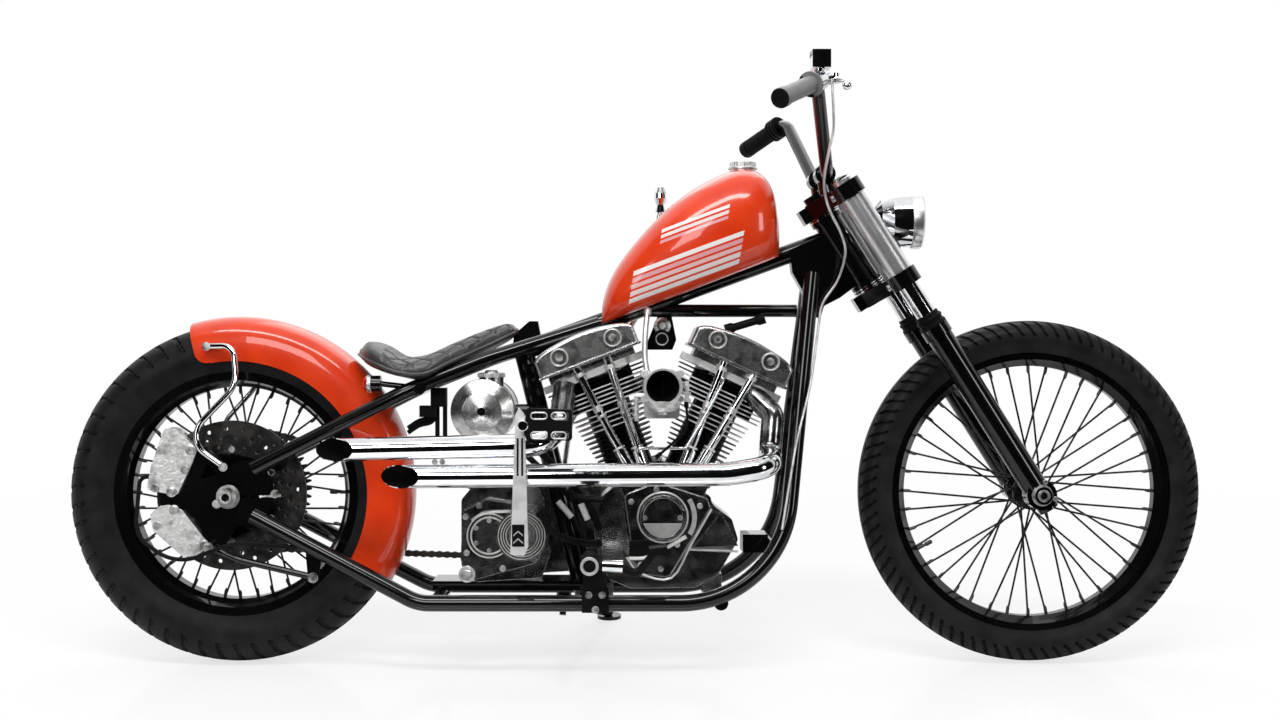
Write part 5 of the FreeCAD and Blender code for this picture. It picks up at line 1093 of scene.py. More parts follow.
@dataclass
class DragPipes:
    """The two open pipes: smooth mandrel bends, slashed tails, sooty bores and headers with a painted dark
    reflection.

    The bends follow the photograph more closely than the solids' arcs do.
    """

    name: str = "drag_pipes"
    node: str = "exhaust_pipes"
    radius: float = 22.25
    wall: float = 1.8
    slash: float = 76
    open_length: float = 210
    sides: int = 48
    rear: Places = ((179, -200, 430), (610, -200, 440), (640, -104, 470), (650, -74, 552))
    rear_bends: tuple[float, ...] = (48, 42)
    front: Places = (
        (303, -200, 380), (962, -200, 385), (1040, -198, 398), (1048, -110, 416), (1056, -92, 494),
        (1010, -50, 540))
    front_bends: tuple[float, ...] = (160, 40, 36, 26)

    def build(self, stance: Stance) -> None:
        """Make both pipes in the solids' place."""
        form = Form()
        for points, bends in ((self.rear, self.rear_bends), (self.front, self.front_bends)):
            self.pipe(form, arc_path(vectors(points), bends, 7.5))
        pipes = form.piece(self.name, Finish.CHROME, stance, "chassis", 30, "chrome")
        paint_faces(pipes, Finish.SOOT, stance, is_pipe_bore)
        # The headers get a painted dark reflection
        paint_faces(pipes, Finish.HEADER_PAINTED_REFLECTION, stance, is_header)
        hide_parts(self.node)

    def pipe(self, form: Form, path: list[Vector]) -> None:
        """Skin one pipe from the bottom of its bore out over the slashed lip and along to its port.

        Args:
            form: Form to add to.
            path: Points along the pipe's middle, from its tail.
        """
        tail, ahead = path[0], (path[1] - path[0]).normalized()
        bore = self.radius - self.wall
        rows = [[self.lip(tail, ahead, radius, step, reach) for step in range(self.sides)]
                for radius, reach in ((bore, self.open_length), (bore, None), (self.radius, None))]
        angles = [TURN * step / self.sides for step in range(self.sides)]
        side, up = self.axes(ahead)
        for before, point, after in zip(path, path[1:], path[2:] + [path[-1]]):
            way = (after - before).normalized()
            side = (side - way * side.dot(way)).normalized()
            up = side.cross(way) * (1 if side.cross(way).dot(up) > 0 else -1)
            rows.append([point + (side * math.cos(a) + up * math.sin(a)) * self.radius for a in angles])
        form.grid(rows, wrap_columns=True)
        form.cap(list(rows[0]))
        form.cap(list(rows[-1]))

    def axes(self, ahead: Vector) -> tuple[Vector, Vector]:
        """Give two directions square to a pipe's run: to the rider's right, and up."""
        side = (Vector(RIGHT) - ahead * ahead.dot(Vector(RIGHT))).normalized()
        return side, ahead.cross(side) * (1 if ahead.cross(side).z > 0 else -1)

    def lip(self, tail: Vector, ahead: Vector, radius: float, step: int, reach: Optional[float]) -> Vector:
        """Find a point on a ring at the tail, cut slantwise unless a reach is given."""
        side, up = self.axes(ahead)
        angle = TURN * step / self.sides
        run = reach if reach is not None else self.slash * (1 + math.cos(angle)) / 2
        return tail + (side * math.cos(angle) + up * math.sin(angle)) * radius + ahead * run


@dataclass
class Nipples:
    """Spoke nipples and the valve of one rim."""

    name: str
    body: str
    centre: Vector
    rim_r: float
    rim_y: float = 6
    count: int = 40
    length: float = 15
    radius: float = 3.4
    valve_angle: float = 0
    # Drop from the rim and radius along the valve's stem
    valve: Flats = ((34, 3.2), (31, 4.4), (20, 4.4), (19, 3), (0, 3.6))

    def build(self, stance: Stance) -> None:
        """Make the nipples and the valve stem."""
        form = Form()
        for index in range(self.count):
            angle = TURN * index / self.count
            side = 1 if index % 2 else -1
            out = Vector((math.cos(angle), 0, math.sin(angle)))
            top = self.centre + out * (self.rim_r + 1) + ACROSS * side * self.rim_y
            foot = self.centre + out * (self.rim_r - self.length) + ACROSS * side * (self.rim_y + 1.6)
            form.sweep([foot, foot.lerp(top, 0.18), foot.lerp(top, 0.24), top],
                       [self.radius * 0.62, self.radius * 0.7, self.radius, self.radius], 8)
        angle = self.valve_angle
        out = Vector((math.cos(angle), 0, math.sin(angle)))
        top = self.centre + out * (self.rim_r + 1)
        form.sweep([top - out * drop for drop, _ in self.valve], [radius for _, radius in self.valve], 12)
        form.piece(self.name, Finish.CHAIN, stance, self.body)


@dataclass(frozen=True)
class Saddle:
    """Solo saddle: quilted hide over foam on a steel pan, with a welt sewn in along its edge."""

    # Stations: x, underside, top, half width
    stations: tuple[tuple[float, ...], ...] = (
        (246, 606, 624, 52), (262, 590, 636, 98), (290, 577, 629, 124), (330, 566, 607, 134),
        (378, 560, 611, 126), (430, 585, 634, 100), (490, 613, 659, 66), (534, 637, 672, 46),
        (550, 650, 664, 30))
    # Half section: width and height as shares
    section: Flats = ((0, 0), (0.5, 0.02), (0.88, 0.08), (1, 0.26), (0.94, 0.7), (0.56, 0.97), (0, 1))
    widest_point: int = 3
    diamond: float = 44
    slant: float = 0.8
    seam_depth: float = 7
    seam_half: float = 2.8
    quilt_from: float = 296
    welt_r: float = 4.2
    stitch_pitch: float = 7
    stitch_r: float = 0.7
    stitch_lift: float = 1.6
    stitch_inset: float = 2.5
    # Share of the end section and how far past it each ring of the rounded ends lies
    rounding: Flats = ((0.82, 3.5), (0.5, 5.5), (0.04, 6.2))

    @property
    def widest(self) -> float:
        """Give the share of the height at which the section is widest."""
        return self.section[self.widest_point][1]

    def stations_line(self, steps: int) -> list[Vector]:
        """Smooth the stations, as x, underside, top and half width."""
        return smooth_path([Vector(station) for station in self.stations], steps)

    def seam(self, place: Vector, top: float) -> float:
        """Say how deep the quilting pulls the hide down.

        Args:
            place: Place on the hide.
            top: Height of the crest above it.

        Returns:
            Depth in mm.
        """
        if place.x < self.quilt_from:
            return 0
        girth = math.copysign(abs(place.y) + max(0, top - place.z), place.y)
        lines = [abs(((place.x + side * girth * self.slant) / self.diamond) % 1 - 0.5) * self.diamond
                 for side in (1, -1)]
        fade = min(1, (place.x - self.quilt_from) / self.seam_half)
        return fade * self.seam_depth * math.exp(-(min(lines) / self.seam_half) ** 2)

    def shade(self, place: Vector, low: float, top: float) -> float:
        """Say how much painted shade the hide gets at a place: full along the seams and towards the pan."""
        height = (place.z - low) / max(1, top - low)
        # Painted shade, growing towards the pan below and in the seams' creases above the widest line
        pan = min(1, max(0, 1 - height / 0.4))
        sewn = min(1, self.seam(place, top) / self.seam_depth)
        return max(pan, sewn if height > self.widest else 0)

    def rings(self) -> list[list[Vector]]:
        """List the sections from tail to nose."""
        rows = self.stations_line(24)
        half_section = smooth_path([Vector((width, height, 0)) for width, height in self.section], 12)
        rings = []
        for x, low, top, half in rows:
            ring = []
            for side, points in ((1, half_section), (-1, list(reversed(half_section))[1:-1])):
                for share in points:
                    place = Vector((x, side * half * share.x, low + (top - low) * share.y))
                    if share.y > self.widest:
                        place.z -= self.seam(place, top) * share.y
                    ring.append(place)
            rings.append(ring)
        return rings

    def edge(self) -> list[Vector]:
        """Follow the widest line from the right of the nose round the tail to the left."""
        rows = self.stations_line(4)
        share = self.widest
        right = [Vector((x, -half - 0.5, low + (top - low) * share)) for x, low, top, half in reversed(rows)]
        x, low, top, _ = rows[0]
        tail = [Vector((x - 5, y, low + (top - low) * share)) for y in (-26, 0, 26)]
        return right + tail + [Vector((p.x, -p.y, p.z)) for p in reversed(right)]

    def build(self, stance: Stance) -> None:
        """Make the cushion with its painted shade, its welt and the stitches beside it."""
        form = Form()
        rings = self.rings()
        for ring, x_step in ((rings[0], -1), (rings[-1], 1)):
            middle = sum(ring, Vector()) / len(ring)
            round_off = [[middle + (p - middle) * share + Vector((x_step * out, 0, 0)) for p in ring]
                         for share, out in self.rounding]
            if x_step < 0:
                rings = list(reversed(round_off)) + rings
            else:
                rings = rings + round_off
        form.grid(rings, wrap_columns=True)
        form.cap(list(reversed(rings[0])))
        form.cap(rings[-1])
        hide = form.piece("saddle_hide", Finish.LEATHER, stance, "chassis", ROUND_CREASE, "seat_leather")
        back = stance.to_row.inverted() @ hide.matrix_world
        # Store the painted shade on each point of the hide
        shade = hide.data.attributes.new(PAINTED_SHADE, "FLOAT", "POINT")
        rows = self.stations_line(24)
        values = []
        for vertex in hide.data.vertices:
            place = back @ vertex.co
            _, low, top, _ = min(rows, key=lambda row: abs(row[0] - place.x))
            values.append(self.shade(place, low, top))
        shade.data.foreach_set("value", values)
        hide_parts("seat")
        welt = Form()
        edge = self.edge()
        welt.sweep(edge, self.welt_r, 10)
        welt.piece("saddle_welt", Finish.LEATHER, stance, "chassis", ROUND_CREASE)
        stitches = Form()
        rise = Vector((0, 0, self.welt_r + self.stitch_lift))
        for before, after in zip(edge, edge[1:]):
            count = max(1, int((after - before).length / self.stitch_pitch))
            for index in range(count):
                start, end = (before.lerp(after, (index + share) / count) + rise for share in (0.2, 0.75))
                inward = Vector((0, -math.copysign(self.stitch_inset, start.y), 0))
                stitches.rod(start + inward, end + inward, self.stitch_r, 6)
        stitches.piece("saddle_stitches", Finish.THREAD, stance, "chassis")


@dataclass(frozen=True)
class DriveChain:
    """Roller chain round both sprockets, link by link, with the sprocket at the gearbox."""

    rear: Flat = (0, 336)
    front: Flat = (530, 257)
    y: float = 87
    pitch: float = 15.875
    teeth: tuple[int, int] = (48, 24)
    plate_r: float = 7
    waist: float = 4.6
    roller_r: float = 5.08
    pin_r: float = 2.5
    inner: Flat = (3.4, 5)
    outer: Flat = (5.2, 7)
    sprocket_half: float = 3

    def radii(self) -> Flat:
        """Give both pitch radii."""
        rear, front = (self.pitch / (2 * math.sin(math.pi / teeth)) for teeth in self.teeth)
        return rear, front

    def loop(self) -> list[Vector]:
        """Follow the closed line of the pins in small steps."""
        rear = Vector((self.rear[0], self.y, self.rear[1]))
        front = Vector((self.front[0], self.y, self.front[1]))
        big, small = self.radii()
        ahead = (front - rear).normalized()
        above = ACROSS.cross(ahead) * -1
        turn = math.asin((big - small) / (front - rear).length)
        path = []
        for centre, radius, start, end in ((front, small, math.pi / 2 - turn, turn - math.pi / 2),
                                           (rear, big, turn - math.pi / 2, -1.5 * math.pi - turn)):
            for step in range(FULL_SEGMENTS + 1):
                angle = start + (end - start) * step / FULL_SEGMENTS
                path.append(centre + (ahead * math.cos(angle) + above * math.sin(angle)) * radius)
        return path + [path[0]]

    def pins(self) -> list[Vector]:
        """Space the pins evenly, one for each link."""
        path = self.loop()
        lengths = [(b - a).length for a, b in zip(path, path[1:])]
        count = 2 * round(sum(lengths) / self.pitch / 2)
        step = sum(lengths) / count
        pins, travelled, wanted = [], 0, 0
        for start, end, length in zip(path, path[1:], lengths):
            while wanted <= travelled + length and len(pins) < count:
                pins.append(start.lerp(end, (wanted - travelled) / length))
                wanted += step
            travelled += length
        return pins

    def plate_outline(self, a: Vector, b: Vector, y: float) -> list[Vector]:
        """Draw a waisted link plate round two pins.

        Args:
            a: First pin.
            b: Next pin.
            y: Place of the plate across the chain.

        Returns:
            Points of the outline.
        """
        ahead = (b - a).normalized()
        above = ahead.cross(ACROSS)
        outline = []
        for centre, way in ((a, -1), (b, 1)):
            for angle in (-70, -35, 0, 35, 70):
                turn = math.radians(angle)
                out = ahead * way * math.cos(turn) + above * way * math.sin(turn)
                outline.append(centre + out * self.plate_r)
            outline.append((a + b) / 2 + above * way * self.waist)
        lift = Vector((0, y, 0))
        return [point + lift for point in outline]

    def build(self, stance: Stance) -> None:
        """Make the links and the small sprocket."""
        form = Form()
        pins = self.pins()
        for index, (a, b) in enumerate(zip(pins, pins[1:] + pins[:1])):
            near, far = self.outer if index % 2 else self.inner
            for side in (1, -1):
                form.slab(self.plate_outline(a, b, side * near), ACROSS * side * (far - near))
            roller, pin = ACROSS * (self.inner[0] - 0.1), ACROSS * (self.outer[1] + 1)
            form.rod(a - roller, a + roller, self.roller_r, 12)
            form.rod(a - pin, a + pin, self.pin_r, 8)
        radius = self.radii()[1]
        teeth = self.teeth[1]
        outline = []
        for index in range(teeth):
            for share, reach in ((-0.22, -self.roller_r), (0.22, -self.roller_r), (0.4, self.roller_r * 0.9),
                                 (0.6, self.roller_r * 0.9)):
                angle = TURN * (index + share) / teeth
                outline.append(Vector((self.front[0] + (radius + reach) * math.cos(angle),
                                       self.y - self.sprocket_half,
                                       self.front[1] + (radius + reach) * math.sin(angle))))
        form.slab(outline, ACROSS * self.sprocket_half * 2)
        chain = form.piece("chain_links", Finish.CHAIN, stance, "chassis", 34, "drive_steel")
        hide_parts("drive_chain")


TYRES = (
    Tyre("tyre_rear_cut", "rear_tyre", "rear_wheel", REAR_AXLE, 336, 245, 62, 51, Tread.ROAD_BLOCK),
    Tyre("tyre_front_cut", "front_tyre", "front_wheel", FRONT_AXLE, 339, 281, 45, 34,
         Tread.SIPED_SHOULDER),
)
NIPPLES = (
    Nipples("nipples_rear", "rear_wheel", REAR_AXLE, 211),
    Nipples("nipples_front", "front_wheel", FRONT_AXLE, 249, valve_angle=math.radians(208)),
)


class Head(Enum):
    """Shapes of a fastener's head."""

    HEXAGON = "hexagon"
    SOCKET = "socket"


@dataclass(frozen=True)
class Fastener:
    """One screw, nut or bolt, where it sits and how it faces."""

    place: Place
    size: float
    height: float = 5
    facing: Place = RIGHT
    head: Head = Head.HEXAGON
    washer_r: float = 0
    washer_height: float = 2.6
    washer_rim: float = 1.8
    washer_edge: float = 1.2

    def add(self, form: Form) -> None:
        """Put it into a form, on its washer where it has one."""
        out = Vector(self.facing).normalized()
        seat = Vector(self.place)
        if self.washer_r:
            profile = [(0, 0), (self.washer_r, 0), (self.washer_r, self.washer_rim),
                       (self.washer_r - self.washer_edge, self.washer_height), (0, self.washer_height)]
            form.lathe(profile, seat, out, out.orthogonal().normalized(), FINE_SEGMENTS, closed=False)
            seat = seat + out * self.washer_height
        if self.head is Head.SOCKET:
            form.cap_screw(seat, out, self.size, self.height)
        else:
            form.bolt(seat, out, self.size, self.height, washer=not self.washer_r)


@dataclass(frozen=True)
class FaceGroup:
    """Like fasteners on one face across the machine, placed by x and z."""

    part: str
    y: float
    size: float
    height: float
    places: Flats
    facing: Place = RIGHT
    head: Head = Head.SOCKET
    washer_r: float = 0

    def listed(self) -> list[Fastener]:
        """List its fasteners."""
        return [Fastener((x, self.y, z), self.size, self.height, self.facing, self.head, self.washer_r)
                for x, z in self.places]


def circle(middle: Flat, radius: float, count: int, phase: float) -> Flats:
    """Space places evenly round a circle, seen from the side.

    Args:
        middle: X and z of its middle.
        radius: Radius of the circle.
        count: How many places.
        phase: Turn of the first, in degrees.

    Returns:
        X and z of each place.
    """
    x, z = middle
    turns = [math.radians(phase) + TURN * index / count for index in range(count)]
    return tuple((x + radius * math.cos(a), z + radius * math.sin(a)) for a in turns)


# Middles that screws, rings and plates of the engine share, as x and z, and the faces they lie on, as y
ROCKER_SCREWS: Flats = ((742.7, 643.6), (638.8, 604.6), (948.3, 639.9), (1051, 596.6))
ROCKER_FACES: Flat = (-90, 64)
CAM_FACE = -118
TIMER: Flat = (840, 296)
GEARBOX_FACE = -114
CLUTCH: Flat = (504, 260)
DRAIN: Flat = (461, 185)
PRIMARY_FACE = 160
PRIMARY_REAR: Flat = (540, 254)
PRIMARY_FRONT: Flat = (831, 254)
DERBY_FACE = 166

FACE_GROUPS: tuple[FaceGroup, ...] = (
    FaceGroup("rocker boxes", ROCKER_FACES[0], 7.5, 5, ROCKER_SCREWS),
    FaceGroup("rocker boxes", ROCKER_FACES[1], 7.5, 5, ROCKER_SCREWS, LEFT),
    FaceGroup("cam cover", CAM_FACE, 5.5, 4, ((912, 318), (868, 243), (836, 196), (797, 204),
                                                (779, 326), (828, 350))),
    FaceGroup("timer cover", -127.5, 5, 3, ((805.5, 296), (873.5, 296))),
    FaceGroup("clutch cover", GEARBOX_FACE, 4.6, 3.5, circle(CLUTCH, 29, 6, 30)),
    FaceGroup("kicker cover", -108, 6, 5, ((458, 296), (460, 226), (484, 318), (590, 304),
                                                 (607, 262), (590, 214), (530, 196))),
    FaceGroup("drain plug", GEARBOX_FACE, 17, 5, (DRAIN,), head=Head.HEXAGON),
    FaceGroup("calipers", -118, 8, 6, ((-73.5, 427), (-110.5, 345), (-105, 310), (-48, 243)),
              washer_r=10),
    FaceGroup("anchor rod", -134, 13, 6, ((-36, 239), (166, 181)), head=Head.HEXAGON),
    FaceGroup("axle plates", -122.5, 11, 5, ((-22, 322), (58, 392)), head=Head.HEXAGON),
    FaceGroup("strut top", -86, 11, 5, ((-50, 627),), RIGHT, Head.HEXAGON),
    FaceGroup("strut foot", -134, 11, 5, ((-7, 394),), RIGHT, Head.HEXAGON),
    FaceGroup("strut top", 86, 11, 5, ((-50, 627),), LEFT, Head.HEXAGON),
    FaceGroup("strut foot", 134, 11, 5, ((-7, 394),), LEFT, Head.HEXAGON),
    FaceGroup("primary cover", PRIMARY_FACE, 5.5, 4, circle(PRIMARY_REAR, 76, 5, 90), LEFT),
    FaceGroup("primary cover", PRIMARY_FACE, 5.5, 4, circle(PRIMARY_FRONT, 58, 5, 270), LEFT),
    FaceGroup("derby cover", DERBY_FACE, 4, 2.5, circle(PRIMARY_REAR, 46, 5, 18), LEFT),
    FaceGroup("top mount", -8, 15, 7, ((842, 668),), RIGHT, Head.HEXAGON, 17),
    FaceGroup("top mount", 8, 15, 7, ((842, 668),), LEFT, Head.HEXAGON, 17),
    FaceGroup("pipe bracket", -206, 7, 3, ((408, 408.7), (422, 408.7)), head=Head.HEXAGON),
    FaceGroup("rail clamp", -159, 9, 5, ((697, 151), (723, 151), (710, 123)), head=Head.HEXAGON),
)


@dataclass(frozen=True)
class ChassisFasteners:
    """The screws and nuts of the engine, gearbox, brake and frame."""

    name: str = "chassis_fasteners"
    body: str = "chassis"
    nut_height: float = 140
    nut_along: float = 50
    nut_across: float = 26

    def base_nuts(self) -> list[Fastener]:
        """List the four nuts at each barrel's foot, which face along its cylinder."""
        nuts = []
        for tilt in TILTS:
            lean = math.radians(tilt)
            facing = (math.sin(lean), 0, math.cos(lean))
            for along in (-self.nut_along, self.nut_along):
                x = CRANK.x + math.sin(lean) * self.nut_height + math.cos(lean) * along
                z = CRANK.z + math.cos(lean) * self.nut_height - math.sin(lean) * along
                nuts += [Fastener((x, side * self.nut_across, z), 13, 9, facing) for side in SIDES]
        return nuts

    def listed(self) -> list[Fastener]:
        """List them all."""
        return [one for group in FACE_GROUPS for one in group.listed()] + self.base_nuts()


@dataclass(frozen=True)
class SteeringFasteners:
    """The pinch bolts of the bridges, the bar clamps and the sliders' feet."""

    name: str = "steering_fasteners"
    body: str = "steering"
    bridge_heights: Flat = (495, 699)
    pinch_back: float = 31
    clamp: Place = (1159, BAR_CLAMP_Y, 984)
    clamp_edge: float = 13
    foot_out: float = 18
    foot_rise: float = 19

    def listed(self) -> list[Fastener]:
        """List them all."""
        rows = []
        back = tuple(-FORK_OUT)
        for height in self.bridge_heights:
            for side in SIDES:
                place = fork_point(height, side * FORK_HALF, STEER_OFFSET - self.pinch_back)
                rows.append(Fastener(tuple(place), 7, 6, back, Head.SOCKET))
        x, y, z = self.clamp
        for side in SIDES:
            for edge in (-self.clamp_edge, self.clamp_edge):
                rows.append(Fastener((x, side * y + edge, z), 5.5, 6, UP, Head.SOCKET))
            for rise in (-self.foot_rise, self.foot_rise):
                foot = (FRONT_AXLE.x + rise * FORK_UP.x + self.foot_out * FORK_OUT.x, side * SLIDER_FACE,
                        FRONT_AXLE.z + rise * FORK_UP.z + self.foot_out * FORK_OUT.z)
                rows.append(Fastener(foot, 5, 5, (0, side, 0), Head.SOCKET))
        return rows


@dataclass(frozen=True)
class Line:
    """A pipe, hose or cable between two fittings that hold it."""

    name: str
    points: Places
    radius: float
    finish: Finish
    ferrule: float = 0
    ferrule_length: float = 14
    barrel_share: float = 0.7
    sides: int = 12

    def build(self, stance: Stance) -> None:
        """Make the line and the ferrule at each end."""
        form = Form()
        path = smooth_path(vectors(self.points))
        form.sweep(path, self.radius, self.sides)
        for end, inner in ((path[0], path[2]), (path[-1], path[-3])):
            along = (inner - end).normalized()
            barrel = end + along * self.ferrule_length * self.barrel_share
            ferrule = [end, barrel, end + along * self.ferrule_length]
            form.sweep(ferrule, [self.ferrule, self.ferrule, self.radius], self.sides)
        form.piece(self.name, self.finish, stance, "chassis")


LINES = (
    Line("rocker_oil_line", ((731.9, -76, 602), (741.7, -88, 578.6), (790.3, -104, 435.1),
                             (800, -106, 429.4), (879.6, -106, 429.4), (891.3, -104, 439),
                             (954.4, -90, 549.4), (951, -80, 570.7)), 3, Finish.CHROME, 5, 9),
    Line("gearbox_breather", ((600.8, -108, 304.6), (626, -124, 270.3), (652.9, -122, 254.4),
                              (689.5, -100, 243.7), (716, -60, 240)), 6.5, Finish.GRIP, 8.5),
    Line("oil_feed_hose", ((560, -70, 452), (600, -84, 420), (650, -78, 372),
                           (700, -66, 310), (716, -52, 268)), 6.5, Finish.GRIP, 8.5),
    Line("oil_return_hose", ((540, -60, 446), (584, -70, 404), (640, -62, 350),
                             (690, -50, 300), (712, -40, 286)), 6, Finish.GRIP, 8),
    Line("fuel_line", ((812, -60, 700), (807, -84, 652), (806, -100, 604),
                       (812, -112, 566)), 5.5, Finish.SATIN_ALLOY, 8),
    Line("throttle_cable", ((885, -128, 520), (885, -134, 470), (861, -128, 442),
                            (828, -112, 412)), 2.6, Finish.GRIP, 4.5),
    Line("coil_boot", ((966.4, -22, 659.4), (992, -24, 667), (1045.1, -28, 683)), 8, Finish.GRIP,
         11, 20),
)


@dataclass(frozen=True)
class ControlCable:
    """The control cable from the right bar past the neck to the gearbox."""

    points: Places = (
        (1145, -300, 1117), (1147.3, -300, 1079.8), (1149.5, -290, 1027.6), (1145.9, -258, 994.2),
        (1143.9, -190, 945.4), (1153.6, -132, 914.5), (1166.1, -110, 885.4), (1188, -92, 846.6),
        (1198.3, -76, 809.2), (1185.2, -62, 757), (1155.5, -60, 710.1), (1146.6, -64, 658.9),
        (1128.7, -84, 551.2), (1101.4, -103, 444.6), (1086.5, -116, 367.8), (1069.4, -131, 272.7))
    radius: float = 2.6
    sides: int = 12
    bend_start: Place = (1160, -90, 905)
    bend_end: Place = (1150, -64, 690)

    def build(self, stance: Stance) -> None:
        """Run the cable along its points, on no body."""
        form = Form()
        form.sweep(smooth_path(vectors(self.points)), self.radius, self.sides)
        made = form.piece("control_cable", Finish.SATIN_ALLOY, stance, None)
        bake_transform(made)


@dataclass(frozen=True)
class Ring:
    """A turned ring, or a disc where the inner radius is 0, with a small chamfer."""

    outer: float
    inner: float
    height: float
    edge: float = 0.8

    def add(self, form: Form, centre: Vector | Place, axis: Vector | Place) -> None:
        """Put it into a form.

        Args:
            form: Form to add to.
            centre: Middle of its foot.
            axis: Way it rises.
        """
        up, hollow = Vector(axis).normalized(), self.inner > 0
        shoulder = self.height - self.edge
        profile = [(self.inner, 0), (self.outer, 0), (self.outer, shoulder)]
        profile.append((self.outer - self.edge, self.height))
        if hollow:
            profile += [(self.inner + self.edge, self.height), (self.inner, shoulder)]
        else:
            profile.append((0, self.height))
        across = up.orthogonal().normalized()
        form.lathe(profile, Vector(centre), up, across, FULL_SEGMENTS // 2, closed=hollow)


@dataclass
class TrimForms:
    """The meshes that the engine's trim goes into, one for each finish."""

    bright: Form = field(default_factory=Form)
    chrome: Form = field(default_factory=Form)
    black: Form = field(default_factory=Form)

    def pieces(self, stance: Stance) -> None:
        """Make one piece of each."""
        for name, form, finish in (("engine_trim", self.bright, Finish.SATIN_ALLOY),
                                   ("chrome_trim", self.chrome, Finish.CHROME),
                                   ("rubber_trim", self.black, Finish.GRIP)):
            form.piece(name, finish, stance, "chassis", TRIM_CREASE)


def add_knurls(form: Form, centre: Vector, radius: float, length: float, count: int = 28,
               knurl_r: float = 1.3) -> None:
    """Set upright ridges round a cap.

    Args:
        form: Form to add to.
        centre: Middle of the cap at the ridges' feet.
        radius: Radius of the cap.
        length: Length of a ridge.
        count: How many.
        knurl_r: Radius of a ridge.
    """
    for index in range(count):
        angle = TURN * index / count
        foot = centre + Vector((radius * math.cos(angle), radius * math.sin(angle), 0))
        form.rod(foot, foot + Vector((0, 0, length)), knurl_r, 6)


@dataclass(frozen=True)
class CarburettorTrim:
    """The carburettor's bell mouth, float bowl, lid studs, throttle plate and the two cups beside it."""

    mouth: Place = (838, -200, 550)
    bell: Flats = ((31, -9), (31, 1), (32.5, 2.6), (35.5, 2.6), (38, 0.6), (38, -5), (36, -9))
    bowl_top: Place = (838, -172, 522)
    bowl: Flats = ((0, 26), (8, 26), (9, 21), (24, 19), (31, 12), (34, 0), (0, 0))
    stud: Ring = Ring(8, 0, 6, 1.5)
    stud_reach: Flat = (34, 24)
    stud_back: float = 52
    # Top of each cup's stem and the stem's length
    stems: tuple[tuple[Place, float], ...] = (((789, -140, 531), 48), ((886, -140, 560), 40))
    stem_r: float = 4.5
    cup: Ring = Ring(8, 4, 5)
    cup_drops: tuple[float, ...] = (6, 22, 34)
    plate: tuple[Flat, Flat] = ((838, 519), (840.5, 581))
    plate_y: float = -146
    plate_width: float = 4

    def add(self, forms: TrimForms) -> None:
        """Put it into the engine's trim."""
        bright, mouth, down = forms.bright, Vector(self.mouth), Vector(DOWN)
        bright.lathe(self.bell, mouth, Vector(RIGHT), Vector(AHEAD))
        bright.lathe(self.bowl, Vector(self.bowl_top), down, ACROSS, FULL_SEGMENTS // 2, closed=False)
        for place, length in self.stems:
            top = Vector(place)
            bright.rod(top, top + down * length, self.stem_r)
            for drop in self.cup_drops:
                self.cup.add(bright, top + down * drop, down)
        for dx in (-self.stud_reach[0], self.stud_reach[0]):
            for dz in (-self.stud_reach[1], self.stud_reach[1]):
                self.stud.add(bright, mouth + Vector((dx, self.stud_back, dz)), RIGHT)
        forms.black.slab(rectangle(*self.plate, self.plate_y), Vector(RIGHT) * self.plate_width)


@dataclass(frozen=True)
class PushrodCollars:
    """The turned collars along the four pushrod tubes."""

    foot_y: float = -92
    foot_z: float = 397
    top_y: float = -80
    # X of a tube's foot, and x and z of its top
    tubes: Triples = ((772, 674, 579), (802, 734, 597), (884, 960, 593), (914, 1020, 573))
    bore: float = 7.6
    # Share of the way up, radius and height
    collars: Triples = ((0.16, 12.5, 4), (0.5, 10, 5), (0.56, 9.4, 12), (0.93, 11, 8))

    def add(self, forms: TrimForms) -> None:
        """Put them into the engine's trim."""
        for foot_x, top_x, top_z in self.tubes:
            foot, top = Vector((foot_x, self.foot_y, self.foot_z)), Vector((top_x, self.top_y, top_z))
            for share, radius, height in self.collars:
                Ring(radius, self.bore, height).add(forms.bright, foot.lerp(top, share), top - foot)


@dataclass(frozen=True)
class TopMount:
    """The rubber bushes of the engine's top mount, and the rings of the rocker boxes."""

    centre: Place = (841, -8, 641.5)
    width: float = 16
    bush: Ring = Ring(18, 0, 5)
    insert: Ring = Ring(13, 10.5, 1.2, 0.4)
    rocker_ring: Ring = Ring(18, 14.6, 5.5, 1.2)

    def add(self, forms: TrimForms) -> None:
        """Put them into the engine's trim."""
        right, left, centre = Vector(RIGHT), Vector(LEFT), Vector(self.centre)
        self.insert.add(forms.bright, centre + right * self.bush.height, right)
        for x, z in ROCKER_SCREWS:
            for side, y in zip(SIDES, ROCKER_FACES):
                self.rocker_ring.add(forms.bright, (x, y, z), (0, side, 0))
        self.bush.add(forms.black, centre, right)
        self.bush.add(forms.black, centre + left * self.width, left)


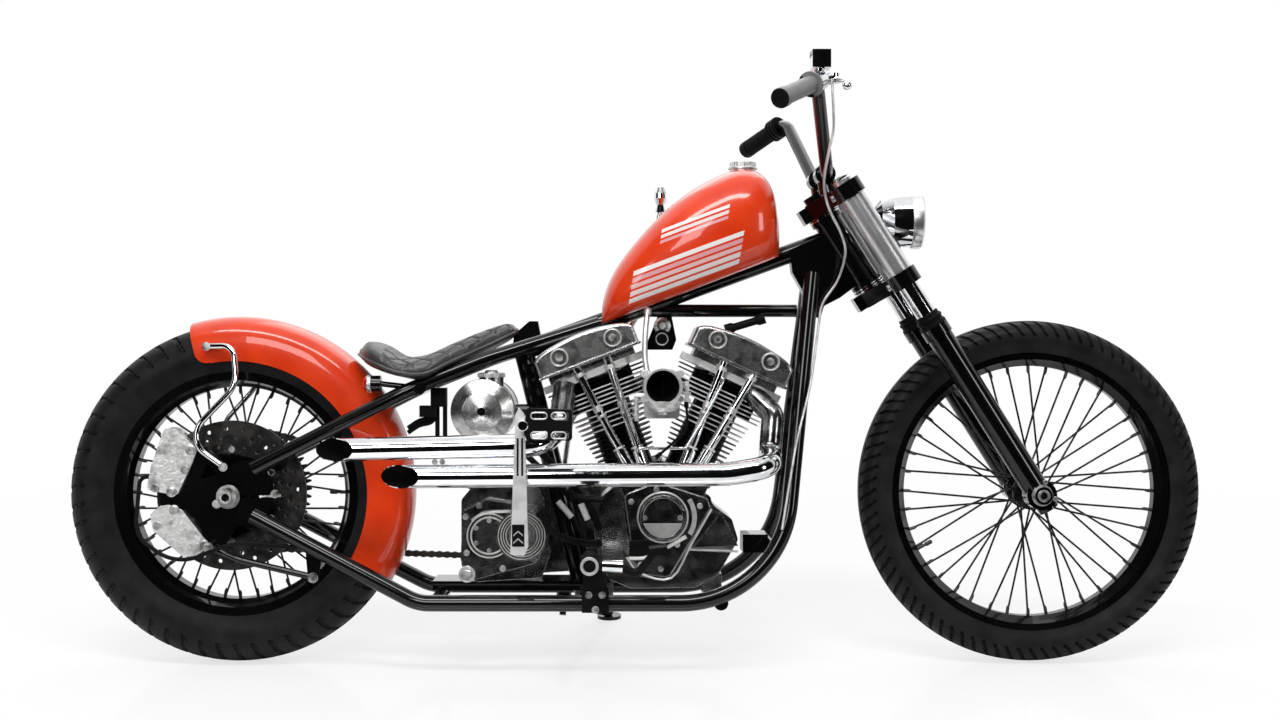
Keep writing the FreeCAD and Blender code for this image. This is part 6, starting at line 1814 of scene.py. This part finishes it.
@dataclass(frozen=True)
class CaseTrim:
    """The rings, beads and plates on the crankcase, cam cover, gearbox and primary cover."""

    kick_shaft: Place = (567, -120, 260)
    shaft_radii: tuple[float, ...] = (31, 36, 41, 46)
    step_width: float = 1.6
    right_rings: tuple[tuple[Place, Ring], ...] = (
        ((567, -120, 260), Ring(14, 0, 4)),
        ((CLUTCH[0], GEARBOX_FACE, CLUTCH[1]), Ring(37, 33.5, 2.4)),
        ((CLUTCH[0], GEARBOX_FACE, CLUTCH[1]), Ring(44, 41, 3, 0.9)),
        ((DRAIN[0], GEARBOX_FACE, DRAIN[1]), Ring(16, 12.5, 2)),
        ((TIMER[0], CAM_FACE, TIMER[1]), Ring(50, 46.5, 4, 1.2)))
    left_rings: tuple[tuple[Place, Ring], ...] = (
        ((PRIMARY_REAR[0], PRIMARY_FACE, PRIMARY_REAR[1]), Ring(56, 0, 6)),
        ((PRIMARY_FRONT[0], PRIMARY_FACE, PRIMARY_FRONT[1]), Ring(40, 0, 5)),
        ((PRIMARY_REAR[0], DERBY_FACE, PRIMARY_REAR[1]), Ring(30, 26, 2)),
        ((PRIMARY_FRONT[0], PRIMARY_FACE + 5, PRIMARY_FRONT[1]), Ring(26, 22, 2)))
    # Radius and path of each bright bead and union on the right of the cases
    beads: tuple[tuple[float, Places], ...] = (
       
        (2.2, ((934.3, -119, 311.8), (895, -119, 244), (856.7, -119, 178.7), (796.7, -119, 187.6),
               (770, -119, 218.6))),
        (2.2, ((891.6, -78, 229.8), (940, -78, 227.5), (988, -78, 225.3))),
        (3.6, ((774.5, -119, 216.5), (814.5, -119, 220.9), (885.5, -119, 258.7))),
        (2.6, ((470.2, -116, 289.6), (484, -116, 299), (499.1, -116, 305.1), (545.7, -116, 307.2))),
        (6, ((636.7, -100, 325.2), (650, -100, 310), (663.4, -100, 294.2))),
        (6.5, ((681.2, -100, 320.7), (688, -100, 305), (694.6, -100, 289.7))))
    # Outer and inner radius, first and last angle, and face of the half moon and the crescent round the timer
    arcs: tuple[tuple[float, ...], ...] = ((42, 0, -165, -15, -128), (66, 57, -32, 34, -119))
    arc_steps: int = 16
    arc_height: float = 1.5
    web: Places = ((955, -60, 303), (989, -60, 236), (900, -60, 232), (930, -60, 268))
    web_width: float = 16
    pump: Places = ((775, -112, 221), (775, -112, 250), (850, -112, 254), (854, -112, 224))
    pump_width: float = 8
    elbow: Places = ((654.6, -96, 347.4), (676.8, -96, 332), (725.7, -96, 327.5))
    elbow_r: float = 7

    def add(self, forms: TrimForms, stance: Stance) -> None:
        """Put them into the engine's trim and make the cast web ahead of the cam cover.

        Args:
            forms: Meshes of the engine's trim.
            stance: Where the upright frame stands.
        """
        bright, right = forms.bright, Vector(RIGHT)
        for rings, side in ((self.right_rings, RIGHT), (self.left_rings, LEFT)):
            for centre, ring in rings:
                ring.add(bright, centre, side)
        for radius in self.shaft_radii:
            Ring(radius, radius - self.step_width, self.step_width, 0.5).add(bright, self.kick_shaft, right)
        for radius, points in self.beads:
            bright.sweep(smooth_path(vectors(points), 4), radius, 10)
        for outer, inner, low, high, y in self.arcs:
            shares = [(high - low) * index / self.arc_steps for index in range(self.arc_steps + 1)]
            turns = [math.radians(low + share) for share in shares]
            reaches = [(outer, a) for a in turns] + [(inner, a) for a in reversed(turns) if inner]
            outline = [Vector((TIMER[0] + r * math.cos(a), y, TIMER[1] + r * math.sin(a)))
                       for r, a in reaches]
            bright.slab(outline, right * self.arc_height)
        forms.black.slab(vectors(self.pump), right * self.pump_width)
        forms.black.sweep(smooth_path(vectors(self.elbow)), self.elbow_r, 12)
        web = Form()
        web.slab(vectors(self.web), right * self.web_width)
        web.piece("case_web", Finish.CAST_ALLOY, stance, "chassis", TRIM_CREASE)


@dataclass(frozen=True)
class KickStarterTrim:
    """The ridges, slot and pin of the kick arm, two black rods along it as a painted dark reflection, and the
    outlines moulded in its folded pedal.
    """

    boss: Flat = (567, -244.7)
    ridge_heights: Flat = (258, 272)
    ridge_half: float = 9
    ridge_drop: float = 8
    ridge_width: float = 3
    slot: tuple[Flat, Flat] = ((555.5, 253), (578.5, 294))
    arm_face: float = -243.5
    # Two black rods along the arm, a painted dark reflection: their x, the z of their ends and their radius
    reflection_streaks: Flat = (566, 574.5)
    streak_ends: Flat = (455, 385)
    streak_r: float = 1.8
    pedal_face: float = -275
    # Rear end, front end and foot of each outline
    outlines: Triples = ((592, 622, 492), (630, 657, 492), (592, 622, 456), (630, 657, 456))
    outline_height: float = 12
    outline_r: float = 1.4
    pin: Place = (577, -272, 479.5)
    pin_head: Ring = Ring(10, 0, 5, 1.6)

    def ridges(self, stance: Stance) -> None:
        """Make the chevron ridges on the arm's boss."""
        form = Form()
        middle, y = self.boss
        for side in SIDES:
            edge = middle + side * self.ridge_half
            for rise in self.ridge_heights:
                crest = rise + self.ridge_drop
                outline = ((middle, crest), (edge, rise), (edge, rise + self.ridge_width),
                           (middle, crest + self.ridge_width))
                form.slab([Vector((x, y, z)) for x, z in outline], Vector(RIGHT) * 0.6)
        form.piece("kick_arm_ridges", Finish.SATIN_ALLOY, stance, "chassis", TRIM_CREASE)

    def add(self, forms: TrimForms, stance: Stance) -> None:
        """Put the rest into the engine's trim.

        Args:
            forms: Meshes of the engine's trim.
            stance: Where the upright frame stands.
        """
        self.ridges(stance)
        half = self.outline_height / 2
        turns = [math.radians(90 + 22.5 * step) for step in range(9)]
        for rear, front, foot in self.outlines:
            ends = []
            for x, way in ((rear + half, 1), (front - half, -1)):
                ends += [Vector((x + way * half * math.cos(a), self.pedal_face,
                                 foot + half + way * half * math.sin(a))) for a in turns]
            forms.bright.sweep(ends + ends[:1], self.outline_r, 8)
        self.pin_head.add(forms.chrome, self.pin, RIGHT)
        forms.black.slab(rectangle(*self.slot, self.arm_face), Vector(RIGHT) * 1.2)
        # Black rods along the arm as a painted dark reflection
        for x in self.reflection_streaks:
            top, foot = (Vector((x, self.arm_face, z)) for z in self.streak_ends)
            forms.black.rod(top, foot, self.streak_r, 8)


@dataclass(frozen=True)
class TankTrim:
    """The oil tank's bands, end bosses and filler cap, and the fuel cap's ring and knurls."""

    oil_tank: Flat = (489, 500)
    bands: Flat = (-66, 50)
    band: Ring = Ring(63.2, 60, 16, 0.5)
    boss_y: float = 109.5
    boss: Ring = Ring(9, 0, 5)
    filler: Place = (505, -66, 566)
    lid: Ring = Ring(26, 0, 9, 2)
    knob: Ring = Ring(13, 0, 5, 2.5)
    fuel_cap: Place = (1003, 0, 994.5)
    collar_drop: float = 14
    collar: Ring = Ring(29, 20, 4)
    cap_r: float = 25

    def add(self, forms: TrimForms) -> None:
        """Put them into the engine's trim."""
        x, z = self.oil_tank
        for y in self.bands:
            self.band.add(forms.chrome, (x, y, z), LEFT)
        for side in SIDES:
            self.boss.add(forms.chrome, (x, side * self.boss_y, z), (0, side, 0))
        filler, cap, up = Vector(self.filler), Vector(self.fuel_cap), Vector(UP)
        self.lid.add(forms.bright, filler, up)
        self.knob.add(forms.bright, filler + up * self.lid.height, up)
        add_knurls(forms.bright, filler + up, self.lid.outer, 7)
        add_knurls(forms.bright, cap - up * 12, self.cap_r, 11)
        self.collar.add(forms.bright, cap - up * self.collar_drop, up)


@dataclass(frozen=True)
class FootControlTrim:
    """The ribs and end rings of both pegs, and the brake pedal's bright pivot."""

    peg: Flat = (701, 225)
    peg_start: float = 222
    rib_pitch: float = 10.5
    rib_count: int = 9
    rib: Ring = Ring(19, 15, 5, 1.2)
    end_y: float = -318
    end_ring: Ring = Ring(17, 11.5, 2.5)
    pivot: tuple[Place, Place] = ((724, -203, 213), (762, -203, 211))
    pivot_r: float = 12

    def add(self, forms: TrimForms) -> None:
        """Put them into the engine's trim."""
        x, z = self.peg
        self.end_ring.add(forms.bright, (x, self.end_y, z), RIGHT)
        forms.chrome.rod(*vectors(self.pivot), self.pivot_r, FINE_SEGMENTS)
        for side in SIDES:
            for index in range(self.rib_count):
                y = side * (self.peg_start + index * self.rib_pitch)
                self.rib.add(forms.black, (x, y, z), (0, side, 0))


@dataclass(frozen=True)
class BrakeTrim:
    """The calipers' bosses, the rotor's rivets and the rear axle's rings and adjuster."""

    caliper_face: float = -118
    bosses: Flats = ((-142, 352), (-84, 388), (-138, 280), (-58, 238))
    boss: Ring = Ring(8, 0, 3.5, 1)
    rivet_count: int = 6
    rivet_r: float = 89
    rivet_face: float = -88
    rivet: Ring = Ring(6.5, 0, 2.5, 1)
    screw_r: float = 42
    screw_face: float = -91
    axle_rings: tuple[tuple[Place, Ring], ...] = (
        ((0, -122.5, 336), Ring(23, 10.5, 3)), ((0, -134.5, 336), Ring(19, 10.2, 3)),
        ((91, -122.5, 342), Ring(8, 0, 7)), ((0, -145, 336), Ring(11.6, 7.2, 3.4)))
    adjusters: Flat = (60, 76)
    adjuster_run: Place = (26, 0, 2)
    adjuster_r: float = 3

    def build(self, stance: Stance) -> None:
        """Make the three pieces."""
        right = Vector(RIGHT)
        bosses = Form()
        for x, z in self.bosses:
            self.boss.add(bosses, (x, self.caliper_face, z), right)
        bosses.piece("caliper_bosses", Finish.BOLT, stance, "chassis", TRIM_CREASE)
        rivets = Form()
        for index in range(self.rivet_count):
            angle = TURN * (index + 0.5) / self.rivet_count
            rivet, screw = (Vector((r * math.cos(angle), y, REAR_AXLE.z + r * math.sin(angle)))
                            for r, y in ((self.rivet_r, self.rivet_face), (self.screw_r, self.screw_face)))
            self.rivet.add(rivets, rivet, right)
            rivets.cap_screw(screw, right, 6, 5)
        rivets.piece("rotor_rivets", Finish.BOLT, stance, "rear_wheel", TRIM_CREASE)
        axle = Form()
        for centre, ring in self.axle_rings:
            ring.add(axle, centre, right)
        for x in self.adjusters:
            start = Vector((x, -120, REAR_AXLE.z))
            axle.rod(start, start + Vector(self.adjuster_run), self.adjuster_r, 10)
        axle.piece("axle_trim", Finish.BOLT, stance, "chassis", TRIM_CREASE)


@dataclass(frozen=True)
class SteeringTrim:
    """The fork's boots and covers, the neck's rings, the lamp's rim, the clamp caps and the grips' ends."""

    tube_bore: float = 19.8
    # Height up the fork, radius and height of each ring of a boot
    boot_rings: Triples = ((386, 27.5, 7), (393, 25, 7), (400, 26.5, 6), (406, 23.5, 8))
    # Foot and top of the seals below and above the neck
    seals: Flats = ((478, 480), (714, 716.5))
    cover_foot: float = 510.5
    cover: Ring = Ring(25.5, 19.8, 173, 1.2)
    cap_foot: float = 714
    cap: Ring = Ring(19, 0, 9, 2)
    cap_nut: Ring = Ring(12, 0, 6, 1.5)
    lamp: Place = (1262, 0, 880)
    lamp_rim: Flats = (
        (52, 95.5), (55.5, 97.2), (58.6, 94), (58.6, 80), (57, 76), (55.5, 76), (55.5, 90), (52, 93))
    # Start, end and radii of the ball at the lever's tip
    lever_tip: tuple[Place, Place] = ((1160, -410, 1088), (1160, -411, 1087.6))
    lever_radii: Flat = (4, 2)
    # Height of each end of the neck and the way its rings step
    neck_ends: Flats = ((511.5, 1), (683, -1))
    neck_rings: Flats = ((0, 34.5), (5, 33.5))
    bar_tip: Place = (1043, 410, 1067)
    bar_corner: Place = (1118, 300, 1112)
    grip_end: Ring = Ring(17.5, 0, 6, 2)
    rib: Ring = Ring(18.2, 15, 3.6, 1.2)
    rib_count: int = 11
    rib_start: float = 14
    rib_pitch: float = 7.6
    clamp_x: Flat = (1141, 1177)
    clamp_half: float = 19
    clamp_foot: float = 962
    clamp_height: float = 4
    axle_end: float = 142
    axle_ring: Ring = Ring(11.6, 7.2, 2.5)
    slider_ring: Ring = Ring(20.5, 10.2, 3)

    def boots(self, stance: Stance) -> None:
        """Make the ribbed dust boots and the seals at both ends of the neck."""
        form = Form()
        for side in SIDES:
            for foot, radius, height in self.boot_rings:
                place = fork_point(foot, side * FORK_HALF)
                Ring(radius, self.tube_bore, height, 1.4).add(form, place, FORK_UP)
        for low, high in self.seals:
            Ring(24, 14, high - low, 0.5).add(form, fork_point(low, 0, 0), FORK_UP)
        form.piece("fork_boots", Finish.GRIP, stance, "steering", TRIM_CREASE)

    def covers(self, stance: Stance) -> None:
        """Make the tube covers, the caps on the tubes, the lamp's rim and the lever's tip."""
        form = Form()
        for side in SIDES:
            y = side * FORK_HALF
            self.cover.add(form, fork_point(self.cover_foot, y), FORK_UP)
            self.cap.add(form, fork_point(self.cap_foot, y), FORK_UP)
            self.cap_nut.add(form, fork_point(self.cap_foot + self.cap.height, y), FORK_UP)
        form.lathe(self.lamp_rim, Vector(self.lamp), Vector(AHEAD), ACROSS)
        form.sweep(vectors(self.lever_tip), self.lever_radii, 12)
        form.piece("fork_covers", Finish.LIT_CHROME, stance, "steering", TRIM_CREASE)

    def neck(self, stance: Stance) -> None:
        """Make the stepped rings at both ends of the neck."""
        form = Form()
        for height, way in self.neck_ends:
            for offset, radius in self.neck_rings:
                Ring(radius, 28, 2.4, 0.6).add(form, fork_point(height + way * offset, 0, 0), FORK_UP)
        form.piece("neck_rings", Finish.CHROME, stance, "chassis", TRIM_CREASE)

    def bars(self, stance: Stance) -> None:
        """Make the grips' ends, the left grip's ribs and the caps of the bar clamps."""
        form = Form()
        for side in SIDES:
            tip, corner = (Vector((x, side * y, z)) for x, y, z in (self.bar_tip, self.bar_corner))
            along = (corner - tip).normalized()
            self.grip_end.add(form, tip - along * 8, along)
            for index in range(self.rib_count if side > 0 else 0):
                self.rib.add(form, tip + along * (self.rib_start + index * self.rib_pitch), along)
        rear, front = self.clamp_x
        for side in SIDES:
            low, high = side * BAR_CLAMP_Y - self.clamp_half, side * BAR_CLAMP_Y + self.clamp_half
            corners = ((rear, low), (front, low), (front, high), (rear, high))
            form.slab([Vector((x, y, self.clamp_foot)) for x, y in corners], Vector(UP) * self.clamp_height)
        form.piece("bar_trim", Finish.GRIP, stance, "steering", TRIM_CREASE)

    def axle(self, stance: Stance) -> None:
        """Make the rings at both ends of the front axle."""
        form = Form()
        for side in SIDES:
            for ring, y in ((self.axle_ring, self.axle_end), (self.slider_ring, SLIDER_FACE)):
                ring.add(form, (FRONT_AXLE.x, side * y, FRONT_AXLE.z), (0, side, 0))
        form.piece("front_axle_trim", Finish.BOLT, stance, "steering", TRIM_CREASE)

    def build(self, stance: Stance) -> None:
        """Make all five pieces."""
        for make in (self.boots, self.covers, self.neck, self.bars, self.axle):
            make(stance)


@dataclass(frozen=True)
class TailLampTrim:
    """The tail lamp's turned bezel and the red dome of its lens."""

    centre: Place = (293, -104, 554)
    bezel: Flats = ((14, 26.4), (16.8, 26.4), (17.4, 25), (17.4, 19), (15.8, 18), (15, 20))
    dome: Flats = ((16.2, 24), (15.2, 28.5), (12, 32), (6.5, 34.2), (0, 35), (0, 24))

    def build(self, stance: Stance) -> None:
        """Make both."""
        for name, profile, finish, crease in (
                ("tail_lamp_bezel", self.bezel, Finish.SATIN_ALLOY, TRIM_CREASE),
                ("tail_lamp_dome", self.dome, Finish.RED_LENS, ROUND_CREASE)):
            form = Form()
            form.lathe(profile, Vector(self.centre), Vector(BEHIND), ACROSS, closed=profile is self.bezel)
            form.piece(name, finish, stance, "chassis", crease)


@dataclass(frozen=True)
class SaddleLeads:
    """The regulator's plug, its two stubs and the two leads that hang under the saddle."""

    plugs: tuple[tuple[Flat, Flat], ...] = (((386, 508), (416, 545)), ((364, 488), (398, 510)))
    plug_y: float = -72
    plug_width: float = 36
    stubs: Flat = (398, 413)
    stub_ends: Flat = (512, 447)
    stub_r: float = 4.5
    lead_y: float = -56
    lead: Flats = ((340, 466), (362, 480), (384, 486), (396, 498))
    lead_drop: float = 9
    lead_r: float = 4.6

    def build(self, stance: Stance) -> None:
        """Make them as one piece."""
        form = Form()
        for low, high in self.plugs:
            form.slab(rectangle(low, high, self.plug_y), ACROSS * self.plug_width)
        for x in self.stubs:
            top, foot = (Vector((x, self.lead_y, z)) for z in self.stub_ends)
            form.rod(top, foot, self.stub_r)
        for drop in (0, self.lead_drop):
            path = smooth_path([Vector((x, self.lead_y, z - drop)) for x, z in self.lead])
            form.sweep(path, self.lead_r, 12)
        form.piece("saddle_leads", Finish.GRIP, stance, "chassis", TRIM_CREASE)


@dataclass(frozen=True)
class StandSpring:
    """The side stand's return spring, wound beside its leg."""

    start: Place = (652, 178, 92)
    end: Place = (694, 262, 62)
    turns: int = 14
    steps: int = 12
    coil_r: float = 6.5
    wire_r: float = 1.5

    def build(self, stance: Stance) -> None:
        """Wind it along its line."""
        start, run = Vector(self.start), Vector(self.end) - Vector(self.start)
        along = run.normalized()
        side = along.orthogonal().normalized()
        other = along.cross(side)
        count = self.turns * self.steps
        path = []
        for index in range(count + 1):
            angle = TURN * index / self.steps
            path.append(start + (side * math.cos(angle) + other * math.sin(angle)) * self.coil_r
                        + run * (index / count))
        form = Form()
        form.sweep(path, self.wire_r, 6)
        form.piece("stand_spring", Finish.CHAIN, stance, "side_stand", ROUND_CREASE)


def dress_engine(stance: Stance) -> None:
    """Make the engine's trim, one mesh for each finish.

    Args:
        stance: Where the upright frame stands.
    """
    forms = TrimForms()
    CarburettorTrim().add(forms)
    PushrodCollars().add(forms)
    TopMount().add(forms)
    CaseTrim().add(forms, stance)
    KickStarterTrim().add(forms, stance)
    TankTrim().add(forms)
    FootControlTrim().add(forms)
    forms.pieces(stance)


@dataclass
class Studio:
    """Pale floor, soft lamps and the camera of the photograph."""

    stance: Stance
    lens_px: float = 1800
    image_width: float = 1280
    image_height: float = 720
    sensor_mm: float = 36
    camera_place: Place = (747.6, -3600, 619.6)
    vanishing_px: Flat = (615, 350)
    floor_half_m: float = 30
    floor_front_m: float = 1.1
    aim_m: Place = (0, 0, 0.45)
    # Name, place and size in metres, and power in watts of each lamp
    soft_lamps: tuple[tuple[str, Place, Flat, float], ...] = (
        ("key", (-0.3, -2.2, 4.2), (3.6, 0.6), 120), ("front", (-0.9, -3.9, 2.6), (1.2, 1.2), 38),
        ("left", (-2.8, -3.5, 1.5), (0.8, 1.6), 18), ("side", (3.4, -3, 1.6), (0.7, 1.4), 26),
        ("rim", (0.4, 3, 3.4), (3, 3), 36))

    def build(self) -> None:
        """Make the whole studio."""
        self.floor()
        self.lamps()
        self.camera()

    def floor(self) -> None:
        """Lay a wide pale floor under the tyres."""
        mesh = bpy.data.meshes.new("studio_floor")
        half = self.floor_half_m
        front = self.floor_front_m
        corners = [(-half, -front, 0), (half, -front, 0), (half, half, 0), (-half, half, 0)]
        mesh.from_pydata(corners, [], [(0, 1, 2, 3)])
        plane = bpy.data.objects.new("studio_floor", mesh)
        bpy.context.scene.collection.objects.link(plane)
        links = Links("studio_floor")
        matt = links.add("ShaderNodeBsdfDiffuse", {"Color": linear("#FAFAFA")})
        sheen = links.add("ShaderNodeBsdfGlossy", {"Color": linear("#FFFFFF"), "Roughness": 0.12})
        shader = links.add("ShaderNodeMixShader", {0: 0.12, 1: matt.outputs[0], 2: sheen.outputs[0]})
        white = links.add("ShaderNodeEmission", {"Color": linear("#FFFFFF"), "Strength": 1})
        rays = links.add("ShaderNodeLightPath")
        away = links.add("ShaderNodeVectorMath", {0: links.place()}, operation="LENGTH").outputs["Value"]
        seen = links.math("MULTIPLY", rays.outputs["Is Camera Ray"], links.ramp(away, 0.9, 2.6, 0.72, 1))
        mixed = links.add("ShaderNodeMixShader", {0: seen, 1: shader.outputs[0], 2: white.outputs[0]})
        mesh.materials.append(links.surface(mixed))

    def lamps(self) -> None:
        """Hang soft area lamps in a room that is white behind and above and dark behind the camera."""
        world = bpy.data.worlds.new("studio_world")
        bpy.context.scene.world = world
        links = Links.of_world(world)
        where = links.add("ShaderNodeTexCoord").outputs["Generated"]
        parts = links.add("ShaderNodeSeparateXYZ", {0: where})
        above = links.ramp(parts.outputs["Z"], 0.72, 0.92)
        behind = links.ramp(parts.outputs["Y"], -0.05, 0.2)
        seen = links.math("MAXIMUM", behind, links.add("ShaderNodeLightPath").outputs["Is Camera Ray"])
        rays = links.add("ShaderNodeLightPath")
        mirrored = links.math("MAXIMUM", rays.outputs["Is Camera Ray"], rays.outputs["Is Glossy Ray"])
        clear = links.math("MAXIMUM", mirrored, rays.outputs["Is Transmission Ray"])
        sky = links.blend(clear, linear("#DCDCDC"), linear("#FFFFFF"))
        colour = links.blend(links.math("MAXIMUM", above, seen), linear("#0C0C0D"), sky)
        links.surface(links.add("ShaderNodeBackground", {"Color": colour, "Strength": 1}))
        for name, place, size, power in self.soft_lamps:
            data = bpy.data.lights.new(name, "AREA")
            data.shape = "RECTANGLE"
            data.energy = power
            data.size, data.size_y = size
            lamp = bpy.data.objects.new(name, data)
            lamp.location = place
            aim = Vector(self.aim_m) - Vector(place)
            lamp.rotation_euler = aim.to_track_quat("-Z", "Y").to_euler()
            bpy.context.scene.collection.objects.link(lamp)

    def camera(self) -> None:
        """Set the camera where the photograph was taken from, turned with the machine's lean."""
        data = bpy.data.cameras.new("photo_camera")
        data.sensor_width = self.sensor_mm
        data.lens = self.lens_px / self.image_width * self.sensor_mm
        px, py = self.vanishing_px
        data.shift_x = (self.image_width / 2 - px) / self.image_width
        data.shift_y = (py - self.image_height / 2) / self.image_width
        turn = Matrix.Rotation(-self.stance.lean, 4, "X")
        ground = self.stance.point(Vector((0, 0, 0)))
        upright = Matrix.Rotation(math.radians(90), 4, "X")
        place = Matrix.Translation(Vector(self.camera_place) * MM)
        camera = bpy.data.objects.new("photo_camera", data)
        camera.matrix_world = Matrix.Translation(ground) @ turn @ place @ upright
        bpy.context.scene.collection.objects.link(camera)
        bpy.context.scene.camera = camera
        bpy.context.scene.view_settings.view_transform = "Standard"


def main() -> None:
    """Load the frame, dress it, and report each part."""
    logging.basicConfig(level=logging.INFO, format="%(message)s")
    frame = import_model()
    stance = Stance.from_joints(frame["joints"])
    nodes = frame["nodes"]
    dress_nodes(nodes)
    for name, finish, test in FACE_FINISHES:
        paint_faces(nodes[name], finish, stance, test)
    striped = StripedEnamel("tank_enamel", Finish.BODY_ENAMEL.value)
    nodes["fuel_tank"].data.materials[0] = striped.build(stance)
    for part in (*TYRES, *NIPPLES, DragPipes(), Saddle(), DriveChain()):
        part.build(stance)
    for group in (ChassisFasteners(), SteeringFasteners()):
        form = Form()
        for fastener in group.listed():
            fastener.add(form)
        form.piece(group.name, Finish.BOLT, stance, group.body)
    for line in (*LINES, ControlCable()):
        line.build(stance)
    dress_engine(stance)
    for part in (BrakeTrim(), SteeringTrim(), TailLampTrim(), SaddleLeads(), StandSpring()):
        part.build(stance)
    Studio(stance).build()


if __name__ == "__main__":
    main()
